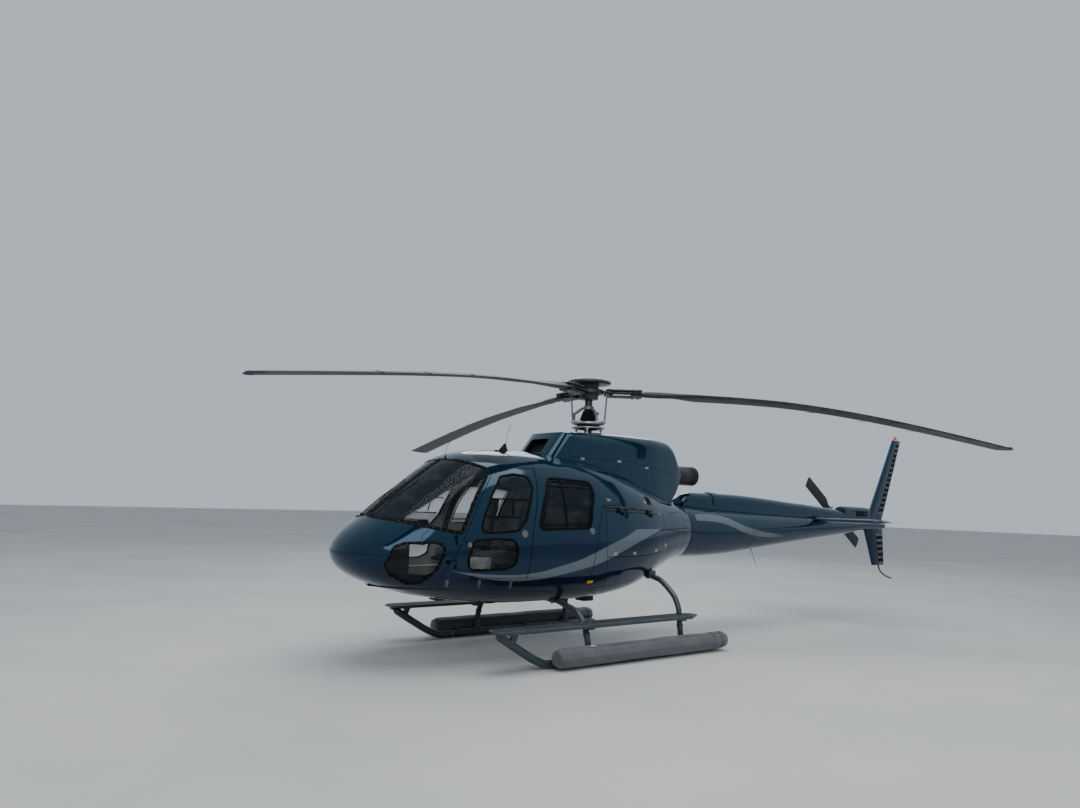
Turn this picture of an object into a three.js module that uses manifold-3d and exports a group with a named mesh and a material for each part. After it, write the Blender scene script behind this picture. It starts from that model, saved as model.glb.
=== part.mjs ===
// Light utility helicopter on arched skids, with sliding rear doors and stowed floats.
// Millimetres. X runs forward from the rotor mast, Y to port and Z up from the ground.
// At the end the whole aircraft is lowered, so that the origin is the sling hook plate.

import * as THREE from 'three';
import { mergeVertices } from 'three/addons/utils/BufferGeometryUtils.js';
import Module from 'manifold-3d';

const wasm = await Module();
wasm.setup();

// Clearances
const SEAT = 0.3; // between pieces that rest on each other
const PANE_GAP = 0.8; // around a pane in its opening
const DOOR_GAP = 6; // around a door that swings
const RUN = 6; // between turning and still pieces

// Fuselage form. Columns: x, low, high, height of the widest point, half width,
// roundness below it, roundness above it (2 is an ellipse, more is squarer).
const FUSELAGE = [
  [-1550, 1000, 1720, 1370, 360, 2.0, 2.0],
  [-1200, 922, 1812, 1350, 490, 2.1, 2.1],
  [-850, 795, 1905, 1320, 610, 2.2, 2.2],
  [-500, 672, 2005, 1270, 735, 2.3, 2.3],
  [-200, 612, 2100, 1220, 815, 2.4, 2.4],
  [200, 575, 2195, 1180, 885, 2.5, 2.5],
  [600, 563, 2240, 1150, 920, 2.6, 2.5],
  [1200, 562, 2262, 1140, 925, 2.6, 2.5],
  [1700, 583, 2240, 1130, 905, 2.6, 2.5],
  [2000, 612, 2192, 1130, 880, 2.5, 2.5],
  [2250, 648, 2052, 1130, 838, 2.4, 2.4],
  [2500, 692, 1870, 1125, 770, 2.3, 2.3],
  [2750, 750, 1690, 1120, 680, 2.2, 2.2],
  [3000, 835, 1495, 1120, 545, 2.1, 2.1],
  [3160, 915, 1375, 1130, 405, 2.0, 2.0],
  [3260, 1005, 1265, 1135, 235, 2.0, 2.0],
  [3300, 1095, 1180, 1138, 70, 2.0, 2.0],
];
const EXTRA_STATIONS = [2125, 2375, 2880];
const STATIONS = [...FUSELAGE.map((row) => row[0]), ...EXTRA_STATIONS].sort((a, b) => a - b);
const RING_STEPS = 24;
const INNER_STATIONS = [-1550, -850, -200, 600, 1700, 2000, 2250, 2500, 2750, 3000, 3160, 3260];
const SKIN = 34; // cabin wall and door thickness
const CABIN_REAR = 500;
const SILL = 900; // bottom of the doors
const HULL_FRONT = 2500; // where the lower hull meets the nose
const FLOOR_TOP = 800;
const FLOOR_THICK = 20;

// Tail boom form. Columns: x, low, high, half width.
const BOOM = [
  [-1552, 1003, 1716, 357],
  [-1900, 1000, 1690, 338],
  [-2440, 1018, 1662, 310],
  [-3240, 1090, 1632, 262],
  [-4480, 1204, 1592, 196],
  [-5770, 1319, 1550, 126],
  [-6300, 1370, 1530, 98],
  [-6900, 1385, 1505, 72],
];
const BOOM_SKIN = 14;
const COVER_SKIN = 12;
const BOOM_STEPS = 14;

// Drive shaft cover. Columns: x, top, half width.
const SPINE = [
  [-1640, 1790, 120],
  [-1720, 1850, 124],
  [-1900, 1876, 122],
  [-2440, 1878, 120],
  [-4480, 1773, 112],
  [-5750, 1700, 104],
  [-6200, 1752, 100],
  [-6380, 1756, 92],
];

// Cowling form. Columns: x, top, half width, corner radius.
const COWL = [
  [-1540, 1985, 205, 60],
  [-1489, 2075, 235, 80],
  [-1402, 2228, 265, 100],
  [-1320, 2372, 288, 110],
  [-1235, 2472, 306, 120],
  [-1140, 2512, 325, 130],
  [-790, 2537, 385, 150],
  [-190, 2539, 425, 150],
  [400, 2530, 430, 150],
  [716, 2512, 428, 140],
  [1100, 2490, 425, 140],
];
const COWL_SKIN = 22;
const COWL_BASE = 1650;
const COWL_SPLITS = [620, -400]; // the two joints between its three lengths
// Half of the rounded front of the cowling in plan, at its top edge: x, y
const COWL_NOSE = [[752, 0], [748, 130], [728, 230], [690, 330], [640, 410], [560, 470], [-1700, 470]];
const COWL_LEAN = { z: 2450, rate: 0.79 }; // how far the front moves forward for each step down
const INTAKE = { half: 118, low: 2288, high: 2428 };

// Side outlines: x, z
const WINDSHIELD = [[3035, 1492], [2860, 1460], [2600, 1403], [2335, 1353], [2240, 1550], [2120, 1757],
  [1915, 2012], [2100, 2096], [2150, 2130], [2700, 2130], [3150, 1700]];
const CHIN_WINDOW = [[3016, 1032], [2955, 1210], [2858, 1251], [2600, 1262], [2515, 1240], [2494, 1173],
  [2563, 993], [2660, 848], [2757, 842], [2946, 938]];
const DOOR_FRONT_EDGE = [[2500, 900], [2488, 985], [2385, 1165], [2290, 1350], [2135, 1656], [2025, 1825],
  [1900, 1975]];
const DOOR_SPLIT = [[1345, 2046], [1512, 1400], [1560, 900]]; // between front and rear doors
const FRONT_DOOR = [...DOOR_FRONT_EDGE, [1825, 2020], [1700, 2038], ...DOOR_SPLIT];
const FRONT_WINDOW = [[1820, 1940], [1650, 1972], [1475, 1955], [1458, 1840], [1536, 1650], [1598, 1490],
  [1700, 1384], [1925, 1363], [2142, 1362], [2084, 1538], [1976, 1741]];
const LOWER_WINDOW = [[2270, 1085], [2205, 1283], [1983, 1300], [1750, 1290], [1692, 1180], [1730, 1037],
  [1850, 992], [2235, 985]];
const REAR_DOOR_AFT = [[660, 2046], [480, 2028], [364, 1980], [245, 1868], [190, 1780], [184, 1676],
  [508, 1668], [583, 1449], [640, 1187], [690, 900]];
const REAR_DOOR = [...DOOR_SPLIT.toReversed(), ...REAR_DOOR_AFT];
const REAR_WINDOW = [[1215, 1945], [1070, 1948], [600, 1925], [605, 1790], [674, 1613], [722, 1416],
  [1384, 1396], [1432, 1440], [1362, 1654]];
const BAGGAGE_DOOR = [[470, 1090], [470, 1612], [-690, 1572], [-690, 1125], [-300, 1090]];
const BAGGAGE_TOP = [[470, 1612], [-690, 1572]];
const DOOR_RAIL = [[470, 1651], [20, 1642], [-440, 1616]];
const ROOF_WINDOW = { x: 1740, y: 370, long: 235, wide: 175 };

// Cabin fittings
const SEAT_FRONT = { x: 1500, y: 400, width: 480, cushionTop: 1150, backTop: 1720 };
const BENCH = { x: 760, width: 1420, cushionTop: 1150, backTop: 1700 };
const PANEL = { x: 2480, y: -180, width: 760, top: 1470 };

// Power plant blocks
const ENGINE = { front: -360, rear: -1190, half: 200, top: 2380 };
const GEARBOX = { front: 260, rear: -280, half: 210, top: 2490 };
const EXHAUST = { z: 2100, radius: 132, wall: 10, front: -1191, rear: -1945 };

// Tail surfaces. Columns of a fin section: z, leading edge x, trailing edge x, thickness
const UPPER_FIN = [[1470, -6340, -6850, 92], [2230, -6830, -7225, 66], [2978, -7296, -7584, 46]];
const LOWER_FIN = [[1430, -6290, -6905, 80], [1100, -6425, -6915, 66], [771, -6543, -6927, 46]];
const STABILISER = { lead: -4630, trail: -5070, z: 1535, thick: 46, half: 1265 };
const TAIL_ROTOR = { x: -6280, y: -565, z: 1640, radius: 930, chord: 205, angle: 35, shaftStart: -330 };

// Main rotor
const MAST_RADIUS = 48;
const ROTOR = { azimuths: [22.9, 142.9, 262.9], starTop: 3110, starThick: 50 };
// Blade line. Columns: radius, height of the blade, chord, thickness
const BLADE = [
  [640, 3075, 150, 34],
  [1000, 3048, 170, 34],
  [1420, 3012, 350, 38],
  [2450, 2922, 350, 38],
  [3400, 2805, 350, 36],
  [4400, 2662, 350, 34],
  [5345, 2520, 345, 30],
];
const BLADE_BOW = [0, 95, 0]; // how much higher each blade bows in its middle, as the photograph shows
const CAP = { radius: 282, rim: 3200, top: 3262 };
const SWASHPLATE = { radius: 206, bore: 75, fixedLow: 2600, fixedHigh: 2650, highHigh: 2712 };
const LINK = { turn: -32.3, low: 230, top: 255, radius: 12 }; // pitch links, behind their blades by an angle

// Landing gear
const SKID = { y: 1059, radius: 42, rear: -1120, bend: 1420, tipX: 2030, tipZ: 372 };
// Each cross tube has its line's points between the skid and the middle: y, z
const CROSS_TUBES = {
  front: { x: 860, top: 606, bends: [[1030, 310], [960, 430], [850, 520], [680, 562], [480, 602]] },
  rear: { x: -575, top: 868, bends: [[1044, 337], [1035, 451], [978, 594], [856, 710], [702, 800]] },
};
const CROSS_RADIUS = 33;
const CROSS_STEPS = 22;
const CROSS_SIDES = 8;
const SKID_STEPS = 12;
const STEP = { y: 1090, width: 250, thick: 26, z: 416, front: 2100, rear: -770 };
const FLOAT = { y: 1208, z: 122, radius: 104, front: 1410, rear: -1160 };
const FLOAT_BRACKETS = [-900, 120, 1150]; // where the bags hang on the skids
const HOOK = { size: 160, low: 500, high: 640 };

// Finishes, from the photograph
const FINISHES = {
  paint: [0x0b2a3d, 0.22, 0.45],
  gearPaint: [0x263138, 0.5, 0.3],
  glass: [0x5b6a70, 0.08, 0.0],
  seat: [0x4a4a4c, 0.85, 0.0],
  floor: [0x2f3234, 0.8, 0.0],
  metal: [0x8d9193, 0.4, 0.85],
  darkMetal: [0x2b2b2c, 0.55, 0.6],
  blade: [0x1c1f20, 0.55, 0.05],
  floatCover: [0x575f66, 0.75, 0.0],
};
const FINISH = {};
for (const [name, [color, roughness, metalness]] of Object.entries(FINISHES)) {
  FINISH[name] = new THREE.MeshStandardMaterial({ color, roughness, metalness });
}

// Solids from three.js geometry, and back

function solidOf(geometry) {
  const bare = geometry.clone();
  bare.deleteAttribute('normal');
  bare.deleteAttribute('uv');
  const merged = mergeVertices(bare, 1e-3);
  return new wasm.Manifold(new wasm.Mesh({
    numProp: 3,
    vertProperties: Float32Array.from(merged.attributes.position.array),
    triVerts: Uint32Array.from(merged.index.array),
  }));
}

function geometryOf(solid) {
  const mesh = solid.getMesh();
  const geometry = new THREE.BufferGeometry();
  geometry.setAttribute('position', new THREE.BufferAttribute(mesh.vertProperties, 3));
  geometry.setIndex(new THREE.BufferAttribute(mesh.triVerts, 1));
  geometry.computeVertexNormals();
  return geometry;
}

function largestOf(solid) {
  const pieces = solid.decompose();
  pieces.sort((a, b) => b.volume() - a.volume());
  return pieces[0];
}

function joined(...solids) {
  return solids.reduce((a, b) => a.add(b));
}

// A box between two corners
function block(low, high) {
  const size = high.map((value, i) => value - low[i]);
  const geometry = new THREE.BoxGeometry(...size);
  geometry.translate(...low.map((value, i) => value + size[i] / 2));
  return solidOf(geometry);
}

// A round bar from one point to another
function bar(from, to, radius, sides = 16) {
  const start = new THREE.Vector3(...from);
  const along = new THREE.Vector3(...to).sub(start);
  const geometry = new THREE.CylinderGeometry(radius, radius, along.length(), sides);
  const up = new THREE.Vector3(0, 1, 0);
  geometry.applyQuaternion(new THREE.Quaternion().setFromUnitVectors(up, along.clone().normalize()));
  geometry.translate(...start.addScaledVector(along, 0.5).toArray());
  return solidOf(geometry);
}

// A round tube along a smooth line through points
function bentBar(points, radius, steps, sides = 12) {
  const path = new THREE.CatmullRomCurve3(points.map((p) => new THREE.Vector3(...p)), false, 'centripetal');
  const section = new THREE.Shape();
  for (let i = 0; i < sides; i += 1) {
    const angle = (2 * Math.PI * i) / sides;
    section[i === 0 ? 'moveTo' : 'lineTo'](radius * Math.cos(angle), radius * Math.sin(angle));
  }
  section.closePath();
  return solidOf(new THREE.ExtrudeGeometry(section, { steps, extrudePath: path }));
}

// An outline with its corners rounded
function roundedShape(points, radius) {
  const corners = points.map(([a, b]) => new THREE.Vector2(a, b));
  const shape = new THREE.Shape();
  corners.forEach((corner, i) => {
    const before = corners[(i + corners.length - 1) % corners.length];
    const after = corners[(i + 1) % corners.length];
    const cut = (other) => Math.min(radius, corner.distanceTo(other) * 0.45);
    const into = corner.clone().lerp(before, cut(before) / corner.distanceTo(before));
    const out = corner.clone().lerp(after, cut(after) / corner.distanceTo(after));
    if (i === 0) shape.moveTo(into.x, into.y);
    else shape.lineTo(into.x, into.y);
    if (radius > 0) shape.quadraticCurveTo(corner.x, corner.y, out.x, out.y);
  });
  shape.closePath();
  return shape;
}

// A side outline (x, z) as a prism across the aircraft between two y values
function sidePrism(points, from, to, radius = 0) {
  const depth = to - from;
  const options = { depth, bevelEnabled: false, curveSegments: 2 };
  const geometry = new THREE.ExtrudeGeometry(roundedShape(points, radius), options);
  geometry.rotateX(Math.PI / 2);
  geometry.translate(0, to, 0);
  return solidOf(geometry);
}

// An outline moved inwards by a distance, for pieces that lie in an opening
function insetOutline(points, distance) {
  const area = points.reduce((sum, [x, y], i) => {
    const [nextX, nextY] = points[(i + 1) % points.length];
    return sum + x * nextY - nextX * y;
  }, 0);
  const side = Math.sign(area);
  return points.map((point, i) => {
    const before = points[(i + points.length - 1) % points.length];
    const after = points[(i + 1) % points.length];
    const normal = (a, b) => {
      const length = Math.hypot(b[0] - a[0], b[1] - a[1]);
      return [(-side * (b[1] - a[1])) / length, (side * (b[0] - a[0])) / length];
    };
    const n1 = normal(before, point);
    const n2 = normal(point, after);
    const scale = distance / (1 + n1[0] * n2[0] + n1[1] * n2[1]);
    return [point[0] + (n1[0] + n2[0]) * scale, point[1] + (n1[1] + n2[1]) * scale];
  });
}

// Lofts between rings of equal length, closed at both ends
function loft(rings) {
  const count = rings[0].length;
  const positions = rings.flat(2);
  const index = [];
  for (let r = 0; r + 1 < rings.length; r += 1) {
    for (let i = 0; i < count; i += 1) {
      const a = r * count + i;
      const b = r * count + ((i + 1) % count);
      index.push(a, b, a + count, b, b + count, a + count);
    }
  }
  const middle = (ring) => [0, 1, 2].map((k) => ring.reduce((sum, p) => sum + p[k], 0) / count);
  const first = positions.length / 3;
  positions.push(...middle(rings[0]), ...middle(rings[rings.length - 1]));
  const lastRing = (rings.length - 1) * count;
  for (let i = 0; i < count; i += 1) {
    const next = (i + 1) % count;
    index.push(first, next, i, first + 1, lastRing + i, lastRing + next);
  }
  const geometry = new THREE.BufferGeometry();
  geometry.setAttribute('position', new THREE.Float32BufferAttribute(positions, 3));
  geometry.setIndex(windOutwards(positions, index));
  return solidOf(geometry);
}

// Turns every face round if the loft came out inside out
function windOutwards(positions, index) {
  const at = (i) => new THREE.Vector3().fromArray(positions, 3 * i);
  let volume = 0;
  for (let i = 0; i < index.length; i += 3) {
    volume += at(index[i]).dot(at(index[i + 1]).cross(at(index[i + 2])));
  }
  return volume > 0 ? index : index.reverse();
}

// Smooth value of every column of a table at x, without overshoot
function rowAt(table, x) {
  let i = 0;
  while (i < table.length - 2 && x > table[i + 1][0]) i += 1;
  const width = table[i + 1][0] - table[i][0];
  const t = (x - table[i][0]) / width;
  const slope = (k, column) => {
    if (k === 0 || k === table.length - 1) return null;
    const left = (table[k][column] - table[k - 1][column]) / (table[k][0] - table[k - 1][0]);
    const right = (table[k + 1][column] - table[k][column]) / (table[k + 1][0] - table[k][0]);
    return left * right <= 0 ? 0 : (2 * left * right) / (left + right);
  };
  return table[i].map((value, column) => {
    if (column === 0) return x;
    const end = table[i + 1][column];
    const secant = (end - value) / width;
    const m0 = slope(i, column) ?? secant;
    const m1 = slope(i + 1, column) ?? secant;
    const a = (1 + 2 * t) * (1 - t) ** 2;
    const b = t * (1 - t) ** 2;
    const c = t * t * (3 - 2 * t);
    const d = t * t * (t - 1);
    return a * value + b * width * m0 + c * end + d * width * m1;
  });
}

const bulge = (value, power) => Math.sign(value) * Math.abs(value) ** (2 / power);

// One ring of the fuselage, moved inwards by an inset
function fuselageRing(x, inset) {
  const [, low, high, wide, half, lowPower, highPower] = rowAt(FUSELAGE, x);
  const ring = [];
  for (let i = 0; i < RING_STEPS; i += 1) {
    const angle = (2 * Math.PI * (i + 0.5)) / RING_STEPS;
    const power = Math.sin(angle) < 0 ? lowPower : highPower;
    const reach = Math.sin(angle) < 0 ? wide - low - inset : high - wide - inset;
    const y = Math.max(half - inset, 5) * bulge(Math.cos(angle), power);
    ring.push([x, y, wide + Math.max(reach, 5) * bulge(Math.sin(angle), power)]);
  }
  return ring;
}

function fuselageSolid(inset, from = STATIONS[0], to = STATIONS.at(-1)) {
  const stations = (inset > 20 ? INNER_STATIONS : STATIONS).filter((x) => x > from + 1 && x < to - 1);
  return loft([from, ...stations, to].map((x) => fuselageRing(x, inset)));
}

// The half width of the fuselage at a place on its side
function sideAt(x, z) {
  const [, low, high, wide, half, lowPower, highPower] = rowAt(FUSELAGE, x);
  const power = z < wide ? lowPower : highPower;
  const share = Math.abs(z - wide) / (z < wide ? wide - low : high - wide);
  return half * (1 - share ** power) ** (1 / power);
}

const WIDE = 1100; // more than any half width of the fuselage
const POST_HALF = 20; // half width of the post between the windshield panes
const CHIN_INBOARD = 180;
const NOSE_INSET = STATIONS.at(-1) - SKIN;
const outer = fuselageSolid(0);
const outerGrown = fuselageSolid(-SEAT, STATIONS[0] - 400, STATIONS.at(-1));
const inner = fuselageSolid(SKIN, STATIONS[0] - 100, NOSE_INSET);
const shell = outer.subtract(inner);
const sides = [['left', 1], ['right', -1]];

// A prism through one side only
function halfPrism(points, side, radius = 0, inboard = POST_HALF) {
  return side > 0 ? sidePrism(points, inboard, WIDE, radius) : sidePrism(points, -WIDE, -inboard, radius);
}

// Cabin

const chinCut = halfPrism(CHIN_WINDOW, 1, 60, CHIN_INBOARD).add(halfPrism(CHIN_WINDOW, -1, 60, CHIN_INBOARD));
const windshieldCut = halfPrism(WINDSHIELD, 1, 30).add(halfPrism(WINDSHIELD, -1, 30));
const POST = { width: 80, depth: 78 };

function roofWindowCut(side, shrink = 0) {
  const shape = new THREE.Shape();
  const { x, y, long, wide } = ROOF_WINDOW;
  shape.absellipse(x, side * y, long - shrink, wide - shrink, 0, 2 * Math.PI, false, 0);
  const geometry = new THREE.ExtrudeGeometry(shape, { depth: 700, bevelEnabled: false, curveSegments: 8 });
  geometry.translate(0, 0, 1700);
  return solidOf(geometry);
}

function doorPosts() {
  const half = POST.width / 2;
  const line = [[1322, 2115], ...DOOR_SPLIT];
  const band = [...line.map(([x, z]) => [x - half, z]), ...line.toReversed().map(([x, z]) => [x + half, z])];
  const behindDoors = fuselageSolid(SKIN + 7);
  const doorway = block([1000, -WIDE, SILL - 30], [2000, WIDE, 2046]).subtract(behindDoors);
  return outer.subtract(fuselageSolid(POST.depth)).intersect(sidePrism(band, -WIDE, WIDE)).subtract(doorway);
}

function cabinShell() {
  const length = block([CABIN_REAR + SEAT, -WIDE, 0], [3400, WIDE, 3000]);
  const belly = block([CABIN_REAR - 10, -WIDE, 0], [HULL_FRONT, WIDE, SILL - 0.2]);
  let solid = shell.intersect(length).subtract(belly).subtract(windshieldCut).subtract(chinCut);
  for (const [, side] of sides) {
    solid = solid.subtract(halfPrism(FRONT_DOOR, side)).subtract(halfPrism(REAR_DOOR, side));
    solid = solid.subtract(roofWindowCut(side));
  }
  const hullTop = block([CABIN_REAR, -WIDE, 0], [HULL_FRONT, WIDE, SILL]);
  return largestOf(solid.add(doorPosts().subtract(hullTop)).add(frontHingeLugs(1)).add(frontHingeLugs(-1)));
}

function lowerHull() {
  const zone = block([CABIN_REAR + SEAT, -WIDE, 0], [HULL_FRONT - SEAT, WIDE, SILL - SEAT]);
  const floor = block(
    [CABIN_REAR + SEAT, -WIDE, FLOOR_TOP - FLOOR_THICK],
    [HULL_FRONT - SEAT, WIDE, FLOOR_TOP],
  );
  const tub = shell.add(floor.intersect(outer)).intersect(zone);
  return largestOf(tub.subtract(crossTubeSpace(CROSS_TUBES.front)));
}

// A pane lying in its opening, a little below the surface
const paneSkin = fuselageSolid(4).subtract(fuselageSolid(10));

function pane(cut) {
  return largestOf(paneSkin.intersect(cut));
}

function paneCut(outline, side, radius, inboard = POST_HALF) {
  return halfPrism(insetOutline(outline, PANE_GAP), side, radius, inboard);
}

// Doors

// The front doors hang on two pins on one upright line. The upper pin stands on the post ahead of the
// door, the lower one on the door, and each has a long strap across the gap.
const HINGE = {
  x: 2388, lowZ: 1040, highZ: 1290, proud: 16, radius: 11, length: 56, near: 24, far: 104, foot: 18,
};
const STRAP = { half: 14, below: 4, above: 6, bite: 16 };

function doorEdgeX(z) {
  const i = DOOR_FRONT_EDGE.findLastIndex(([, height]) => height <= z);
  const [a, b] = DOOR_FRONT_EDGE.slice(i, i + 2);
  return a[0] + ((b[0] - a[0]) * (z - a[1])) / (b[1] - a[1]);
}

// How far the upright hinge line stands from the middle plane
const hingeReach = Math.max(...[HINGE.lowZ, HINGE.highZ].map((z) => sideAt(doorEdgeX(z), z))) + HINGE.proud;

// A hinge knuckle between two heights, with a strap above the skin and a foot in it
function knuckle(from, to, side, facing, reach) {
  const z = (from + to) / 2;
  const farX = HINGE.x + facing * reach;
  const footX = farX - facing * HINGE.foot;
  const skinY = Math.min(sideAt(farX, z), sideAt(footX, z));
  const slab = (fromX, toX, low, high) => block(
    [Math.min(fromX, toX), Math.min(side * low, side * high), z - STRAP.half],
    [Math.max(fromX, toX), Math.max(side * low, side * high), z + STRAP.half],
  );
  const high = hingeReach + STRAP.above;
  const strap = slab(HINGE.x + facing * 2, farX, hingeReach - STRAP.below, high);
  const foot = slab(footX, farX, skinY - STRAP.bite, high);
  const y = side * hingeReach;
  return joined(bar([HINGE.x, y, from], [HINGE.x, y, to], HINGE.radius, 8), strap, foot);
}

// Everything inside the arc that the rear edge of a front door swings through
function doorSweep(side) {
  const profile = [[0, SILL - 20]];
  for (const z of [SILL - 20, 1150, 1400, 1600, 1750, 1850, 1930, 1990, 2060]) {
    const i = DOOR_SPLIT.findLastIndex(([, height]) => height >= z);
    const [a, b] = DOOR_SPLIT.slice(Math.max(i, 0), Math.max(i, 0) + 2);
    const edge = (b ? a[0] + ((b[0] - a[0]) * (z - a[1])) / (b[1] - a[1]) : a[0]) + DOOR_GAP;
    profile.push([Math.hypot(HINGE.x - edge, sideAt(edge, z) - hingeReach), z]);
  }
  profile.push([0, 2060]);
  const geometry = new THREE.LatheGeometry(profile.map(([r, z]) => new THREE.Vector2(r, z)), 120);
  geometry.rotateX(Math.PI / 2);
  geometry.translate(HINGE.x, side * hingeReach, 0);
  return solidOf(geometry);
}

function frontDoor(side) {
  const outline = insetOutline(FRONT_DOOR, DOOR_GAP);
  const whole = shell.intersect(halfPrism(outline, side)).intersect(doorSweep(side));
  const windows = halfPrism(FRONT_WINDOW, side, 90).add(halfPrism(LOWER_WINDOW, side, 70));
  const { lowZ, highZ, length, near, far } = HINGE;
  const lower = knuckle(lowZ - length, lowZ - 1, side, -1, near);
  const upper = knuckle(highZ - length, highZ - 1, side, -1, far);
  return largestOf(joined(whole.subtract(windows), lower, upper));
}

function frontHingeLugs(side) {
  const { lowZ, highZ, length, near, far } = HINGE;
  const lower = knuckle(lowZ - 0.5, lowZ + length, side, 1, far);
  return lower.add(knuckle(highZ - 0.5, highZ + length, side, 1, near));
}

function rearDoor(side) {
  const outline = insetOutline(REAR_DOOR, 3);
  const opening = halfPrism(REAR_WINDOW, side, 70);
  const runner = block([760, side > 0 ? 700 : -900, SILL + SEAT], [1300, side > 0 ? 900 : -700, SILL + 8]);
  return largestOf(shell.intersect(halfPrism(outline, side).add(runner)).subtract(opening));
}

// The point of a line at a distance from its start
function along(line, distance) {
  const start = new THREE.Vector3(...line[0]);
  const direction = new THREE.Vector3(...line[1]).sub(start).normalize();
  return start.addScaledVector(direction, distance).toArray();
}

// The hinge line of a baggage door, along its top edge
function baggageHinge(side) {
  const ends = BAGGAGE_TOP;
  const centre = (ends[0][0] + ends[1][0]) / 2;
  const middle = sideAt(centre, (ends[0][1] + ends[1][1]) / 2);
  const slope = (sideAt(...ends[0]) - sideAt(...ends[1])) / (ends[0][0] - ends[1][0]);
  return ends.map(([x, z]) => [x, side * (middle + slope * (x - centre) + BAGGAGE_PROUD), z]);
}

const BAGGAGE_PROUD = 14;
const BAGGAGE_HINGES = [270, 860]; // distances of the two hinges from the line's front end
const BAGGAGE_SLANT = 0.21; // how far the door's edges lean back for each step outwards, to clear its swing

// An outline cut through one side, leaning back outwards from where it meets the skin
function slantedPrism(points, side, slant) {
  const corners = roundedShape(points, 20).extractPoints(2).shape;
  const ring = (y) => corners.map((p) => [p.x - slant * (y - sideAt(p.x, p.y)), side * y, p.y]);
  return loft([ring(POST_HALF), ring(WIDE)]);
}

function baggageKnuckle(line, from, to, side, reachZ) {
  const [x, y, z] = along(line, (from + to) / 2);
  const half = (to - from) * 0.4;
  const low = sideAt(x, z + reachZ) - 16;
  const nearZ = z + Math.sign(reachZ) * 4;
  const strap = block(
    [x - half, Math.min(side * low, y + side * 4), Math.min(nearZ, z + reachZ)],
    [x + half, Math.max(side * low, y + side * 4), Math.max(nearZ, z + reachZ)],
  );
  return bar(along(line, from), along(line, to), HINGE.radius, 8).add(strap);
}

function baggageDoor(side) {
  const outline = insetOutline(BAGGAGE_DOOR, DOOR_GAP);
  const line = baggageHinge(side);
  let door = shell.intersect(slantedPrism(outline, side, BAGGAGE_SLANT));
  for (const at of BAGGAGE_HINGES) {
    door = door.add(baggageKnuckle(line, at + 1, at + HINGE.length, side, -40));
  }
  return largestOf(door);
}

// The rail behind the rear door, on which the door slides back
function doorRail(side) {
  return bentBar(DOOR_RAIL.map(([x, z]) => [x, side * (sideAt(x, z) + 2), z]), 15, 4, 6);
}

// Rear fuselage, closed at the front by the cabin's rear wall

function rearFuselage() {
  const zone = block([-1550, -WIDE, 0], [CABIN_REAR - SEAT, WIDE, 3000]);
  const wall = outer.intersect(block([CABIN_REAR - 24, -WIDE, 0], [CABIN_REAR - SEAT, WIDE, 3000]));
  let solid = shell.intersect(zone).add(wall);
  for (const [, side] of sides) {
    solid = solid.subtract(halfPrism(REAR_DOOR, side));
    solid = solid.subtract(slantedPrism(BAGGAGE_DOOR, side, BAGGAGE_SLANT));
    const line = baggageHinge(side);
    for (const at of BAGGAGE_HINGES) {
      solid = solid.add(baggageKnuckle(line, at - HINGE.length, at + 0.5, side, 34));
    }
    solid = solid.add(doorRail(side));
  }
  return largestOf(solid.subtract(crossTubeSpace(CROSS_TUBES.rear)));
}

// Cabin fittings

function frontSeat(side) {
  const { x, y, width, cushionTop, backTop } = SEAT_FRONT;
  const middle = side * y;
  const profile = [
    [x - 130, FLOOR_TOP + SEAT], [x + 330, FLOOR_TOP + SEAT], [x + 350, cushionTop - 40],
    [x + 320, cushionTop], [x - 60, cushionTop - 30], [x - 190, backTop], [x - 290, backTop],
    [x - 200, cushionTop - 60],
  ];
  const body = sidePrism(profile, middle - width / 2, middle + width / 2, 24);
  const rest = [
    [x - 200, backTop - 20], [x - 195, backTop + 190], [x - 265, backTop + 190], [x - 285, backTop - 20],
  ];
  return body.add(sidePrism(rest, middle - 120, middle + 120, 18));
}

function rearBench() {
  const { x, width, cushionTop, backTop } = BENCH;
  const profile = [
    [CABIN_REAR + 2, FLOOR_TOP + SEAT], [x + 230, FLOOR_TOP + SEAT], [x + 270, cushionTop - 40],
    [x + 240, cushionTop], [x - 100, cushionTop - 30], [x - 150, backTop], [CABIN_REAR + 2, backTop],
  ];
  return sidePrism(profile, -width / 2, width / 2, 24);
}

function instrumentPanel() {
  const { x, y, width, top } = PANEL;
  const pedestal = block([x - 60, y - 110, FLOOR_TOP + SEAT], [x + 90, y + 110, top - 200]);
  const profile = [
    [x - 90, top - 270], [x + 120, top - 250], [x + 260, top - 60], [x + 100, top], [x - 120, top],
  ];
  const hood = sidePrism(profile, y - width / 2, y + width / 2, 20);
  return pedestal.add(hood).intersect(fuselageSolid(SKIN + 4));
}

// Power plant and its cowling

function cowlRing(x, inset) {
  const [, top, half, radius] = rowAt(COWL, x);
  const ring = [];
  const edge = half - inset;
  const bend = Math.max(radius - inset, 20);
  for (const side of [-1, 1]) {
    const arc = [];
    for (let i = 0; i <= 3; i += 1) {
      const angle = (Math.PI / 2) * (i / 3);
      const y = edge - bend + bend * Math.cos(angle);
      arc.push([x, side * y, top - inset - bend + bend * Math.sin(angle)]);
    }
    const foot = [x, side * edge, COWL_BASE - inset];
    ring.push(...(side < 0 ? [foot, ...arc] : [...arc.reverse(), foot]));
  }
  return ring;
}

function cowlSolid(inset, from, to) {
  const stations = COWL.map((row) => row[0]).filter((x) => x > from + 1 && x < to - 1);
  return loft([from, ...stations, to].map((x) => cowlRing(x, inset)));
}

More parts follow.
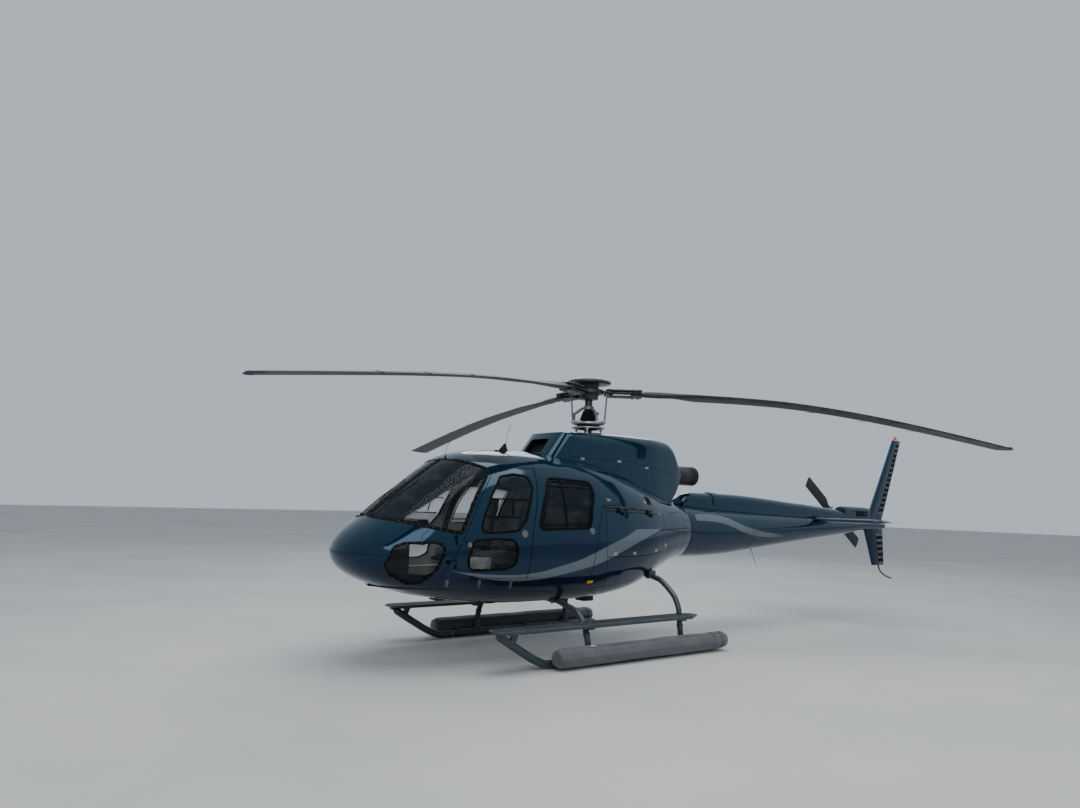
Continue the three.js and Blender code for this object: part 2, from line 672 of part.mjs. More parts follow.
// The space behind the cowling's rounded, leaning front
function cowlFront(inset) {
  const half = COWL_NOSE.map(([x, y]) => [x - inset * 1.2, Math.max(y - (y > 0 ? inset : 0), 0)]);
  const outline = [...half, ...half.slice(1).reverse().map(([x, y]) => [x, -y])];
  const ring = (z) => outline.map(([x, y]) => [x + COWL_LEAN.rate * (COWL_LEAN.z - z), y, z]);
  return loft([ring(1600), ring(2600)]);
}

const cowlEnds = [COWL[0][0], COWL.at(-1)[0]];
const cowlInner = cowlSolid(COWL_SKIN, cowlEnds[0] + 30, cowlEnds[1] - 30).intersect(cowlFront(COWL_SKIN));
const cowlSkin = cowlSolid(0, ...cowlEnds).intersect(cowlFront(0)).subtract(cowlInner);
const UNDERCUT = [[-1700, 1640], [-1700, 2062], [-1440, 2058], [-1396, 1976], [-1301, 1841], [-1226, 1774],
  [-1200, 1640]];

function cowlPart(from, to) {
  const zone = block([from + SEAT, -WIDE, 0], [to - SEAT, WIDE, 3000]);
  return cowlSkin.intersect(zone).subtract(outerGrown).subtract(sidePrism(UNDERCUT, -WIDE, WIDE));
}

function intakeCowl() {
  const { half, low, high } = INTAKE;
  const mouth = block([COWL_SPLITS[0] + 60, -half, low], [1200, half, high]);
  return largestOf(cowlPart(COWL_SPLITS[0], 1200).subtract(mouth));
}

function gearboxCowl() {
  const hole = bar([0, 0, 2400], [0, 0, 2600], SWASHPLATE.radius + 30, 24);
  return largestOf(cowlPart(COWL_SPLITS[1], COWL_SPLITS[0]).subtract(hole));
}

function engineCowl() {
  const pipe = bar([-1300, 0, EXHAUST.z], [-1800, 0, EXHAUST.z], EXHAUST.radius + SEAT, 24);
  return largestOf(cowlPart(-1700, COWL_SPLITS[1]).subtract(pipe));
}

function engineBlock() {
  const { front, rear, half, top } = ENGINE;
  return largestOf(block([rear, -half, 1700], [front, half, top]).subtract(outerGrown));
}

function gearboxBlock() {
  const { front, rear, half, top } = GEARBOX;
  return largestOf(block([rear, -half, 1900], [front, half, top]).subtract(outerGrown));
}

function exhaustPipe() {
  const { z, radius, wall, front, rear } = EXHAUST;
  const tube = bar([front, 0, z], [rear, 0, z], radius, 24);
  return tube.subtract(bar([front - 12, 0, z], [rear - 10, 0, z], radius - wall, 24));
}

// Tail

function boomRing(x, inset) {
  const [, low, high, half] = rowAt(BOOM.toReversed(), x);
  const middle = (low + high) / 2;
  const ring = [];
  for (let i = 0; i < BOOM_STEPS; i += 1) {
    const angle = (2 * Math.PI * (i + 0.5)) / BOOM_STEPS;
    ring.push([x, (half - inset) * Math.cos(angle), middle + (middle - low - inset) * Math.sin(angle)]);
  }
  return ring;
}

function boomSolid(inset, from, to) {
  const stations = BOOM.map((row) => row[0]).reverse().filter((x) => x > from + 1 && x < to - 1);
  return loft([from, ...stations, to].map((x) => boomRing(x, inset)));
}

const boomFront = -1550 - SEAT;
const boomOuter = boomSolid(0, BOOM.at(-1)[0], boomFront);
const boomGrown = boomSolid(-SEAT, BOOM.at(-1)[0] - SEAT, BOOM[0][0]);

function stabiliser(grow = 0) {
  const { lead, trail, z, thick, half } = STABILISER;
  const chord = lead - trail;
  const outline = [];
  for (const [share, height] of [[0, 0], [0.05, 0.32], [0.25, 0.5], [0.6, 0.38], [1, 0.06]]) {
    outline.push([lead - share * chord, z + height * thick]);
  }
  for (const [share, height] of [[1, 0.06], [0.6, 0.38], [0.25, 0.5], [0.05, 0.32]]) {
    outline.push([lead - share * chord, z - height * thick]);
  }
  return sidePrism(insetOutline(outline, -grow), -half - grow, half + grow);
}

function tailBoom() {
  const hollow = boomSolid(BOOM_SKIN, BOOM.at(-1)[0] + BOOM_SKIN, BOOM[0][0] + 10);
  return largestOf(boomOuter.subtract(hollow).subtract(stabiliser(SEAT)));
}

// The drive shaft cover's form, an arch that reaches down into the boom
function spineSolid(inset, from, to) {
  const stations = SPINE.map((row) => row[0]).reverse().filter((x) => x > from + 1 && x < to - 1);
  return loft([from, ...stations, to].map((x) => {
    const [, top, half] = rowAt(SPINE.toReversed(), x);
    const arch = half - inset;
    const rise = half * 0.8 - inset;
    const ring = [];
    for (let i = 0; i <= 6; i += 1) {
      const angle = Math.PI * (i / 6);
      ring.push([x, arch * Math.cos(angle), top - half * 0.8 + rise * Math.sin(angle)]);
    }
    ring.push([x, -arch, 1480 - inset], [x, arch, 1480 - inset]);
    return ring;
  }));
}

function driveShaftCover() {
  const [rear, front] = [SPINE.at(-1)[0], SPINE[0][0]];
  const hollow = spineSolid(COVER_SKIN, rear + COVER_SKIN, front - COVER_SKIN);
  const wall = spineSolid(0, rear, front).subtract(hollow);
  const hull = wall.subtract(boomGrown).subtract(outerGrown);
  return largestOf(hull.subtract(fin(UPPER_FIN, 1)).subtract(stabiliser(SEAT)));
}

// A fin from its table of sections
function fin(table, grow = 0) {
  const rings = table.map(([z, lead, trail, thick]) => {
    const chord = lead - trail;
    const side = [[0, 0], [0.06, 0.34], [0.28, 0.5], [0.62, 0.4], [1, 0.2]];
    const half = side.map(([share, height]) => (
      [lead + 2 * grow - share * (chord + 3 * grow), height * thick + Math.sign(share) * grow, z]
    ));
    const mirrored = half.slice(1).reverse().map(([x, y]) => [x, -y, z]);
    return [...half.map(([x, y]) => [x, y, z]), ...mirrored];
  });
  rings[0] = rings[0].map(([x, y, z]) => [x, y, z + Math.sign(table[0][0] - table[1][0]) * grow]);
  return loft(rings);
}

function upperFin() {
  return largestOf(fin(UPPER_FIN).subtract(boomGrown));
}

function lowerFin() {
  const guard = bentBar([[-6740, 0, 790], [-6790, 0, 690], [-6930, 0, 600], [-7160, 0, 531]], 14, 12, 8);
  return largestOf(fin(LOWER_FIN).subtract(boomGrown).add(guard));
}

function tailGearbox() {
  const { x, z, shaftStart } = TAIL_ROTOR;
  const body = bar([x, -60, z], [x, shaftStart, z], 62, 16);
  return largestOf(body.subtract(spineSolid(-SEAT, SPINE.at(-1)[0], SPINE[0][0])).subtract(boomGrown));
}

function tailRotor() {
  const { x, y, z, radius, chord, angle, shaftStart } = TAIL_ROTOR;
  const shaft = bar([x, shaftStart - SEAT, z], [x, y - 40, z], 26, 16);
  const hub = block([-150, -22, -55], [150, 22, 55]);
  const outline = [[140, 20, 40], [260, 20, 80], [330, 16, chord / 2], [radius, 9, chord / 2]];
  const blades = [1, -1].map((side) => loft(outline.map(([r, thick, half]) => (
    [[side * r, 0, half], [side * r, thick, half * 0.4], [side * r, thick * 0.5, -half],
      [side * r, -thick * 0.5, -half], [side * r, -thick, half * 0.4]]
  ))));
  const turned = joined(hub, ...blades).rotate([0, -angle, 0]).translate([x, y, z]);
  return turned.add(shaft);
}

// Landing gear

// The middle line of a cross tube, from the port skid to the starboard one
function crossLine({ x, top, bends }) {
  const leg = [[SKID.y, SKID.radius * 2 - 6], [SKID.y, 190]];
  const line = [...leg, ...bends].map(([y, z]) => [x, y, z]);
  return [...line, [x, 0, top], ...line.toReversed().map(([, y, z]) => [x, -y, z])];
}

function crossTube(tube) {
  return largestOf(bentBar(crossLine(tube), CROSS_RADIUS, CROSS_STEPS, CROSS_SIDES).subtract(skidSpace()));
}

function crossTubeSpace(tube) {
  return bentBar(crossLine(tube), CROSS_RADIUS + 1, CROSS_STEPS, CROSS_SIDES);
}

function skidLine(side) {
  const { y, radius, rear, bend, tipX, tipZ } = SKID;
  return [[rear, side * y, radius], [0, side * y, radius], [bend - 140, side * y, radius],
    [bend, side * y, radius + 4], [bend + 130, side * y, radius + 52], [tipX, side * y, tipZ]];
}

function skidSpace() {
  return joined(...sides.map(([, side]) => bentBar(skidLine(side), SKID.radius + SEAT, SKID_STEPS)));
}

function skid(side) {
  return bentBar(skidLine(side), SKID.radius, SKID_STEPS);
}

function stepBoard(side) {
  const { y, width, thick, z, front, rear } = STEP;
  const middle = side * y;
  const board = block([rear, middle - width / 2, z - thick / 2], [front, middle + width / 2, z + thick / 2]);
  const bracket = sidePrism([[1900, z], [2080, z], [2080, 345], [1990, 345]], middle - 20, middle + 20);
  const tubes = crossTubeSpace(CROSS_TUBES.front).add(crossTubeSpace(CROSS_TUBES.rear));
  return largestOf(board.add(bracket).subtract(tubes).subtract(skidSpace()));
}

function floatBag(side) {
  const { y, z, radius, front, rear } = FLOAT;
  const rings = [[rear, 0.8], [rear + 60, 1], [front - 60, 1], [front, 0.8]].map(([x, share]) => {
    const ring = [];
    for (let i = 0; i < 8; i += 1) {
      const angle = (2 * Math.PI * (i + 0.5)) / 8;
      ring.push([x, side * y + radius * share * Math.cos(angle), z + radius * share * Math.sin(angle)]);
    }
    return ring;
  });
  const inboard = SKID.y - 14;
  const top = SKID.radius * 2 + SEAT;
  const brackets = FLOAT_BRACKETS.map((x) => block(
    [x - 30, Math.min(side * inboard, side * (inboard + 90)), top],
    [x + 30, Math.max(side * inboard, side * (inboard + 90)), top + 14],
  ));
  return joined(loft(rings), ...brackets);
}

function slingHook() {
  const { size, low, high } = HOOK;
  const plate = block([-size / 2, -size / 2, low], [size / 2, size / 2, high]);
  return largestOf(plate.subtract(outerGrown));
}

// Main rotor

function rotorMast() {
  return bar([0, 0, GEARBOX.top + SEAT], [0, 0, ROTOR.starTop - ROTOR.starThick - SEAT], MAST_RADIUS, 20);
}

function rotorHub() {
  const top = ROTOR.starTop;
  const low = top - ROTOR.starThick;
  let hub = bar([0, 0, low], [0, 0, top], 190, 18);
  for (const azimuth of ROTOR.azimuths) {
    const arm = block([100, -62, low + 10], [560, 62, top - 10]);
    const levels = [[top - 6, top + 14], [low - 34, low - 14]];
    const plates = levels.map(([a, b]) => block([220, -85, a], [640, 85, b]));
    const spacers = [250, 610].map((r) => block([r - 30, -50, low - 34], [r + 30, 50, top + 14]));
    const horn = block([190, -160, low - 34], [245, -60, low - 14]);
    hub = hub.add(joined(arm, ...plates, ...spacers, horn).rotate([0, 0, azimuth]));
  }
  return hub;
}

function hubCap() {
  const { radius, rim, top } = CAP;
  const low = ROTOR.starTop + SEAT;
  const profile = [[0, low], [110, low], [130, rim - 30], [radius, rim - 16], [radius, rim + 12],
    [radius - 50, top - 14], [60, top], [0, top]];
  const geometry = new THREE.LatheGeometry(profile.map(([r, z]) => new THREE.Vector2(r, z)), 20);
  geometry.rotateX(Math.PI / 2);
  return solidOf(geometry);
}

function bladeSolid(azimuth, bow) {
  const [root, tip] = [BLADE[0][0], BLADE.at(-1)[0]];
  const rings = BLADE.map(([radius, flat, chord, thick]) => {
    const z = flat + bow * Math.sin((Math.PI * (radius - root)) / (tip - root));
    const top = [[0, 0], [0.04, 0.3], [0.15, 0.5], [0.4, 0.48], [0.75, 0.22], [1, 0.03]];
    const low = top.slice(1).reverse().map(([share, height]) => [share, -height * 0.7]);
    return [...top, ...low].map(([share, height]) => (
      [radius, -chord * 0.3 + share * chord, z + height * thick]
    ));
  });
  const blade = loft(rings).subtract(block([500, -300, 2900], [640 + SEAT, 300, 3200]));
  return blade.rotate([0, 0, azimuth]);
}

function ring(outerRadius, innerRadius, low, high) {
  const solid = bar([0, 0, low], [0, 0, high], outerRadius, 20);
  return solid.subtract(bar([0, 0, low - 5], [0, 0, high + 5], innerRadius, 20));
}

function controlRing() {
  const { radius, bore, fixedLow, fixedHigh } = SWASHPLATE;
  let solid = ring(radius, bore, fixedLow, fixedHigh);
  for (const azimuth of [0, 120, 240]) {
    const rod = bar([180, 0, GEARBOX.top + SEAT], [180, 0, fixedLow + 10], 20, 10);
    solid = solid.add(rod.rotate([0, 0, azimuth + 45]));
  }
  return solid;
}

function turningRing() {
  const { radius, fixedHigh, highHigh } = SWASHPLATE;
  let solid = ring(radius, MAST_RADIUS + SEAT, fixedHigh + RUN, highHigh);
  for (const azimuth of ROTOR.azimuths) {
    const lug = block([150, -24, highHigh - 40], [LINK.low + 14, 24, highHigh]);
    const linkTop = ROTOR.starTop - ROTOR.starThick - 36;
    const link = bar([LINK.low, 0, highHigh - 20], [LINK.top, 0, linkTop], LINK.radius, 8);
    solid = solid.add(joined(lug, link).rotate([0, 0, azimuth + LINK.turn]));
  }
  return solid;
}

function roofAntenna() {
  const blade = sidePrism([[1540, 2200], [1360, 2200], [1400, 2330], [1425, 2335]], 190, 200, 0);
  return largestOf(blade.subtract(outerGrown));
}

// Assembly

const aircraft = new THREE.Group();
aircraft.position.z = -HOOK.low;

function place(name, solid, finish, group = aircraft) {
  const mesh = new THREE.Mesh(geometryOf(solid), FINISH[finish]);
  mesh.name = name;
  group.add(mesh);
}

place('cabin_shell', cabinShell(), 'paint');
place('lower_hull', lowerHull(), 'paint');
place('rear_fuselage', rearFuselage(), 'paint');
for (const [name, side] of sides) {
  place(`windshield_${name}`, pane(paneCut(WINDSHIELD, side, 30, POST_HALF + PANE_GAP)), 'glass');
  place(`chin_window_${name}`, pane(paneCut(CHIN_WINDOW, side, 60, CHIN_INBOARD)), 'glass');
  place(`roof_window_${name}`, pane(roofWindowCut(side, SEAT)), 'glass');
  place(`front_door_${name}`, frontDoor(side), 'paint');
  place(`front_door_window_${name}`, pane(paneCut(FRONT_WINDOW, side, 90)), 'glass');
  place(`lower_door_window_${name}`, pane(paneCut(LOWER_WINDOW, side, 70)), 'glass');
  place(`rear_door_${name}`, rearDoor(side), 'paint');
  place(`rear_door_window_${name}`, pane(paneCut(REAR_WINDOW, side, 70)), 'glass');
  place(`baggage_door_${name}`, baggageDoor(side), 'paint');
  place(`front_seat_${name}`, frontSeat(side), 'seat');
  place(`skid_${name}`, skid(side), 'gearPaint');
  place(`step_${name}`, stepBoard(side), 'gearPaint');
  place(`float_bag_${name}`, floatBag(side), 'floatCover');
}
place('rear_bench', rearBench(), 'seat');
place('instrument_panel', instrumentPanel(), 'floor');
place('intake_cowl', intakeCowl(), 'paint');
place('gearbox_cowl', gearboxCowl(), 'paint');
place('engine_cowl', engineCowl(), 'paint');
place('engine', engineBlock(), 'metal');
place('main_gearbox', gearboxBlock(), 'metal');
place('exhaust_pipe', exhaustPipe(), 'darkMetal');
place('tail_boom', tailBoom(), 'paint');
place('drive_shaft_cover', driveShaftCover(), 'paint');
place('horizontal_stabiliser', stabiliser(), 'paint');
place('upper_fin', upperFin(), 'paint');
place('lower_fin', lowerFin(), 'paint');
place('tail_gearbox', tailGearbox(), 'darkMetal');
place('tail_rotor', tailRotor(), 'blade');
place('front_cross_tube', crossTube(CROSS_TUBES.front), 'gearPaint');
place('rear_cross_tube', crossTube(CROSS_TUBES.rear), 'gearPaint');
place('sling_hook', slingHook(), 'darkMetal');
place('control_ring', controlRing(), 'metal');
place('roof_antenna', roofAntenna(), 'darkMetal');
place('rotor_mast', rotorMast(), 'metal');
place('rotor_hub', rotorHub(), 'darkMetal');
place('hub_cap', hubCap(), 'darkMetal');
place('turning_ring', turningRing(), 'metal');
ROTOR.azimuths.forEach((azimuth, i) => {
  place(`main_blade_${i + 1}`, bladeSolid(azimuth, BLADE_BOW[i]), 'blade');
});

const model = new THREE.Group();
model.add(aircraft);

export default model;
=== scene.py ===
"""The looks of a light utility helicopter on skids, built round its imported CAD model."""

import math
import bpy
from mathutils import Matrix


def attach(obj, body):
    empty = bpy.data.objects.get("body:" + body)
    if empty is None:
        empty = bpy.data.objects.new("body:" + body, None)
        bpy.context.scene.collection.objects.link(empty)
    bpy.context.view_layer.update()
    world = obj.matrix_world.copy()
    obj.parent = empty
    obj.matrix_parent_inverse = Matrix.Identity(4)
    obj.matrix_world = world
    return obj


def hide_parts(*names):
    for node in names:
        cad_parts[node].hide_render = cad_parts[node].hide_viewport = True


bl_info = {
    "name": "Utility Helicopter",
    "version": (1, 0, 0),
    "blender": (4, 5, 0),
    "location": "3D View > Sidebar > Helicopter",
    "description": "Builds the skin, doors, glazing, rotor, tail, gear and seats of a utility helicopter",
    "category": "Add Mesh",
}

import bpy
import numpy as np
from mathutils import Matrix, Vector

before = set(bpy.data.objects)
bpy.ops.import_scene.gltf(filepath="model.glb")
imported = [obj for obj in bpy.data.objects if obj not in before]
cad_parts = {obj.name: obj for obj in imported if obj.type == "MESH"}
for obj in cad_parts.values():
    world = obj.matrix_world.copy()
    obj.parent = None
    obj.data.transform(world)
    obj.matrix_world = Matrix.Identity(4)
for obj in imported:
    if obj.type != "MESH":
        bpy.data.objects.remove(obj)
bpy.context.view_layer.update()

# Heights in this file are above the ground, and the shared frame's zero lies this far above it
DROP = 0.5
SIDES = (("left", 1), ("right", -1))

# Shaders


class Value:
    """A number socket of a material, which Python's operators work on."""

    def __init__(self, finish, socket):
        self.finish = finish
        self.socket = socket

    def math(self, operation, *others, clamp=False):
        made = self.finish.tree.nodes.new("ShaderNodeMath")
        made.operation = operation
        made.use_clamp = clamp
        for slot, value in zip(made.inputs, (self, *others)):
            self.finish.feed(slot, value)
        return Value(self.finish, made.outputs[0])

    def __add__(self, other):
        return self.math("ADD", other)

    __radd__ = __add__

    def __sub__(self, other):
        return self.math("SUBTRACT", other)

    def __rsub__(self, other):
        return (self * -1.0) + other

    def __mul__(self, other):
        return self.math("MULTIPLY", other)

    __rmul__ = __mul__

    def __truediv__(self, other):
        return self.math("DIVIDE", other)

    def clamp(self):
        return self.math("ADD", 0.0, clamp=True)

    def maximum(self, other):
        return self.math("MAXIMUM", other)

    def step(self, low, high):
        """A smooth step from 0 at low to 1 at high."""
        return self.finish.node(
            "ShaderNodeMapRange",
            {"interpolation_type": "SMOOTHSTEP"},
            {"Value": self, "From Min": low, "From Max": high},
        )


class Finish:
    """One material and the nodes that make it."""

    def __init__(self, name):
        self.material = bpy.data.materials.new(name)
        self.material.use_nodes = True
        self.tree = self.material.node_tree
        self.tree.nodes.clear()
        self.place = None

    def feed(self, socket, value):
        if isinstance(value, Value):
            self.tree.links.new(value.socket, socket)
        elif isinstance(value, bpy.types.NodeSocket):
            self.tree.links.new(value, socket)
        else:
            socket.default_value = value

    def make(self, kind, settings=None, sockets=None):
        """Adds a node: its settings come first, then the values or links of its sockets."""
        made = self.tree.nodes.new(kind)
        for name, value in (settings or {}).items():
            if name == "curve":
                set_curve(made.mapping, value)
            else:
                setattr(made, name, value)
        for name, value in (sockets or {}).items():
            self.feed(made.inputs[name], value)
        return made

    def node(self, kind, settings=None, sockets=None):
        return Value(self, self.make(kind, settings, sockets).outputs[0])

    def where(self):
        """The object coordinates, as one vector socket."""
        if self.place is None:
            self.place = self.make("ShaderNodeTexCoord").outputs["Object"]
        return self.place

    def axes(self):
        split = self.make("ShaderNodeSeparateXYZ", None, {0: self.where()})
        return [Value(self, split.outputs[i]) for i in range(3)]

    def stretched(self, size):
        return self.make("ShaderNodeMapping", None, {"Vector": self.where(), "Scale": size}).outputs[0]

    def noise(self, scale, detail=3.0, roughness=0.55, vector=None):
        return self.node(
            "ShaderNodeTexNoise",
            None,
            {"Vector": vector or self.where(), "Scale": scale, "Detail": detail, "Roughness": roughness},
        )

    def mix(self, share, first, second):
        """One colour turned into another by a share from 0 to 1."""
        made = self.make("ShaderNodeMix", {"data_type": "RGBA"}, {0: share, 6: first, 7: second})
        return made.outputs[2]

    def bump(self, height, strength, distance):
        sockets = {"Height": height, "Strength": strength, "Distance": distance}
        return self.make("ShaderNodeBump", None, sockets).outputs[0]

    def shade(self, **sockets):
        """Ends the material in one shader, whose sockets are named with _ for a space."""
        named = {name.replace("_", " "): value for name, value in sockets.items()}
        shader = self.make("ShaderNodeBsdfPrincipled", None, named)
        self.make("ShaderNodeOutputMaterial", None, {"Surface": shader.outputs[0]})
        return self.material


def set_curve(mapping, points):
    line = mapping.curves[0]
    while len(line.points) < len(points):
        line.points.new(0.5, 0.5)
    for point, place in zip(line.points, points):
        point.location = place
        point.handle_type = "AUTO"
    mapping.update()


def tone(red, green, blue):
    """A colour from its screen numbers, 0 to 255."""
    linear = []
    for part in (red, green, blue):
        share = part / 255
        linear.append(share / 12.92 if share <= 0.04045 else ((share + 0.055) / 1.055) ** 2.4)
    return (*linear, 1.0)


# The fuselage's shape: x, low, high, height of its widest place, half width, lower and upper roundness
FUSELAGE = (
    (-1.550, 1.000, 1.720, 1.370, 0.360, 2.0, 2.0), (-1.200, 0.922, 1.812, 1.350, 0.490, 2.1, 2.1),
    (-0.850, 0.795, 1.905, 1.320, 0.610, 2.2, 2.2), (-0.500, 0.672, 2.005, 1.270, 0.735, 2.3, 2.3),
    (-0.200, 0.612, 2.100, 1.220, 0.815, 2.4, 2.4), (0.200, 0.575, 2.195, 1.180, 0.885, 2.5, 2.5),
    (0.600, 0.563, 2.240, 1.150, 0.920, 2.6, 2.5), (1.200, 0.562, 2.262, 1.140, 0.925, 2.6, 2.5),
    (1.700, 0.583, 2.240, 1.130, 0.905, 2.6, 2.5), (2.000, 0.612, 2.192, 1.130, 0.880, 2.5, 2.5),
    (2.250, 0.648, 2.052, 1.130, 0.838, 2.4, 2.4), (2.500, 0.692, 1.870, 1.125, 0.770, 2.3, 2.3),
    (2.750, 0.750, 1.690, 1.120, 0.680, 2.2, 2.2), (3.000, 0.835, 1.495, 1.120, 0.545, 2.1, 2.1),
    (3.160, 0.915, 1.375, 1.130, 0.405, 2.0, 2.0), (3.260, 1.005, 1.265, 1.135, 0.235, 2.0, 2.0),
    (3.300, 1.095, 1.180, 1.138, 0.070, 2.0, 2.0),
)
NOSE_START, NOSE_TIP = 3.260, 3.3039
SKIN = 0.034
CABIN_REAR, SILL, HULL_FRONT, FLOOR_TOP = 0.500, 0.900, 2.500, 0.800
RING = 120  # points round the fuselage

# Openings, as (x, z) outlines seen from the left side
WINDSHIELD = (
    (3.035, 1.492), (2.860, 1.460), (2.600, 1.403), (2.335, 1.353), (2.240, 1.550), (2.120, 1.757),
    (1.915, 2.012), (2.100, 2.096), (2.150, 2.130), (2.700, 2.130), (3.150, 1.700),
)
CHIN_WINDOW = (
    (3.016, 1.032), (2.955, 1.210), (2.858, 1.251), (2.600, 1.262), (2.515, 1.240), (2.494, 1.173),
    (2.563, 0.993), (2.660, 0.848), (2.757, 0.842), (2.946, 0.938),
)
DOOR_FRONT_EDGE = (
    (2.500, 0.900), (2.488, 0.985), (2.385, 1.165), (2.290, 1.350), (2.135, 1.656), (2.025, 1.825),
    (1.900, 1.975),
)
DOOR_SPLIT = ((1.345, 2.046), (1.512, 1.400), (1.560, 0.900))
FRONT_DOOR = (*DOOR_FRONT_EDGE, (1.825, 2.020), (1.700, 2.038), *DOOR_SPLIT)
FRONT_WINDOW = (
    (1.820, 1.940), (1.650, 1.972), (1.475, 1.955), (1.458, 1.840), (1.536, 1.650), (1.598, 1.490),
    (1.700, 1.384), (1.925, 1.363), (2.142, 1.362), (2.084, 1.538), (1.976, 1.741),
)
LOWER_WINDOW = (
    (2.270, 1.085), (2.205, 1.283), (1.983, 1.300), (1.750, 1.290), (1.692, 1.180), (1.730, 1.037),
    (1.850, 0.992), (2.235, 0.985),
)
REAR_DOOR_AFT = (
    (0.660, 2.046), (0.480, 2.028), (0.364, 1.980), (0.245, 1.868), (0.190, 1.780), (0.184, 1.676),
    (0.508, 1.668), (0.583, 1.449), (0.640, 1.187), (0.690, 0.900),
)
REAR_DOOR = (*DOOR_SPLIT[::-1], *REAR_DOOR_AFT)
REAR_WINDOW = (
    (1.215, 1.945), (1.070, 1.948), (0.600, 1.925), (0.605, 1.790), (0.674, 1.613), (0.722, 1.416),
    (1.384, 1.396), (1.432, 1.440), (1.362, 1.654),
)
BAGGAGE_DOOR = ((0.470, 1.090), (0.470, 1.612), (-0.690, 1.572), (-0.690, 1.125), (-0.300, 1.090))
BAGGAGE_SLANT = 0.21
DOOR_RAIL = ((0.470, 1.651), (0.020, 1.642), (-0.440, 1.616))
ROOF_WINDOW = {"x": 1.740, "y": 0.370, "long": 0.235, "wide": 0.175}
POST_HALF = 0.020
CHIN_INBOARD = 0.180
DOOR_GAP = 0.006
WIDE = 1.100
HINGE = {"x": 2.388, "reach": 0.831359, "low": 1.040, "high": 1.290, "length": 0.056}


def through(table, places):
    """Every column of a table at each place, on curves that stay between its stations."""
    table = np.array(table, float)
    at = np.atleast_1d(np.asarray(places, float))
    x, values = table[:, 0], table[:, 1:]
    secant = np.diff(values, axis=0) / np.diff(x)[:, None]
    slope = np.zeros_like(values)
    slope[0], slope[-1] = secant[0], secant[-1]
    before, after = secant[:-1], secant[1:]
    same = before * after > 0
    slope[1:-1] = np.where(same, 2 * before * after / np.where(same, before + after, 1), 0)
    i = np.clip(np.searchsorted(x, at, side="right") - 1, 0, len(x) - 2)
    width = (x[i + 1] - x[i])[:, None]
    t = (at - x[i])[:, None] / width
    start = (1 + 2 * t) * (1 - t) ** 2 * values[i] + t * (1 - t) ** 2 * width * slope[i]
    end = t * t * (3 - 2 * t) * values[i + 1] + t * t * (t - 1) * width * slope[i + 1]
    return start + end


def fuselage_at(places):
    """low, high, widest height, half width and the two roundnesses at each x."""
    at = np.atleast_1d(np.asarray(places, float))
    found = through(FUSELAGE, np.clip(at, FUSELAGE[0][0], FUSELAGE[-1][0]))
    share = np.sqrt(np.clip((NOSE_TIP - at) / (NOSE_TIP - NOSE_START), 1e-6, 1))
    tip = at > NOSE_START
    found[tip, 0] = 1.135 - 0.130 * share[tip]
    found[tip, 1] = 1.135 + 0.130 * share[tip]
    found[tip, 2] = 1.135
    found[tip, 3] = 0.235 * share[tip]
    return found


def inside_share(points):
    """1 on the fuselage's surface, less inside it and more outside."""
    x, y, z = points[:, 0], points[:, 1], points[:, 2]
    low, high, wide, half, low_power, high_power = fuselage_at(x).T
    over = z > wide
    power = np.where(over, high_power, low_power)
    reach = np.where(over, high - wide, wide - low)
    return (np.abs(y) / half) ** power + (np.abs(z - wide) / reach) ** power


def slope_of(points, step=1e-4):
    found = np.zeros_like(points)
    for axis in range(3):
        move = np.zeros(3)
        move[axis] = step
        found[:, axis] = (inside_share(points + move) - inside_share(points - move)) / (2 * step)
    return found


def depth_of(points):
    """How far points lie outside the fuselage's surface, negative inside."""
    return (inside_share(points) - 1) / np.maximum(np.linalg.norm(slope_of(points), axis=1), 1e-6)


def normals_of(points):
    found = slope_of(points)
    return found / np.maximum(np.linalg.norm(found, axis=1), 1e-9)[:, None]


def bulge(value, power):
    return np.sign(value) * np.abs(value) ** (2 / power)


def side_at(x, z):
    """The half width of the fuselage at a height."""
    low, high, wide, half, low_power, high_power = fuselage_at(x).T
    z = np.asarray(z, float)
    over = z > wide
    power = np.where(over, high_power, low_power)
    reach = np.where(over, high - wide, wide - low)
    return half * np.maximum(1 - (np.abs(z - wide) / reach) ** power, 0) ** (1 / power)


def under_at(x, y):
    """The height of the belly at a distance from the middle."""
    low, _, wide, half, power, _ = fuselage_at(x).T
    return wide - (wide - low) * np.maximum(1 - (np.abs(y) / half) ** power, 0) ** (1 / power)


def over_at(x, y):
    """The height of the roof or nose at a distance from the middle."""
    _, high, wide, half, _, power = fuselage_at(x).T
    return wide + (high - wide) * np.maximum(1 - (np.abs(y) / half) ** power, 0) ** (1 / power)


def fuselage_ring(x, depth):
    low, high, wide, half, low_power, high_power = fuselage_at(x)[0]
    turn = 2 * np.pi * (np.arange(RING) + 0.5) / RING
    over = np.sin(turn) > 0
    power = np.where(over, high_power, low_power)
    reach = np.where(over, high - wide, wide - low)
    ring = np.column_stack([
        np.full(RING, float(x)),
        half * bulge(np.cos(turn), power),
        wide + reach * bulge(np.sin(turn), power),
    ])
    return ring - depth * normals_of(ring) if depth else ring


# Modelling


def deselect():
    if bpy.context.mode != "OBJECT":
        bpy.ops.object.mode_set(mode="OBJECT")
    bpy.ops.object.select_all(action="DESELECT")


def pick(obj):
    deselect()
    obj.select_set(True)
    bpy.context.view_layer.objects.active = obj
    return obj


def named(name):
    obj = bpy.context.object
    obj.name = name
    obj.data.name = name
    return obj


def edit(obj, *steps):
    """Runs edit-mode steps on the whole of a mesh."""
    pick(obj)
    bpy.ops.object.mode_set(mode="EDIT")
    bpy.ops.mesh.select_all(action="SELECT")
    for step in steps:
        step()
    bpy.ops.object.mode_set(mode="OBJECT")
    return obj


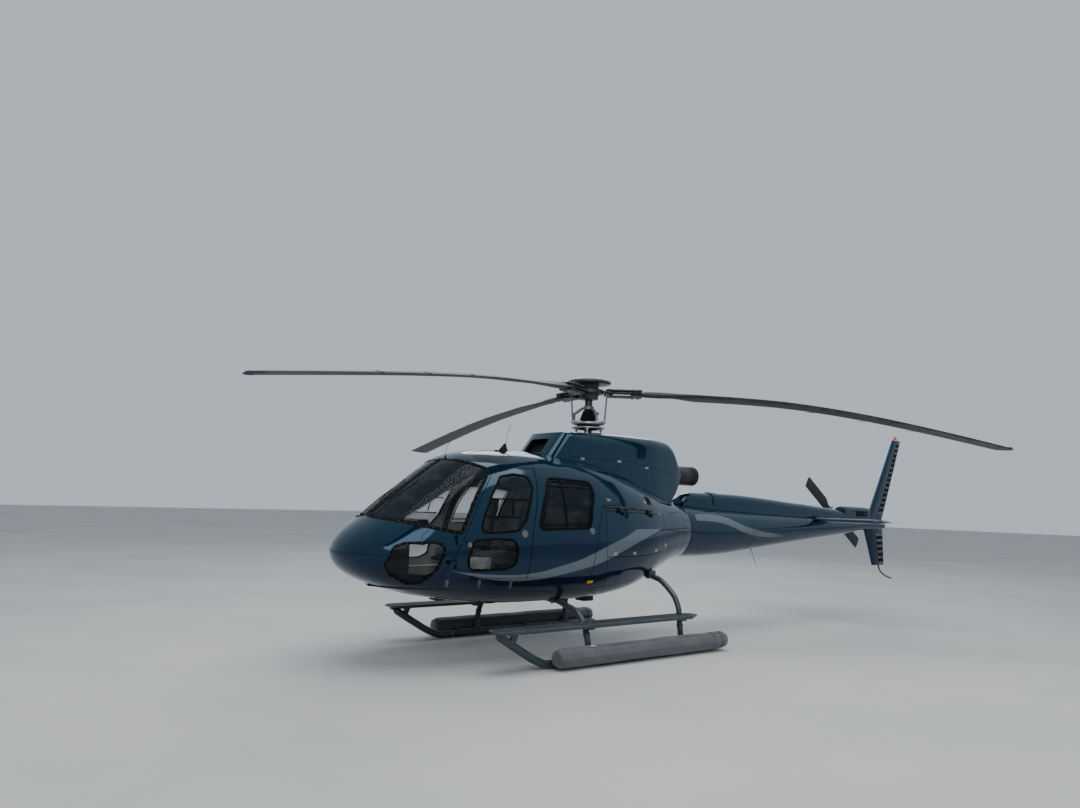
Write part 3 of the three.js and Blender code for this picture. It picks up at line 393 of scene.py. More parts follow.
def apply(obj, kind, **settings):
    """Adds one modifier and applies it."""
    pick(obj)
    made = obj.modifiers.new(kind.title(), kind)
    for name, value in settings.items():
        setattr(made, name, value)
    bpy.ops.object.modifier_apply(modifier=made.name)
    return obj


def carve(obj, *tools, operation="DIFFERENCE"):
    """Cuts or crosses a body with others, which are then gone."""
    for tool in tools:
        apply(obj, "BOOLEAN", operation=operation, solver="EXACT", object=tool)
        bpy.data.objects.remove(tool)
    return obj


def edge_round(obj, width, segments=2, degrees=30):
    """Rounds the sharp edges of a body."""
    return apply(
        obj, "BEVEL", width=width, segments=segments, limit_method="ANGLE",
        angle_limit=math.radians(degrees),
    )


def points_of(obj):
    place = np.zeros(len(obj.data.vertices) * 3)
    obj.data.vertices.foreach_get("co", place)
    return place.reshape(-1, 3)


def lay_points(obj, place):
    obj.data.vertices.foreach_set("co", np.asarray(place, float).ravel())
    obj.data.update()


def face_values(mesh, name):
    """The centre or normal of every face of a mesh."""
    found = np.zeros(len(mesh.polygons) * 3)
    mesh.polygons.foreach_get(name, found)
    return found.reshape(-1, 3)


def outward(obj):
    return edit(obj, lambda: bpy.ops.mesh.normals_make_consistent(inside=False))


def sheet_of(name, rows, closed_length=False):
    """A grid primitive laid on rows of points, each row closed to a ring: rows x ring x 3."""
    rows = np.asarray(rows, float)
    if closed_length:
        rows = np.concatenate([rows, rows[:1]])
    rows = np.concatenate([rows, rows[:, :1]], axis=1)
    length, ring, _ = rows.shape
    deselect()
    bpy.ops.mesh.primitive_grid_add(x_subdivisions=ring - 1, y_subdivisions=length - 1, size=1)
    obj = named(name)
    lay_points(obj, rows)
    return edit(obj, lambda: bpy.ops.mesh.remove_doubles(threshold=1e-5))


def solid_of(name, rows):
    """A closed body lofted through rings, with a pole at each end."""
    rows = np.asarray(rows, float)
    start = np.repeat(rows[:1].mean(axis=1, keepdims=True), rows.shape[1], axis=1)
    end = np.repeat(rows[-1:].mean(axis=1, keepdims=True), rows.shape[1], axis=1)
    return outward(sheet_of(name, np.concatenate([start, rows, end])))


def rounded(outline, radius, steps=5):
    """An outline with each corner turned into an arc."""
    points = [np.array(p, float) for p in outline]
    found = []
    for i, corner in enumerate(points):
        before, after = points[i - 1], points[(i + 1) % len(points)]
        one, two = before - corner, after - corner
        long_one, long_two = np.linalg.norm(one), np.linalg.norm(two)
        one, two = one / long_one, two / long_two
        half = math.acos(float(np.clip(one @ two, -1, 1))) / 2
        reach = min(radius / max(math.tan(half), 1e-6), 0.48 * long_one, 0.48 * long_two)
        if radius <= 0 or half > 1.5:
            found.append(corner)
            continue
        for t in np.linspace(0, 1, steps):
            start, end = corner + one * reach, corner + two * reach
            found.append(start * (1 - t) ** 2 + corner * 2 * t * (1 - t) + end * t * t)
    return np.array(found)


def grown(outline, distance):
    """An outline moved outwards by a distance, or inwards where it is negative."""
    points = np.asarray(outline, float)
    ahead, behind = np.roll(points, -1, axis=0), np.roll(points, 1, axis=0)
    area = np.sum(points[:, 0] * ahead[:, 1] - ahead[:, 0] * points[:, 1])

    def edge_normal(start, end):
        way = end - start
        way = way / np.maximum(np.linalg.norm(way, axis=1), 1e-9)[:, None]
        return np.column_stack([way[:, 1], -way[:, 0]]) * np.sign(area)

    one, two = edge_normal(behind, points), edge_normal(points, ahead)
    corner = one + two
    scale = 2 / np.maximum(np.sum(corner * corner, axis=1), 0.5)
    return points + corner * scale[:, None] * distance


def dense(outline, step, closed=True):
    """An outline or line with more points along its straight stretches."""
    points = [np.array(p, float) for p in outline]
    ends = points[1:] + points[:1] if closed else points[1:]
    found = []
    for start, end in zip(points, ends):
        count = max(1, int(np.ceil(np.linalg.norm(end - start) / step)))
        found += [start + (end - start) * k / count for k in range(count)]
    if not closed:
        found.append(points[-1])
    return np.array(found)


def prism(outline, low, high, axis=1, lean=None):
    """An outline drawn out between two places on an axis."""
    outline = np.asarray(outline, float)
    rings = []
    for place in (low, high):
        first = outline[:, 0] if lean is None else outline[:, 0] - lean(outline, place)
        columns = [first, outline[:, 1]]
        columns.insert(axis, np.full(len(outline), float(place)))
        rings.append(np.column_stack(columns))
    deselect()
    count = len(outline)
    bpy.ops.mesh.primitive_circle_add(vertices=count, radius=1, fill_type="NGON")
    obj = named("cutter")
    lay_points(obj, rings[0])
    edit(obj, lambda: bpy.ops.mesh.extrude_region_move())
    place = points_of(obj)
    place[count:] = rings[1]
    lay_points(obj, place)
    return outward(obj)


def block(name, low, high, round_by=0.0, segments=2):
    """A cube primitive at its size and place, with rounded edges."""
    low, high = np.array(low, float), np.array(high, float)
    deselect()
    bpy.ops.mesh.primitive_cube_add(size=1, location=tuple((low + high) / 2), scale=tuple(high - low))
    obj = named(name)
    bpy.ops.object.transform_apply(location=True, rotation=True, scale=True)
    if round_by:
        edge_round(obj, round_by, segments)
    return obj


def rod(name, start, end, radius, sides, end_radius=None, round_by=0.0):
    """A round bar or cone between two points."""
    start, end = Vector(start), Vector(end)
    deselect()
    bpy.ops.mesh.primitive_cone_add(
        vertices=sides, radius1=radius, radius2=radius if end_radius is None else end_radius,
        depth=(end - start).length, location=(start + end) / 2,
        rotation=(end - start).to_track_quat("Z", "Y").to_euler(),
    )
    obj = named(name)
    bpy.ops.object.transform_apply(location=True, rotation=True, scale=True)
    if round_by:
        edge_round(obj, round_by)
    return obj


def smooth_line(points, step):
    """Points on a smooth curve through a line's points."""
    points = np.asarray(points, float)
    length = np.concatenate([[0], np.cumsum(np.linalg.norm(np.diff(points, axis=0), axis=1))])
    table = np.column_stack([length, points])
    return through(table, np.linspace(0, length[-1], max(3, int(length[-1] / step) + 1)))


def sweep(name, path, profile, closed=False, up=None):
    """A section drawn along a path. The profile's points are (across, up) from the path."""
    path = np.asarray(path, float)
    if closed:
        way = np.roll(path, -1, axis=0) - np.roll(path, 1, axis=0)
    else:
        way = np.gradient(path, axis=0)
    way /= np.maximum(np.linalg.norm(way, axis=1), 1e-9)[:, None]
    if up is None:
        up = steady_up(way)
    up = np.broadcast_to(np.asarray(up, float), path.shape)
    across = np.cross(way, up)
    across /= np.maximum(np.linalg.norm(across, axis=1), 1e-9)[:, None]
    rise = np.cross(across, way)
    profile = np.asarray(profile, float)
    if profile.ndim == 2:
        profile = np.broadcast_to(profile, (len(path), *profile.shape))
    rows = path[:, None] + across[:, None] * profile[:, :, :1] + rise[:, None] * profile[:, :, 1:]
    if closed:
        return outward(sheet_of(name, rows, closed_length=True))
    return solid_of(name, rows)


def steady_up(way):
    """A direction square to a path that turns as little as it can along it."""
    first = np.array([0.0, 0.0, 1.0]) if abs(way[0][2]) < 0.9 else np.array([1.0, 0.0, 0.0])
    found = []
    last = first - (first @ way[0]) * way[0]
    for step in way:
        last = last - (last @ step) * step
        last = last / np.linalg.norm(last)
        found.append(last)
    return np.array(found)


def circle(radius, sides):
    turn = 2 * np.pi * np.arange(sides) / sides
    return np.column_stack([radius * np.cos(turn), radius * np.sin(turn)])


def tube(name, points, radius, sides=14, step=0.02):
    """A round bar along a smooth curve."""
    return sweep(name, smooth_line(points, step), circle(radius, sides))


def fused(name, *parts):
    """Several bodies as one piece."""
    deselect()
    for part in parts:
        part.select_set(True)
    bpy.context.view_layer.objects.active = parts[0]
    if len(parts) > 1:
        bpy.ops.object.join()
    return named(name)


def copied(template, matrix):
    made = template.copy()
    made.data = template.data.copy()
    made.data.transform(matrix)
    bpy.context.scene.collection.objects.link(made)
    return made


def scattered(name, template, matrices):
    """Copies of one small body, each with its own mesh, as one piece."""
    made = [copied(template, matrix) for matrix in matrices]
    bpy.data.objects.remove(template)
    return fused(name, *made)


def facing(place, normal):
    """The matrix that stands a body's Z on a surface's normal at a place."""
    up = Vector(normal).normalized()
    along = Vector((1.0, 0.0, 0.0))
    side = along - up * along.dot(up)
    side = side.normalized() if side.length > 1e-3 else up.orthogonal().normalized()
    other = up.cross(side)
    made = Matrix((side, other, up)).transposed().to_4x4()
    made.translation = Vector(place)
    return made


def laid(matrix, *parts):
    """Bodies moved by a matrix."""
    for part in parts:
        part.data.transform(matrix)
    return list(parts)


def side_matrix(x, z, side, lift=0.0):
    """The matrix that stands a body on the fuselage's side."""
    spot = np.array([[x, float(side_at(x, z)[0]), z]])
    normal = normals_of(spot)[0] * (1, side, 1)
    return facing(spot[0] * (1, side, 1) + normal * lift, normal)


def plate_on(matrix, half, low, high, round_by, segments=2):
    """A small plate laid on a surface, from its half sizes and its lower and upper height."""
    along, across = half
    plate = block("plate", (-along, -across, low), (along, across, high), round_by, segments)
    return laid(matrix, plate)[0]


def mirrored(obj, name):
    """The right-hand twin of a left-hand piece."""
    made = copied(obj, Matrix.Scale(-1, 4, (0, 1, 0)))
    made.name = name
    made.data.name = name
    made.data.flip_normals()
    return made


def smooth(obj, degrees):
    pick(obj)
    bpy.ops.object.shade_smooth_by_angle(angle=math.radians(degrees), keep_sharp_edges=False)
    return obj


def lay_normals(obj, near=0.0012):
    """Gives a curved surface's faces its true normals, so that cuts leave no dents in the light."""
    mesh = obj.data
    place = points_of(obj)
    on_skin = np.abs(depth_of(place)) < near
    true = normals_of(place)
    corners = np.zeros(len(mesh.loops), int)
    mesh.loops.foreach_get("vertex_index", corners)
    normals = np.zeros(len(mesh.loops) * 3)
    mesh.corner_normals.foreach_get("vector", normals)
    normals = normals.reshape(-1, 3)
    for face in mesh.polygons:
        used = corners[face.loop_start:face.loop_start + face.loop_total]
        if on_skin[used].all() and abs(np.array(face.normal) @ true[used].mean(axis=0)) > 0.85:
            sign = np.sign(np.array(face.normal) @ true[used].mean(axis=0))
            normals[face.loop_start:face.loop_start + face.loop_total] = sign * true[used]
    mesh.normals_split_custom_set(normals.tolist())
    return obj


def sort_faces(obj, finishes, outer=-0.004, inner=-0.026):
    """Paint on the outer face, a darker finish on cut edges and trim on the inner face."""
    mesh = obj.data
    mesh.materials.clear()
    for finish in finishes:
        mesh.materials.append(finish)
    centres = face_values(mesh, "center")
    depth = depth_of(centres)
    inward = (face_values(mesh, "normal") * normals_of(centres)).sum(axis=1) < -0.4
    index = np.where(depth > outer, 0, np.where((depth < inner) & inward, 2, 1))
    mesh.polygons.foreach_set("material_index", np.minimum(index, len(finishes) - 1).astype(np.int32))
    return obj


def finished(obj, body, material=None, replaces=(), angle=35):
    """Settles a piece: its height in the shared frame, its finish, its body and what it stands for."""
    if material is not None:
        obj.data.materials.clear()
        obj.data.materials.append(material)
    if angle:
        smooth(obj, angle)
    obj.data.transform(Matrix.Translation((0, 0, -DROP)))
    obj.data.update()
    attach(obj, body)
    if replaces:
        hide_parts(*([replaces] if isinstance(replaces, str) else replaces))
    return obj

# Finishes

STRIPE_TOP = (
    (2.424, 0.992), (2.331, 0.974), (2.175, 0.957), (1.895, 0.938), (1.657, 0.934), (1.411, 0.957),
    (1.155, 1.009), (0.880, 1.072), (0.663, 1.144), (0.430, 1.228), (0.170, 1.309), (-0.063, 1.404),
)
STRIPE_BOTTOM = (
    (2.424, 0.990), (2.219, 0.938), (1.992, 0.893), (1.756, 0.872), (1.634, 0.868), (1.388, 0.882),
    (1.132, 0.917), (0.863, 0.964), (0.680, 1.002), (0.503, 1.053), (0.256, 1.136), (-0.018, 1.227),
    (-0.334, 1.320), (-0.586, 1.388),
)
STRIPE_END = 1.402
TAIL_STRIPE_TOP = (
    (-1.700, 1.576), (-1.916, 1.586), (-2.238, 1.569), (-2.455, 1.526), (-2.594, 1.481), (-2.918, 1.394),
    (-3.388, 1.334), (-3.909, 1.288),
)
TAIL_STRIPE_BOTTOM = (
    (-1.700, 1.496), (-1.972, 1.492), (-2.280, 1.462), (-2.502, 1.404), (-2.736, 1.338), (-3.010, 1.292),
    (-3.403, 1.268), (-3.925, 1.262),
)
STATION_SPAN = (-4.0, 3.0)
PAINT_GLINT = (0.26, 0.55, 0.92, 1.0)


def height_line(finish, x, line):
    """A measured line as a smooth curve: its height at each place along the body."""
    first, last = STATION_SPAN
    points = [((px - first) / (last - first), pz / 2) for px, pz in sorted(line)]
    share = (x - first) / (last - first)
    made = finish.make("ShaderNodeFloatCurve", {"curve": points}, {"Value": share})
    return Value(finish, made.outputs[0]) * 2.0


def band_mask(finish, x, z, top, bottom, soft=0.004):
    """1 between two measured lines."""
    over = (z - height_line(finish, x, bottom)).step(-soft, soft)
    under = (height_line(finish, x, top) - z).step(-soft, soft)
    return over * under


def stripe_mask(finish, x, z):
    """The long grey sweep along the doors and the thin one on the tail boom."""
    low = (x - STRIPE_BOTTOM[-1][0]).step(-0.02, 0.02)
    front = (STRIPE_TOP[0][0] - x).step(-0.01, 0.01)
    under_end = (STRIPE_END - z).step(-0.004, 0.004)
    ahead = (x - STRIPE_TOP[-1][0]).step(-0.004, 0.004)
    over = (z - height_line(finish, x, STRIPE_BOTTOM)).step(-0.004, 0.004)
    under = (height_line(finish, x, STRIPE_TOP) - z).step(-0.004, 0.004).maximum(1.0 - ahead)
    sweep_mask = over * under * under_end * front * low
    tail = band_mask(finish, x, z, TAIL_STRIPE_TOP, TAIL_STRIPE_BOTTOM)
    rear, root = TAIL_STRIPE_TOP[-1][0], TAIL_STRIPE_TOP[0][0]
    tail = tail * (root - x).step(-0.01, 0.01) * (x - rear).step(0.0, 0.6)
    return sweep_mask.maximum(tail)


def paint_finish(name, colours, striped=False):
    """Metallic gloss paint: painted shade low down, flake, faint ripple, dust low down and dulled scuffs.
    """
    finish = Finish(name)
    x, _, height = finish.axes()
    z = height + DROP
    cloudy = finish.noise(1.6, 4.0)
    flake = finish.noise(900.0, 1.0)
    streaks = finish.noise(1.0, 5.0, vector=finish.stretched((7.0, 7.0, 1.2)))
    # Painted shade: the paint drifts to its darker tone low down and stays lighter up high, as reflections
    # of ground and sky fall
    colour = finish.mix((z + cloudy * 0.3).step(0.95, 1.75), colours["paint_shaded_low"], colours["paint"])
    colour = finish.mix(flake.step(0.55, 0.8) * 0.22, colour, colours["flake"])
    if striped:
        colour = finish.mix(stripe_mask(finish, x, z), colour, colours["stripe"])
    dusty = (1.0 - z).step(-0.1, 0.55) * streaks.step(0.35, 0.75)
    colour = finish.mix(dusty * 0.12 + streaks.step(0.6, 0.9) * 0.02, colour, colours["dust"])
    rough = dusty * 0.2 + finish.noise(9.0, 5.0) * 0.06 + 0.05
    ripple = finish.bump(finish.noise(14.0, 2.0) + flake * 0.04, 0.05, 0.004)
    return finish.shade(
        Base_Color=colour, Roughness=rough, Metallic=0.1, Specular_IOR_Level=0.5,
        Specular_Tint=PAINT_GLINT, Coat_Weight=0.25, Coat_Roughness=0.04, Normal=ripple,
    )


def plain_finish(
    name, first, second, rough, grain=60.0, bump=0.15, coat=0.0, wear=None, glint=0.3
):
    """A finish with cloudy colour, a grain and, where it is given, a colour that wear lets through."""
    finish = Finish(name)
    cloudy = finish.noise(5.0, 5.0)
    fine = finish.noise(grain, 4.0)
    colour = finish.mix(cloudy.step(0.3, 0.72), first, second)
    if wear is not None:
        worn = finish.noise(22.0, 6.0, 0.7).step(0.62, 0.7)
        colour = finish.mix(worn * 0.8, colour, wear)
    roughness = fine * (rough[1] - rough[0]) + rough[0]
    return finish.shade(
        Base_Color=colour, Roughness=roughness, Specular_IOR_Level=glint, Coat_Weight=coat,
        Normal=finish.bump(fine, bump, 0.001),
    )


def metal_finish(name, first, second, rough=(0.25, 0.45), metallic=0.95):
    """Bare metal with drawn-out machining lines and stains."""
    finish = Finish(name)
    lines = finish.noise(60.0, 3.0, vector=finish.stretched((1.0, 1.0, 14.0)))
    stain = finish.noise(8.0, 5.0, 0.65)
    colour = finish.mix(stain.step(0.4, 0.75), first, second)
    roughness = lines * (rough[1] - rough[0]) + rough[0] + stain.step(0.5, 0.8) * 0.15
    return finish.shade(
        Base_Color=colour, Roughness=roughness, Metallic=metallic, Normal=finish.bump(lines, 0.12, 0.0006),
    )


def glass_finish(name, tint, body, dust):
    """Clear glazing: see-through straight on, bright at a glancing angle, with dust smears and specks."""
    finish = Finish(name)
    glancing = finish.node("ShaderNodeFresnel", None, {"IOR": 1.5})
    smears = finish.noise(1.0, 4.0, vector=finish.stretched((3.0, 3.0, 9.0)))
    specks = finish.noise(260.0, 2.0).step(0.7, 0.8)
    alpha = (glancing * 1.2 + body + smears.step(0.5, 0.8) * 0.05 + specks * 0.05).clamp()
    colour = finish.mix(smears.step(0.45, 0.85) * 0.3, tint, dust)
    return finish.shade(
        Base_Color=colour, Roughness=smears * 0.06 + 0.02, Alpha=alpha,
        Normal=finish.bump(finish.noise(2.2, 1.0), 0.02, 0.01),
    )


def weave_finish(name, first, second, worn, thread):
    """Woven cloth: crossing threads, faded patches and a little nap."""
    finish = Finish(name)
    x, y, z = finish.axes()
    warp = (x * thread + z * thread * 0.3).math("SINE")
    weft = (y * thread + z * thread).math("SINE")
    cloth = warp * weft * 0.5 + 0.5
    faded = finish.noise(7.0, 5.0).step(0.35, 0.75)
    colour = finish.mix(cloth, first, second)
    colour = finish.mix(faded * 0.2, colour, worn)
    return finish.shade(
        Base_Color=colour, Roughness=faded * 0.12 + 0.8, Sheen_Weight=0.3,
        Normal=finish.bump(cloth + finish.noise(40.0, 3.0) * 0.8, 0.5, 0.0008),
    )


def leather_finish(name, first, second, worn):
    """Coated seat cloth with a pebbled grain."""
    finish = Finish(name)
    cells = finish.node(
        "ShaderNodeTexVoronoi", {"feature": "DISTANCE_TO_EDGE"}, {"Vector": finish.where(), "Scale": 420.0}
    )
    cloudy = finish.noise(6.0, 5.0)
    colour = finish.mix(cloudy.step(0.3, 0.75), first, second)
    # The grain's creases are drawn halfway to a darker colour
    colour = finish.mix(cells.step(0.0, 0.12) * -0.5 + 0.5, colour, worn)
    return finish.shade(
        Base_Color=colour, Roughness=cloudy * 0.2 + 0.45,
        Normal=finish.bump(cells.step(0.0, 0.15) + cloudy * 0.4, 0.35, 0.0007),
    )


def gear_finish(name, colours):
    """Gear paint: scuffed semi-gloss with grey dust on its upper side and bare chips."""
    finish = Finish(name)
    cloudy = finish.noise(4.0, 5.0)
    chips = finish.noise(48.0, 6.0, 0.7).step(0.66, 0.69)
    upward = Value(
        finish,
        finish.make(
            "ShaderNodeSeparateXYZ", None, {0: finish.make("ShaderNodeNewGeometry").outputs["Normal"]}
        ).outputs[2],
    )
    dust = upward.step(0.3, 0.95) * finish.noise(11.0, 5.0).step(0.3, 0.7)
    colour = finish.mix(cloudy.step(0.3, 0.7), colours["gear"], colours["gear_deep"])
    colour = finish.mix(dust * 0.45, colour, colours["dust"])
    colour = finish.mix(chips * 0.7, colour, colours["chip"])
    return finish.shade(
        Base_Color=colour, Roughness=dust * 0.3 + cloudy * 0.15 + 0.32, Metallic=chips * 0.6,
        Coat_Weight=0.2, Normal=finish.bump(chips * -1.0 + finish.noise(120.0, 3.0) * 0.4, 0.2, 0.0008),
    )


def step_finish(name, colours):
    """Gritty black tread over the gear paint of a step board."""
    finish = Finish(name)
    grit = finish.noise(700.0, 2.0)
    cloudy = finish.noise(6.0, 5.0)
    colour = finish.mix(cloudy.step(0.3, 0.75), colours["tread"], colours["gear"])
    colour = finish.mix(grit.step(0.6, 0.8) * 0.35, colour, colours["dust"])
    return finish.shade(
        Base_Color=colour, Roughness=grit * 0.2 + 0.75, Normal=finish.bump(grit, 0.7, 0.0012),
    )


def blade_finish(name, colours):
    """Matt composite skin with chordwise wipe marks."""
    finish = Finish(name)
    wipes = finish.noise(1.0, 5.0, vector=finish.stretched((9.0, 9.0, 60.0)))
    weave = finish.noise(300.0, 3.0)
    colour = finish.mix(wipes.step(0.35, 0.7), colours["blade"], colours["blade_worn"])
    return finish.shade(
        Base_Color=colour, Roughness=wipes * 0.2 + 0.45, Normal=finish.bump(weave + wipes, 0.12, 0.0006),
    )


def exhaust_finish(name, colours):
    """Heat-stained steel: brown and blue bands, and soot towards the mouth."""
    finish = Finish(name)
    x, _, _ = finish.axes()
    bands = finish.noise(1.0, 4.0, vector=finish.stretched((9.0, 2.0, 2.0)))
    soot = (x * -1.0).step(1.55, 1.95) * finish.noise(9.0, 5.0).step(0.25, 0.7)
    colour = finish.mix(bands.step(0.35, 0.6), colours["exhaust"], colours["exhaust_brown"])
    colour = finish.mix(bands.step(0.6, 0.72) * 0.5, colour, colours["exhaust_blue"])
    colour = finish.mix(soot * 0.8, colour, colours["soot"])
    return finish.shade(
        Base_Color=colour, Roughness=soot * 0.35 + bands * 0.15 + 0.3, Metallic=0.85,
        Normal=finish.bump(finish.noise(90.0, 4.0), 0.12, 0.0008),
    )


def glow_finish(name, colour, deep):
    """A moulded lens: ribbed inside, clear coated outside."""
    finish = Finish(name)
    z = finish.axes()[2]
    ribs = (z * 900.0).math("SINE") * 0.5 + 0.5
    shaded = finish.mix(ribs, colour, deep)
    return finish.shade(
        Base_Color=shaded, Roughness=0.12, Coat_Weight=1.0, Emission_Color=colour, Emission_Strength=0.08,
        Normal=finish.bump(ribs, 0.25, 0.001),
    )


def rail_finish(name, colours):
    """A worn sliding rail: paint rubbed through along its middle."""
    finish = Finish(name)
    rub = finish.noise(1.0, 5.0, vector=finish.stretched((4.0, 60.0, 60.0)))
    bare = rub.step(0.55, 0.7)
    colour = finish.mix(bare * 0.6, colours["seal"], colours["steel_deep"])
    return finish.shade(Base_Color=colour, Roughness=rub * 0.2 + 0.35, Metallic=bare * 0.6)


def screen_finish(name, colours):
    """A fine mesh of crossing wires over painted shade, black for the dark opening behind it."""
    finish = Finish(name)
    _, y, z = finish.axes()
    wires = (y * 700.0).math("SINE").maximum((z * 700.0).math("SINE")).step(0.6, 0.9)
    # Between the wires the black is painted shade of the intake's inside
    colour = finish.mix(wires * 0.3, colours["void"], colours["seal"])
    return finish.shade(
        Base_Color=colour, Roughness=0.7, Specular_IOR_Level=0.2, Metallic=wires * 0.3,
        Normal=finish.bump(wires, 0.6, 0.002),
    )


def floor_finish(name, colours):
    finish = Finish(name)
    spots = finish.noise(0.4, 5.0)
    colour = finish.mix(spots.step(0.3, 0.7), colours["floor"], colours["floor_deep"])
    return finish.shade(
        Base_Color=colour, Roughness=0.85, Normal=finish.bump(finish.noise(30.0, 4.0), 0.05, 0.002),
    )


FINISHES = {}


def make_finishes(colours):
    """Every finish of the part, by its own name."""
    c = colours
    FINISHES.update({
        "paint": paint_finish("petrol_gloss", c, striped=True),
        "cowl_paint": paint_finish("cowl_gloss", c),
        "jamb": plain_finish("door_jamb", c["jamb"], c["seal"], (0.5, 0.7)),
        "trim": plain_finish("headliner", c["trim"], c["trim_deep"], (0.75, 0.9), grain=220.0, bump=0.4),
        "hood": plain_finish("panel_hood", c["hood"], c["seal"], (0.7, 0.9), grain=400.0, bump=0.5),
        "seal": plain_finish("window_rubber", c["void"], c["seal"], (0.55, 0.8), grain=180.0, glint=0.1),
        "satin": plain_finish("satin_black", c["seal"], c["hood"], (0.3, 0.5), grain=90.0, wear=c["chip"]),
        "grey": plain_finish("grey_fittings", c["stripe"], c["gear"], (0.4, 0.6), grain=90.0),
        "glass": glass_finish("clear_pane", c["glass"], 0.07, c["dust"]),
        "roof_glass": glass_finish("tinted_roof_pane", c["roof_glass"], 0.6, c["dust"]),
        "seat": leather_finish("seat_cover", c["seat"], c["seat_deep"], c["hood"]),
        "belt": weave_finish("webbing", c["seal"], c["hood"], c["gear"], 1400.0),
        "float": weave_finish("float_cloth", c["float"], c["float_deep"], c["dust"], 700.0),
        "strap": weave_finish("float_strap", c["float_deep"], c["seal"], c["float"], 1500.0),
        "gear": gear_finish("gear_paint_scuffed", c),
        "tread": step_finish("step_tread", c),
        "steel": metal_finish("bright_steel", c["steel"], c["steel_deep"]),
        "dull_steel": metal_finish("dull_steel", c["steel_deep"], c["chip"], (0.4, 0.6), metallic=0.8),
        "hub": metal_finish("hub_grey", c["hub"], c["hub_deep"], (0.35, 0.55), metallic=0.55),
        "cap": plain_finish("hub_cap_paint", c["cap"], c["hub_deep"], (0.3, 0.5), grain=70.0, coat=0.3),
        "rubber": plain_finish("elastomer", c["seal"], c["hood"], (0.6, 0.8), grain=110.0, bump=0.4),
        "blade": blade_finish("blade_skin", c),
        "blade_edge": metal_finish("blade_edge_strip", c["edge"], c["blade"], (0.35, 0.55), metallic=0.7),
        "tail_blade": plain_finish(
            "tail_blade_skin", c["tail_blade"], c["blade"], (0.4, 0.6), wear=c["chip"],
        ),
        "exhaust": exhaust_finish("exhaust_steel", c),
        # Near black for the exhaust's soot and for painted shade in openings: the engine bay and the
        # cover's slots
        "void": plain_finish("soot_black", c["void"], c["seal"], (0.85, 1.0)),
        "screen": screen_finish("intake_screen", c),
        "lens": glow_finish("red_lens", c["lens"], c["lens_deep"]),
        "clear_lens": glow_finish("clear_lens", c["lamp"], c["trim_deep"]),
        "yellow": plain_finish("yellow_handle", c["yellow"], c["yellow_deep"], (0.4, 0.6), grain=80.0),
        "tether": weave_finish("orange_tether", c["tether"], c["tether_deep"], c["lens"], 1600.0),
        "pale": plain_finish("pale_fitting", c["trim"], c["stripe"], (0.35, 0.55), grain=90.0),
        "rail": rail_finish("worn_rail", c),
        "engine": metal_finish("engine_casing", c["steel_deep"], c["exhaust_brown"], (0.4, 0.6)),
        "gearbox": plain_finish("gearbox_casing", c["gear"], c["hub_deep"], (0.4, 0.6), wear=c["chip"]),
        "floor": floor_finish("studio_floor", c),
    })


COLOURS = {
    # The paint's darker tone is painted shade, the navy the body shows low down where it reflects the
    # ground
    "paint": tone(9, 35, 47), "paint_shaded_low": tone(4, 14, 38), "flake": tone(40, 78, 92),
    "stripe": tone(92, 100, 104), "dust": tone(128, 128, 124), "jamb": tone(22, 26, 30),
    "seal": tone(10, 11, 12), "hood": tone(30, 32, 35), "trim": tone(196, 196, 190),
    "trim_deep": tone(160, 160, 155), "glass": tone(40, 50, 58), "roof_glass": tone(14, 30, 36),
    "seat": tone(86, 88, 92), "seat_deep": tone(62, 65, 70), "float": tone(76, 80, 86),
    "float_deep": tone(58, 62, 68), "gear": tone(46, 58, 64), "gear_deep": tone(34, 46, 53),
    "chip": tone(120, 124, 126), "tread": tone(24, 28, 30), "steel": tone(178, 180, 180),
    "steel_deep": tone(112, 116, 118), "hub": tone(66, 70, 72), "hub_deep": tone(38, 42, 45),
    "cap": tone(58, 63, 66), "blade": tone(38, 44, 47), "blade_worn": tone(54, 60, 63),
    "edge": tone(78, 82, 84), "tail_blade": tone(52, 50, 50), "exhaust": tone(82, 82, 84),
    "exhaust_brown": tone(66, 61, 57), "exhaust_blue": tone(60, 62, 70), "soot": tone(20, 19, 18),
    # The blackest tone: part of the rubbers' colour, soot, and painted shade in openings
    "void": tone(5, 5, 6), "lens": tone(190, 22, 16), "lens_deep": tone(110, 8, 8),
    "lamp": tone(226, 228, 226), "yellow": tone(226, 188, 40), "yellow_deep": tone(190, 150, 24),
    "tether": tone(214, 84, 40), "tether_deep": tone(160, 52, 28), "floor": tone(186, 186, 184),
    "floor_deep": tone(176, 177, 176),
}

# Cabin and rear fuselage


def stations_between(first, last, step=0.05):
    if last <= NOSE_START:
        return np.linspace(first, last, int(np.ceil((last - first) / step)) + 1)
    body = np.linspace(first, NOSE_START, int(np.ceil((NOSE_START - first) / step)) + 1)
    tip = NOSE_TIP - (NOSE_TIP - NOSE_START) * np.linspace(1, 0.1, 9)[1:] ** 2
    return np.concatenate([body, tip])


def skin(name, first, last, outer=0.0, inner=SKIN):
    """A stretch of the fuselage's wall between two depths below its surface."""
    places = stations_between(first, last)
    outside = np.array([fuselage_ring(x, outer) for x in places])
    inward = places[places <= 3.16] if last > NOSE_START else places
    within = np.array([fuselage_ring(x, inner) for x in inward])
    if last > NOSE_START:
        return solid_of(name, np.concatenate([outside[::-1], within]))
    return outward(sheet_of(name, np.concatenate([outside, within[::-1]]), closed_length=True))


def side_prism(outline, side, radius=0.0, inboard=POST_HALF, grow=0.0):
    points = rounded(outline, radius) if radius else np.array(outline, float)
    if grow:
        points = grown(points, grow)
    return prism(points, side * inboard, side * WIDE)


def slanted_prism(outline, side):
    """A cut whose edges lean back outwards, which leaves room for a door that swings up."""
    points = dense(rounded(outline, 0.02), 0.08)
    middle = side_at(points[:, 0], points[:, 1])
    return prism(
        points, side * POST_HALF, side * WIDE, lean=lambda _, place: BAGGAGE_SLANT * (abs(place) - middle)
    )


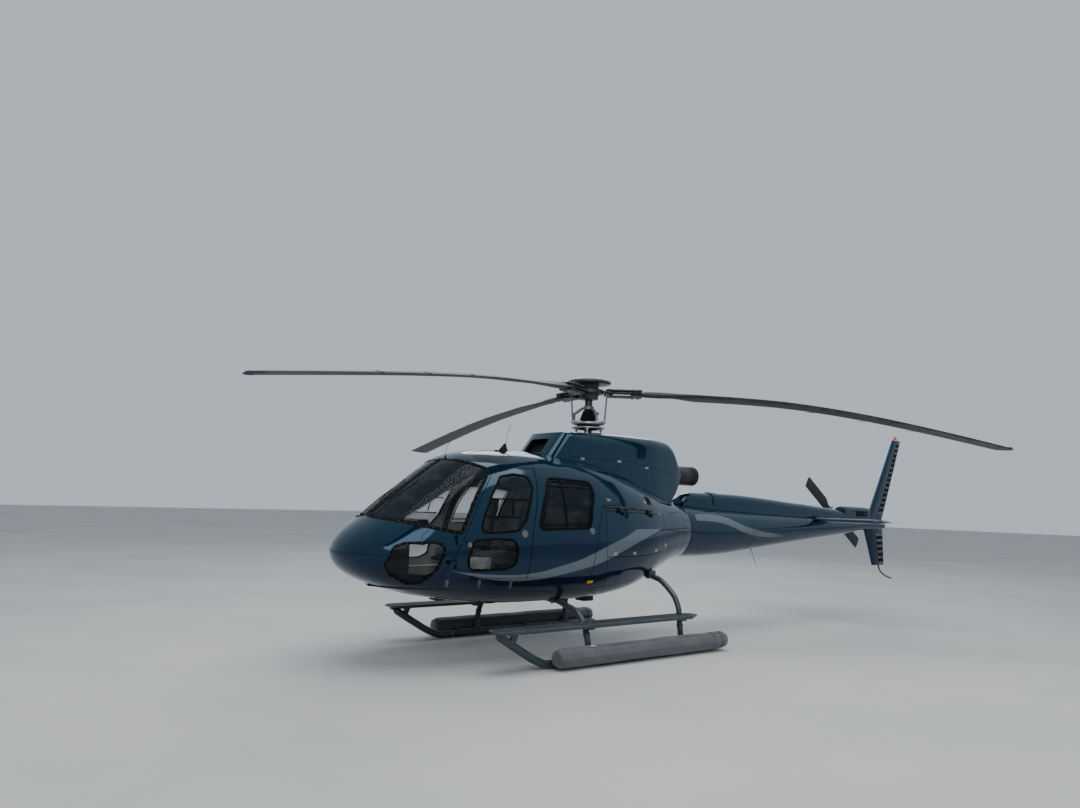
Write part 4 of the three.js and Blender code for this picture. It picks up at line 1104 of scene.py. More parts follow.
def surface_path(outline, side, radius=0.0, inboard=POST_HALF, step=0.025):
    """An opening's edge as a closed line of points on the fuselage's surface."""
    points = dense(rounded(outline, radius, 7) if radius else outline, step)
    reach = side_at(points[:, 0], points[:, 1])
    held = reach > inboard + 0.002
    path = np.column_stack([points[:, 0], reach, points[:, 1]])
    if not held.all():
        first = int(np.where(held & ~np.roll(held, 1))[0][0])
        path, held = np.roll(path, -first, axis=0), np.roll(held, -first)
        path = path[held]
        count = int(abs(path[-1][0] - path[0][0]) / step) + 2
        x = np.linspace(path[-1][0], path[0][0], count)[1:-1]
        path = np.concatenate([path, np.column_stack([x, np.full(len(x), inboard), over_at(x, inboard)])])
    return path * (1, side, 1), normals_of(path) * (1, side, 1)


def side_line(points, side, step=0.02, lift=0.0):
    """An open line on the fuselage's side."""
    line = dense(points, step, closed=False)
    path = np.column_stack([line, side_at(line[:, 0], line[:, 1])])[:, [0, 2, 1]]
    normal = normals_of(path)
    path = path + normal * lift
    return path * (1, side, 1), normal * (1, side, 1)


def strip(wide, proud, sunk):
    """The section of a flat strip with softened upper edges."""
    half = wide / 2
    soft = min(proud * 0.5, 0.0015)
    return np.array([
        (-half, -sunk), (half, -sunk), (half, proud - soft), (half - soft, proud), (soft - half, proud),
        (-half, proud - soft),
    ])


def rim(outline, side, wide, proud, radius=0.0):
    """A rubber round an opening."""
    path, normal = surface_path(outline, side, radius)
    return sweep("rim", path, strip(wide, proud, 0.006), closed=True, up=normal)


def seam(points, side):
    path, normal = side_line(points, side)
    return sweep("seam", path, strip(0.005, 0.0007, 0.002), up=normal)


def screw(radius, tall=0.0022):
    """A low round head with a domed top."""
    deselect()
    bpy.ops.mesh.primitive_cylinder_add(
        vertices=8, radius=radius, depth=tall * 1.5, location=(0, 0, tall * 0.4)
    )
    obj = named("screw")
    bpy.ops.object.transform_apply(location=True, rotation=True, scale=True)
    return edge_round(obj, tall * 0.7, 1)


def studs(name, path, normal, spacing, radius, shift=0.0, closed=True):
    """Screw heads at even steps along a line on a surface."""
    path, normal = np.asarray(path, float), np.asarray(normal, float)
    if closed:
        path = np.concatenate([path, path[:1]])
        normal = np.concatenate([normal, normal[:1]])
    length = np.concatenate([[0], np.cumsum(np.linalg.norm(np.diff(path, axis=0), axis=1))])
    count = max(2, int(length[-1] / spacing))
    at = np.linspace(0, length[-1], count, endpoint=not closed)
    way = np.gradient(path, axis=0)
    matrices = []
    for d in at:
        i = min(int(np.searchsorted(length, d, side="right")) - 1, len(path) - 2)
        share = (d - length[i]) / max(length[i + 1] - length[i], 1e-9)
        place = path[i] + (path[i + 1] - path[i]) * share
        up = normal[i]
        across = np.cross(way[i], up)
        across /= max(np.linalg.norm(across), 1e-9)
        matrices.append(facing(place + across * shift, up))
    return scattered(name, screw(radius), matrices)


DOORWAY = (
    *DOOR_FRONT_EDGE, (1.825, 2.020), (1.700, 2.038), (1.345, 2.046), *REAR_DOOR_AFT,
    (0.700, 0.850), (2.494, 0.850),
)


def build_cabin():
    cabin = skin("cabin_skin", CABIN_REAR + 0.0005, NOSE_TIP)
    belly = block("belly_cut", (0.3, -WIDE, 0.2), (HULL_FRONT, WIDE, SILL))
    carve(cabin, belly)
    for _, side in SIDES:
        carve(cabin, side_prism(WINDSHIELD, side, 0.03), side_prism(CHIN_WINDOW, side, 0.06, CHIN_INBOARD))
        carve(cabin, side_prism(DOORWAY, side))
        carve(cabin, roof_hole(side))
    skin_piece(cabin, "airframe", "cabin_shell")

    hull = skin("hull_skin", CABIN_REAR + 0.0005, HULL_FRONT + 0.2)
    room = block("hull_room", (0.3, -WIDE, 0.2), (HULL_FRONT - 0.0005, WIDE, SILL - 0.0005))
    carve(hull, room, operation="INTERSECT")
    skin_piece(hull, "airframe", "lower_hull")

    rear = skin("rear_skin", -1.55, CABIN_REAR - 0.0005)
    for _, side in SIDES:
        carve(rear, side_prism(REAR_DOOR, side), slanted_prism(BAGGAGE_DOOR, side))
    skin_piece(rear, "airframe", "rear_fuselage")

    build_cabin_lining()
    build_rims()
    build_seams()


def skin_piece(obj, body, replaces):
    """A wall of the fuselage: painted outside, dark on its cut edges, lined inside."""
    sort_faces(obj, (FINISHES["paint"], FINISHES["jamb"], FINISHES["trim"]))
    smooth(obj, 40)
    lay_normals(obj)
    return finished(obj, body, replaces=replaces, angle=0)


def roof_hole(side, shrink=0.0):
    turn = 2 * np.pi * np.arange(40) / 40
    outline = np.column_stack([
        ROOF_WINDOW["x"] + (ROOF_WINDOW["long"] - shrink) * bulge(np.cos(turn), 2.6),
        side * ROOF_WINDOW["y"] + (ROOF_WINDOW["wide"] - shrink) * bulge(np.sin(turn), 2.6),
    ])
    return prism(outline, 1.7, 2.4, axis=2)


def build_cabin_lining():
    """What shows through the glass: floor, rear wall, door posts and the lining's ribs."""
    x = np.linspace(CABIN_REAR + 0.01, 2.92, 40)
    half = side_at(x, FLOOR_TOP) - 0.02
    outline = np.concatenate([np.column_stack([x, half]), np.column_stack([x, -half])[::-1]])
    board = prism(outline, FLOOR_TOP - 0.015, FLOOR_TOP, axis=2)
    board.name = "cabin_floor_board"
    finished(board, "airframe", FINISHES["hood"])

    ring = fuselage_ring(CABIN_REAR - 0.015, 0.02)[:, 1:]
    wall = prism(ring, CABIN_REAR - 0.022, CABIN_REAR - 0.004, axis=0)
    wall.name = "cabin_rear_wall"
    finished(wall, "airframe", FINISHES["trim"])

    half = 0.030
    line = np.array([(1.322, 2.115), *DOOR_SPLIT])
    band = np.concatenate([line - (half, 0), (line + (half, 0))[::-1]])
    posts = []
    for _, side in SIDES:
        post = skin("post", 1.1, 1.75, 0.042, 0.074)
        posts.append(carve(post, prism(band, side * 0.02, side * WIDE), operation="INTERSECT"))
    finished(fused("door_posts", *posts), "airframe", FINISHES["jamb"])

    ribs = []
    for place in (0.62, 1.05, 1.32):
        arc = fuselage_ring(place, SKIN + 0.006)
        arc = arc[arc[:, 2] > 1.98]
        arc = arc[np.argsort(arc[:, 1])]
        ribs.append(sweep("rib", arc, strip(0.05, 0.012, 0.006), up=(0.0, 0.0, -1.0)))
    finished(fused("roof_ribs", *ribs), "airframe", FINISHES["pale"])
    pod = block("overhead_pod", (1.18, -0.17, 2.09), (1.78, 0.17, 2.19), 0.03, 4)
    finished(pod, "airframe", FINISHES["trim"])


# Outline, corner radius, inboard end and width of each black band
RIMS = {
    "windshield": (WINDSHIELD, 0.03, POST_HALF, 0.036),
    "chin": (CHIN_WINDOW, 0.06, CHIN_INBOARD, 0.026),
}
BAND_PROUD = 0.0025


def build_rims():
    """The black bands that hold the glass of the nose, with their screws."""
    radius = bpy.context.scene.helicopter_sizes.screw_radius
    for name, side in SIDES:
        for place, (outline, corner, inboard, wide) in RIMS.items():
            path, normal = surface_path(outline, side, corner, inboard)
            section = strip(wide, BAND_PROUD, 0.008)
            band = sweep(f"{place}_rim_{name}", path, section, closed=True, up=normal)
            finished(band, "airframe", FINISHES["seal"])
            heads = studs(f"{place}_screws_{name}", path + normal * BAND_PROUD, normal, 0.07, radius)
            finished(heads, "airframe", FINISHES["dull_steel"])


def build_seams():
    """Skin joints and rivet lines on the sides of the fuselage."""
    lines = {
        "hull_seam": ((2.137, 0.800), (1.296, 0.740), (0.998, 0.735), (0.530, 0.742), (-0.191, 0.800)),
        "rear_panel_top": ((-0.931, 1.594), (-1.301, 1.608)),
        "rear_panel_low": ((-0.816, 1.397), (-1.014, 1.370), (-1.319, 1.352)),
        "rear_panel_front": (
            (-0.742, 1.581), (-0.742, 1.459), (-0.768, 1.336), (-0.834, 1.199), (-0.892, 1.147),
        ),
        "rear_panel_aft": ((-1.301, 1.608), (-1.319, 1.352), (-1.300, 1.080)),
        "nose_joint": ((2.640, 1.380), (2.700, 1.330), (2.720, 1.275)),
        "waist_joint": ((0.470, 1.090), (0.430, 0.900), (0.400, 0.760)),
    }
    for name, side in SIDES:
        made = [seam(points, side) for points in lines.values()]
        finished(fused(f"skin_seams_{name}", *made), "airframe", FINISHES["seal"])
        rows = []
        for key in [key for key in lines if key.startswith("rear_panel")]:
            path, normal = side_line(lines[key], side)
            rows.append(studs("row", path, normal, 0.045, 0.0032, 0.016, closed=False))
        finished(fused(f"rear_rivets_{name}", *rows), "airframe", FINISHES["paint"])


# Doors


def door_sweep(side):
    """Everything inside the arc that the rear edge of a front door swings through."""
    heights = np.array([0.88, 1.15, 1.40, 1.60, 1.75, 1.85, 1.93, 1.99, 2.06])
    split = np.array(DOOR_SPLIT)[::-1]
    edge = np.interp(heights, split[:, 1], split[:, 0]) + DOOR_GAP
    radius = np.hypot(HINGE["x"] - edge, side_at(edge, heights) - HINGE["reach"])
    turn = 2 * np.pi * np.arange(180) / 180
    rings = [
        np.column_stack([
            HINGE["x"] + r * np.cos(turn), side * HINGE["reach"] + r * np.sin(turn), np.full(len(turn), z)
        ])
        for r, z in zip(radius, heights)
    ]
    return solid_of("sweep_room", rings)


def knuckle(side, low, high, facing_x, reach):
    """Half of a door hinge: a knuckle on the pin line and a strap to the skin."""
    z = (low + high) / 2
    x, y = HINGE["x"], HINGE["reach"]
    far = x + facing_x * reach
    foot = far - facing_x * 0.018
    sunk = min(float(side_at(far, z)[0]), float(side_at(foot, z)[0])) - 0.014

    def slab(one, two, inner, outer):
        return block(
            "strap", (min(one, two), min(side * inner, side * outer), z - 0.013),
            (max(one, two), max(side * inner, side * outer), z + 0.013), 0.002,
        )

    pin = rod("pin", (x, side * y, low), (x, side * y, high), 0.0105, 16, round_by=0.0015)
    return [pin, slab(x + facing_x * 0.004, far, y - 0.004, y + 0.0055), slab(foot, far, sunk, y + 0.0055)]


def ring_handle(place, side, radius=0.033):
    """A round cup let into the door with a lifting ring in it."""
    deselect()
    bpy.ops.mesh.primitive_torus_add(
        major_radius=radius, minor_radius=0.0045, major_segments=28, minor_segments=8
    )
    ring = named("ring")
    plate = rod("plate", (0, 0, -0.006), (0, 0, 0.0015), radius * 0.94, 28)
    grip = block("grip", (-radius * 0.8, -0.007, 0.001), (radius * 0.8, 0.007, 0.006), 0.002)
    return laid(side_matrix(*place, side, 0.001), fused("handle", ring, plate, grip))[0]


def build_doors():
    for name, side in SIDES:
        build_front_door(name, side)
        build_rear_door(name, side)
        build_baggage_door(name, side)


def build_front_door(name, side):
    body = f"front_door_{name}"
    door = skin(f"front_door_skin_{name}", 1.28, 2.58)
    carve(door, side_prism(FRONT_DOOR, side, 0.02, grow=-DOOR_GAP), door_sweep(side), operation="INTERSECT")
    carve(door, side_prism(FRONT_WINDOW, side, 0.09), side_prism(LOWER_WINDOW, side, 0.07))
    skin_piece(door, body, body)
    low, high, length = HINGE["low"], HINGE["high"], HINGE["length"]
    moving = [
        *knuckle(side, low - length, low - 0.001, -1, 0.024),
        *knuckle(side, high - length, high - 0.001, -1, 0.104),
    ]
    finished(fused(f"front_hinge_leaf_{name}", *moving), body, FINISHES["cowl_paint"])
    fixed = [
        *knuckle(side, low - 0.0005, low + length, 1, 0.104),
        *knuckle(side, high - 0.0005, high + length, 1, 0.024),
    ]
    finished(fused(f"front_hinge_lug_{name}", *fixed), "airframe", FINISHES["cowl_paint"])
    proud = bpy.context.scene.helicopter_sizes.seal_proud
    seals = [
        rim(FRONT_WINDOW, side, 0.024, proud, 0.09),
        rim(LOWER_WINDOW, side, 0.022, proud, 0.07),
    ]
    finished(fused(f"front_window_seals_{name}", *seals), body, FINISHES["seal"])
    bars = [
        window_bar(((1.560, 1.700), (2.010, 1.706)), side),
        window_bar(((1.640, 1.520), (2.080, 1.525)), side),
        window_bar(((1.735, 1.690), (1.760, 1.535)), side),
    ]
    finished(fused(f"front_window_bars_{name}", *bars), body, FINISHES["seal"])
    handles = [ring_handle((1.622, 1.352), side), ring_handle((2.253, 1.240), side, 0.02)]
    finished(fused(f"front_door_handles_{name}", *handles), body, FINISHES["dull_steel"])
    build_lower_plate(name, side, body)


def window_bar(line, side, wide=0.014):
    path, normal = side_line(line, side, lift=-0.002)
    return sweep("bar", path, strip(wide, 0.005, 0.003), up=normal)


def build_lower_plate(name, side, body):
    """The blank light grey plate behind the lower door window's glass."""
    outline = rounded(((2.240, 1.122), (2.012, 1.118), (2.008, 0.998), (2.230, 1.007)), 0.012)
    plate = skin("plate", 1.9, 2.35, 0.0105, 0.013)
    carve(plate, prism(outline, side * 0.5, side * WIDE), operation="INTERSECT")
    finished(fused(f"lower_window_plate_{name}", plate), body, FINISHES["pale"])


def build_rear_door(name, side):
    door = skin(f"rear_door_skin_{name}", 0.12, 1.62)
    carve(door, side_prism(REAR_DOOR, side, 0.02, grow=-0.003), operation="INTERSECT")
    carve(door, side_prism(REAR_WINDOW, side, 0.07))
    skin_piece(door, "airframe", f"rear_door_{name}")
    frames = [
        rim(REAR_WINDOW, side, 0.028, 0.0035, 0.07),
        rim(grown(rounded(REAR_WINDOW, 0.07), -0.036), side, 0.012, 0.003),
        window_bar(((1.054, 1.940), (1.068, 1.420)), side, 0.022),
        window_bar(((0.640, 1.850), (1.300, 1.862)), side, 0.010),
        window_bar(((0.730, 1.468), (1.410, 1.452)), side, 0.010),
    ]
    finished(fused(f"rear_window_frame_{name}", *frames), "airframe", FINISHES["seal"])
    handle = fused(f"rear_door_handle_{name}", ring_handle((0.700, 1.382), side))
    finished(handle, "airframe", FINISHES["dull_steel"])
    joint, normal = side_line(REAR_DOOR_AFT, side)
    gasket = sweep(f"rear_door_gasket_{name}", joint, strip(0.007, 0.001, 0.004), up=normal)
    finished(gasket, "airframe", FINISHES["seal"])


def baggage_line(side):
    """The hinge line along a baggage door's top edge, as its two ends."""
    (front, front_z), (aft, aft_z) = BAGGAGE_DOOR[1], BAGGAGE_DOOR[2]
    centre = (front + aft) / 2
    middle = float(side_at(centre, (front_z + aft_z) / 2)[0])
    slope = float((side_at(front, front_z) - side_at(aft, aft_z))[0]) / (front - aft)
    return [
        Vector((x, side * (middle + slope * (x - centre) + 0.014), z))
        for x, z in ((front, front_z), (aft, aft_z))
    ]


def baggage_knuckle(side, first, last, rise):
    start, end = baggage_line(side)
    way = (end - start).normalized()
    one, two = start + way * first, start + way * last
    middle = (one + two) / 2
    sunk = float(side_at(middle.x, middle.z + rise)[0]) - 0.014
    outer = middle.y + side * 0.004
    near = middle.z + math.copysign(0.004, rise)
    leaf = block(
        "leaf", (middle.x - 0.021, min(side * sunk, outer), min(near, middle.z + rise)),
        (middle.x + 0.021, max(side * sunk, outer), max(near, middle.z + rise)), 0.002,
    )
    return [rod("pin", one, two, 0.0105, 16, round_by=0.0015), leaf]


def build_baggage_door(name, side):
    body = f"baggage_door_{name}"
    door = skin(f"baggage_door_skin_{name}", -0.95, 0.62)
    carve(door, slanted_prism(grown(BAGGAGE_DOOR, -DOOR_GAP), side), operation="INTERSECT")
    skin_piece(door, body, body)
    moving, fixed = [], []
    for at in (0.270, 0.860):
        moving += baggage_knuckle(side, at + 0.001, at + 0.056, -0.040)
        fixed += baggage_knuckle(side, at - 0.056, at + 0.0005, 0.034)
    finished(fused(f"baggage_hinge_leaf_{name}", *moving), body, FINISHES["satin"])
    finished(fused(f"baggage_hinge_lug_{name}", *fixed), "airframe", FINISHES["satin"])
    latches = [
        plate_on(side_matrix(x, z, side), (0.032, 0.018), -0.004, 0.003, 0.0025)
        for x, z in ((-0.019, 1.125), (0.330, 1.125), (-0.500, 1.145))
    ]
    finished(fused(f"baggage_latches_{name}", *latches), body, FINISHES["steel"])
    rail_points = [(x, side * (float(side_at(x, z)[0]) + 0.003), z) for x, z in DOOR_RAIL]
    rail = tube(f"door_rail_{name}", rail_points, 0.013, 10, 0.04)
    finished(rail, "airframe", FINISHES["rail"])


# Glazing


# Name, what it stands for, outline, corner radius, inboard end and the stretch of fuselage it is cut from
PANES = (
    ("windshield_pane", "windshield", WINDSHIELD, 0.03, POST_HALF, (1.80, 3.15)),
    ("chin_pane", "chin_window", CHIN_WINDOW, 0.06, CHIN_INBOARD, (2.40, 3.12)),
    ("front_door_pane", "front_door_window", FRONT_WINDOW, 0.09, POST_HALF, (1.40, 2.25)),
    ("lower_door_pane", "lower_door_window", LOWER_WINDOW, 0.07, POST_HALF, (1.60, 2.35)),
    ("rear_door_pane", "rear_door_window", REAR_WINDOW, 0.07, POST_HALF, (0.50, 1.50)),
)


def pane(name, stretch, tool, finish, body, replaces):
    glass = skin(name, *stretch, 0.004, 0.010)
    carve(glass, tool, operation="INTERSECT")
    smooth(glass, 40)
    finished(glass, body, FINISHES[finish], replaces=replaces, angle=0)


def build_glazing():
    for name, side in SIDES:
        for part, replaces, outline, radius, inboard, stretch in PANES:
            on_door = replaces in ("front_door_window", "lower_door_window")
            tool = side_prism(outline, side, radius, inboard, grow=-0.0008)
            body = f"front_door_{name}" if on_door else "airframe"
            pane(f"{part}_{name}", stretch, tool, "glass", body, f"{replaces}_{name}")
        tool = roof_hole(side, 0.0008)
        pane(f"roof_pane_{name}", (1.45, 2.05), tool, "roof_glass", "airframe", f"roof_window_{name}")


# Seats and instrument panel


def stuffed(obj, cap, frames=20, pressure=4.0):
    """Swells a closed form as filled cloth does, and holds every point within the cap."""
    apply(obj, "REMESH", mode="VOXEL", voxel_size=0.008)
    rest = points_of(obj)
    pick(obj)
    cloth = obj.modifiers.new("Swell", "CLOTH")
    cloth.settings.use_pressure = True
    cloth.settings.uniform_pressure_force = pressure
    cloth.settings.effector_weights.gravity = 0
    cloth.settings.quality = 4
    for number in range(1, frames + 1):
        bpy.context.scene.frame_set(number)
    graph = bpy.context.evaluated_depsgraph_get()
    step = points_of(obj.evaluated_get(graph)) - rest
    obj.modifiers.remove(cloth)
    bpy.context.scene.frame_set(1)
    length = np.maximum(np.linalg.norm(step, axis=1), 1e-9)
    lay_points(obj, rest + step * (np.minimum(length, cap) / length)[:, None])
    return obj


CROWN = 0.012  # how far a pad's faces stand out in the middle
SEAT_MIDDLE = 0.400
BACK_LEAN = 0.20


def pad(name, low, high, lean=0.0, channels=()):
    """A padded block: crowned faces, swollen by simulation, then sewn channels pressed into its front."""
    obj = block(name, low, high)
    edit(obj, lambda: bpy.ops.mesh.subdivide(number_cuts=7))
    low, high = np.array(low, float), np.array(high, float)
    middle, half = (low + high) / 2, (high - low) / 2
    place = points_of(obj)
    share = (place - middle) / half
    for axis in range(3):
        others = [a for a in range(3) if a != axis]
        swell = np.prod(1 - np.clip(np.abs(share[:, others]), 0, 1) ** 2.5, axis=1)
        place[:, axis] += np.sign(share[:, axis]) * (np.abs(share[:, axis]) > 0.99) * CROWN * swell
    lay_points(obj, place)
    apply(obj, "SUBSURF", levels=1, render_levels=1)
    stuffed(obj, cap=bpy.context.scene.helicopter_sizes.cushion_swell * 0.7)
    place = points_of(obj)
    for axis, at, facing_axis, depth in channels:
        near = np.exp(-(((place[:, axis] - at) / 0.007) ** 2))
        out = place[:, facing_axis] > middle[facing_axis]
        place[:, facing_axis] -= near * out * depth
    place[:, 0] -= lean * (place[:, 2] - low[2])
    lay_points(obj, place)
    apply(obj, "SUBSURF", levels=1, render_levels=1)
    return obj


def webbing(points):
    half = 0.023
    section = ((-half, -0.0012), (half, -0.0012), (half, 0.0012), (-half, 0.0012))
    return sweep("belt", smooth_line(points, 0.02), section, up=(1.0, 0.0, 0.35))


def build_seats():
    """Two front seats, the rear bench, their belts and the instrument panel."""
    y = SEAT_MIDDLE
    cushion = pad(
        "front_cushion_left", (1.365, y - 0.222, 1.020), (1.815, y + 0.222, 1.118),
        channels=((0, 1.48, 2, 0.010), (0, 1.70, 2, 0.010), (1, y, 2, 0.005)),
    )
    back = pad(
        "front_back_left", (1.335, y - 0.215, 1.150), (1.425, y + 0.215, 1.690), lean=BACK_LEAN,
        channels=(
            (2, 1.30, 0, 0.010), (2, 1.56, 0, 0.010), (1, y - 0.12, 0, 0.006), (1, y + 0.12, 0, 0.006),
        ),
    )
    rest = pad("front_headrest_left", (1.245, y - 0.108, 1.730), (1.300, y + 0.108, 1.890), lean=0.02)
    shell = [
        block("shell", (1.400, y - 0.19, 0.802), (1.790, y + 0.19, 0.840), 0.008),
        block("shell", (1.380, y - 0.235, 0.985), (1.830, y + 0.235, 1.022), 0.012, 3),
    ]
    for x, top_x in ((1.44, 1.46), (1.75, 1.73)):
        for dy in (-0.17, 0.17):
            shell.append(tube("leg", ((x, y + dy, 0.83), (top_x, y + dy, 0.99)), 0.016))
    for dy in (-0.05, 0.05):
        shell.append(tube("stem", ((1.255, y + dy, 1.66), (1.262, y + dy, 1.76)), 0.007))
    board = block("board", (1.310, y - 0.228, 1.060), (1.332, y + 0.228, 1.700), 0.008)
    place = points_of(board)
    place[:, 0] -= BACK_LEAN * (place[:, 2] - 1.15)
    lay_points(board, place)
    frame_part = fused("front_seat_frame_left", *shell, board)
    belts = []
    for turn in (1, -1):
        top, chest, hip, lap = y + turn * 0.10, y + turn * 0.10, y + turn * 0.12, y + turn * 0.17
        line = ((1.300, top, 1.705), (1.372, chest, 1.60), (1.425, hip, 1.35), (1.46, lap, 1.17))
        belts.append(webbing(line))
    belts = fused("front_belts_left", *belts)
    left = ((cushion, "seat"), (back, "seat"), (rest, "seat"), (frame_part, "hood"), (belts, "belt"))
    for made, finish in left:
        twin = mirrored(made, made.name.replace("left", "right"))
        for obj in (made, twin):
            slot = "seat_fabric" if finish != "hood" else "panel_plastic"
            finished(obj, "airframe", FINISHES[finish])
            finish == "seat"
            if obj.name.startswith("front_cushion"):
                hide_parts("front_seat_left" if obj is made else "front_seat_right")
    build_bench()
    build_panel()


def build_bench():
    thirds = (-0.24, 0.24)
    cushion = pad(
        "bench_cushion", (0.640, -0.690, 1.010), (1.005, 0.690, 1.118),
        channels=[(1, y, 2, 0.012) for y in thirds],
    )
    back = pad(
        "bench_back", (0.600, -0.690, 1.160), (0.680, 0.690, 1.680), lean=0.10,
        channels=[(1, y, 0, 0.012) for y in thirds],
    )
    for obj in (cushion, back):
        finished(obj, "airframe", FINISHES["seat"])
    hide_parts("rear_bench")
    base = block("bench_base", (0.520, -0.700, 0.802), (0.985, 0.700, 1.008), 0.012, 3)
    finished(base, "airframe", FINISHES["hood"])


def build_panel():
    """The instrument hood, its faces and the pedestal between the front seats."""
    x, y, half, top = 2.480, -0.180, 0.380, 1.470
    outline = rounded(
        ((x - 0.09, top - 0.27), (x + 0.12, top - 0.25), (x + 0.24, top - 0.08), (x + 0.10, top - 0.006),
         (x - 0.12, top)), 0.03,
    )
    hood = prism(outline, y - half, y + half)
    carve(hood, skin_core(SKIN + 0.008), operation="INTERSECT")
    edge_round(hood, 0.006)
    pedestal = block("pedestal", (x - 0.06, y - 0.11, 0.802), (x + 0.09, y + 0.11, top - 0.22), 0.015, 3)
    piece = fused("instrument_hood", hood, pedestal)
    finished(piece, "airframe", FINISHES["hood"], replaces="instrument_panel")
    dials, faces = [], []
    for row, height in enumerate((top - 0.075, top - 0.185)):
        face_x = x - 0.12 + 0.03 * (top - height) / 0.27 - 0.004
        for column in range(5):
            at_y = y - 0.27 + column * 0.135
            wide = 0.048 if (column + row) % 3 else 0.056
            ends = [(face_x - out, at_y, height) for out in (0.0, 0.008, 0.007, 0.0095)]
            dials.append(rod("bezel", ends[0], ends[1], wide, 28, round_by=0.002))
            faces.append(rod("face", ends[2], ends[3], wide * 0.84, 24))
    finished(fused("dial_bezels", *dials), "airframe", FINISHES["satin"])
    finished(fused("dial_faces", *faces), "airframe", FINISHES["jamb"])


def skin_core(depth):
    """The room inside the cabin at a depth below the skin."""
    places = stations_between(1.9, 3.1)
    return solid_of("core", np.array([fuselage_ring(x, depth) for x in places]))


# Cowling

COWL = (
    (-1.540, 1.985, 0.205, 0.060), (-1.489, 2.075, 0.235, 0.080), (-1.402, 2.228, 0.265, 0.100),
    (-1.320, 2.372, 0.288, 0.110), (-1.235, 2.472, 0.306, 0.120), (-1.140, 2.512, 0.325, 0.130),
    (-0.790, 2.537, 0.385, 0.150), (-0.190, 2.539, 0.425, 0.150), (0.400, 2.530, 0.430, 0.150),
    (0.716, 2.512, 0.428, 0.140), (1.100, 2.490, 0.425, 0.140),
)
COWL_NOSE = (
    (0.752, 0.0), (0.748, 0.130), (0.728, 0.230), (0.688, 0.320), (0.618, 0.385), (0.500, 0.418),
    (0.350, 0.430), (0.150, 0.440),
)
COWL_LEAN, LEAN_HEIGHT = 0.79, 2.450
COWL_SKIN, COWL_BASE = 0.022, 1.650
COWL_SPLITS = (0.620, -0.400)
INTAKE = {"half": 0.165, "low": 2.262, "high": 2.436}
UNDERCUT = (
    (-1.700, 1.640), (-1.700, 2.062), (-1.440, 2.058), (-1.396, 1.976), (-1.301, 1.841), (-1.226, 1.774),
    (-1.200, 1.640),
)
EXHAUST = {"z": 2.100, "radius": 0.132, "front": -1.191, "rear": -1.945}


def cowl_ring(x, inset):
    top, half, radius = through(COWL, x)[0]
    edge, bend = half - inset, max(radius - inset, 0.02)
    turn = np.linspace(0, np.pi / 2, 13)
    arc = np.column_stack([edge - bend + bend * np.cos(turn), top - inset - bend + bend * np.sin(turn)])
    wall = np.column_stack([np.full(8, edge), np.linspace(COWL_BASE - inset, arc[0][1], 9)[:-1]])
    right = np.concatenate([wall, arc])
    left = right[::-1] * (-1, 1)
    ring = np.concatenate([right, left])
    return np.column_stack([np.full(len(ring), float(x)), ring])


def cowl_body(inset):
    """The cowling's closed form, with its rounded front that leans back."""
    short = 0.03 if inset else 0
    places = np.linspace(COWL[0][0] + short, COWL[-1][0] - short, 64)
    body = solid_of("cowl_body", np.array([cowl_ring(x, inset) for x in places]))
    nose = np.array(COWL_NOSE) - (inset * 1.2, 0)
    nose[1:, 1] -= inset
    right = smooth_line(nose, 0.02)
    outline = np.concatenate([(right * (1, -1))[:0:-1], right, [(-1.8, 0.7), (-1.8, -0.7)]])
    rings = []
    for z in (1.60, 2.60):
        shift = np.where(outline[:, 0] > 0, COWL_LEAN * (LEAN_HEIGHT - z), 0.0)
        rings.append(np.column_stack([outline[:, 0] + shift, outline[:, 1], np.full(len(outline), z)]))
    return carve(body, solid_of("cowl_front", np.array(rings)), operation="INTERSECT")


def build_cowling():
    whole = cowl_body(0.0)
    hollow = cowl_body(COWL_SKIN)
    places = stations_between(-1.55, 1.6, 0.08)
    roof = solid_of("roof_room", np.array([fuselage_ring(x, -0.002) for x in places]))
    carve(whole, hollow, roof, prism(UNDERCUT, -WIDE, WIDE))
    lengths = {
        "intake_cowl": (COWL_SPLITS[0], 1.2), "gearbox_cowl": COWL_SPLITS[::-1],
        "engine_cowl": (-1.7, COWL_SPLITS[1]),
    }
    for name, (first, last) in lengths.items():
        part = copied(whole, Matrix.Identity(4))
        zone = block("zone", (first + 0.0015, -WIDE, 0), (last - 0.0015, WIDE, 3.0))
        carve(part, zone, operation="INTERSECT")
        if name == "intake_cowl":
            carve(part, prism(intake_outline(0.0), 0.60, 1.2, axis=0))
        if name == "gearbox_cowl":
            carve(part, rod("hole", (0, 0, 2.4), (0, 0, 2.6), 0.236, 64))
        if name == "engine_cowl":
            carve(part, rod("hole", (-1.3, 0, EXHAUST["z"]), (-1.8, 0, EXHAUST["z"]), 0.137, 48))
        edge_round(part, 0.0016, degrees=50)
        part.name = f"{name}_skin"
        smooth(part, 35)
        apply(part, "WEIGHTED_NORMAL", keep_sharp=True)
        finished(part, "airframe", FINISHES["cowl_paint"], replaces=name, angle=0)
    bpy.data.objects.remove(whole)
    build_intake()
    build_cowl_details()
    build_exhaust()
    for name, finish in (("engine", "engine"), ("main_gearbox", "gearbox")):
        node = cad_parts[name]
        node.data.materials.clear()
        node.data.materials.append(FINISHES[finish])


def intake_outline(grow):
    half, low, high = INTAKE["half"] + grow, INTAKE["low"] - grow, INTAKE["high"] + grow
    return rounded(((-half, low), (half, low), (half, high), (-half, high)), 0.04)


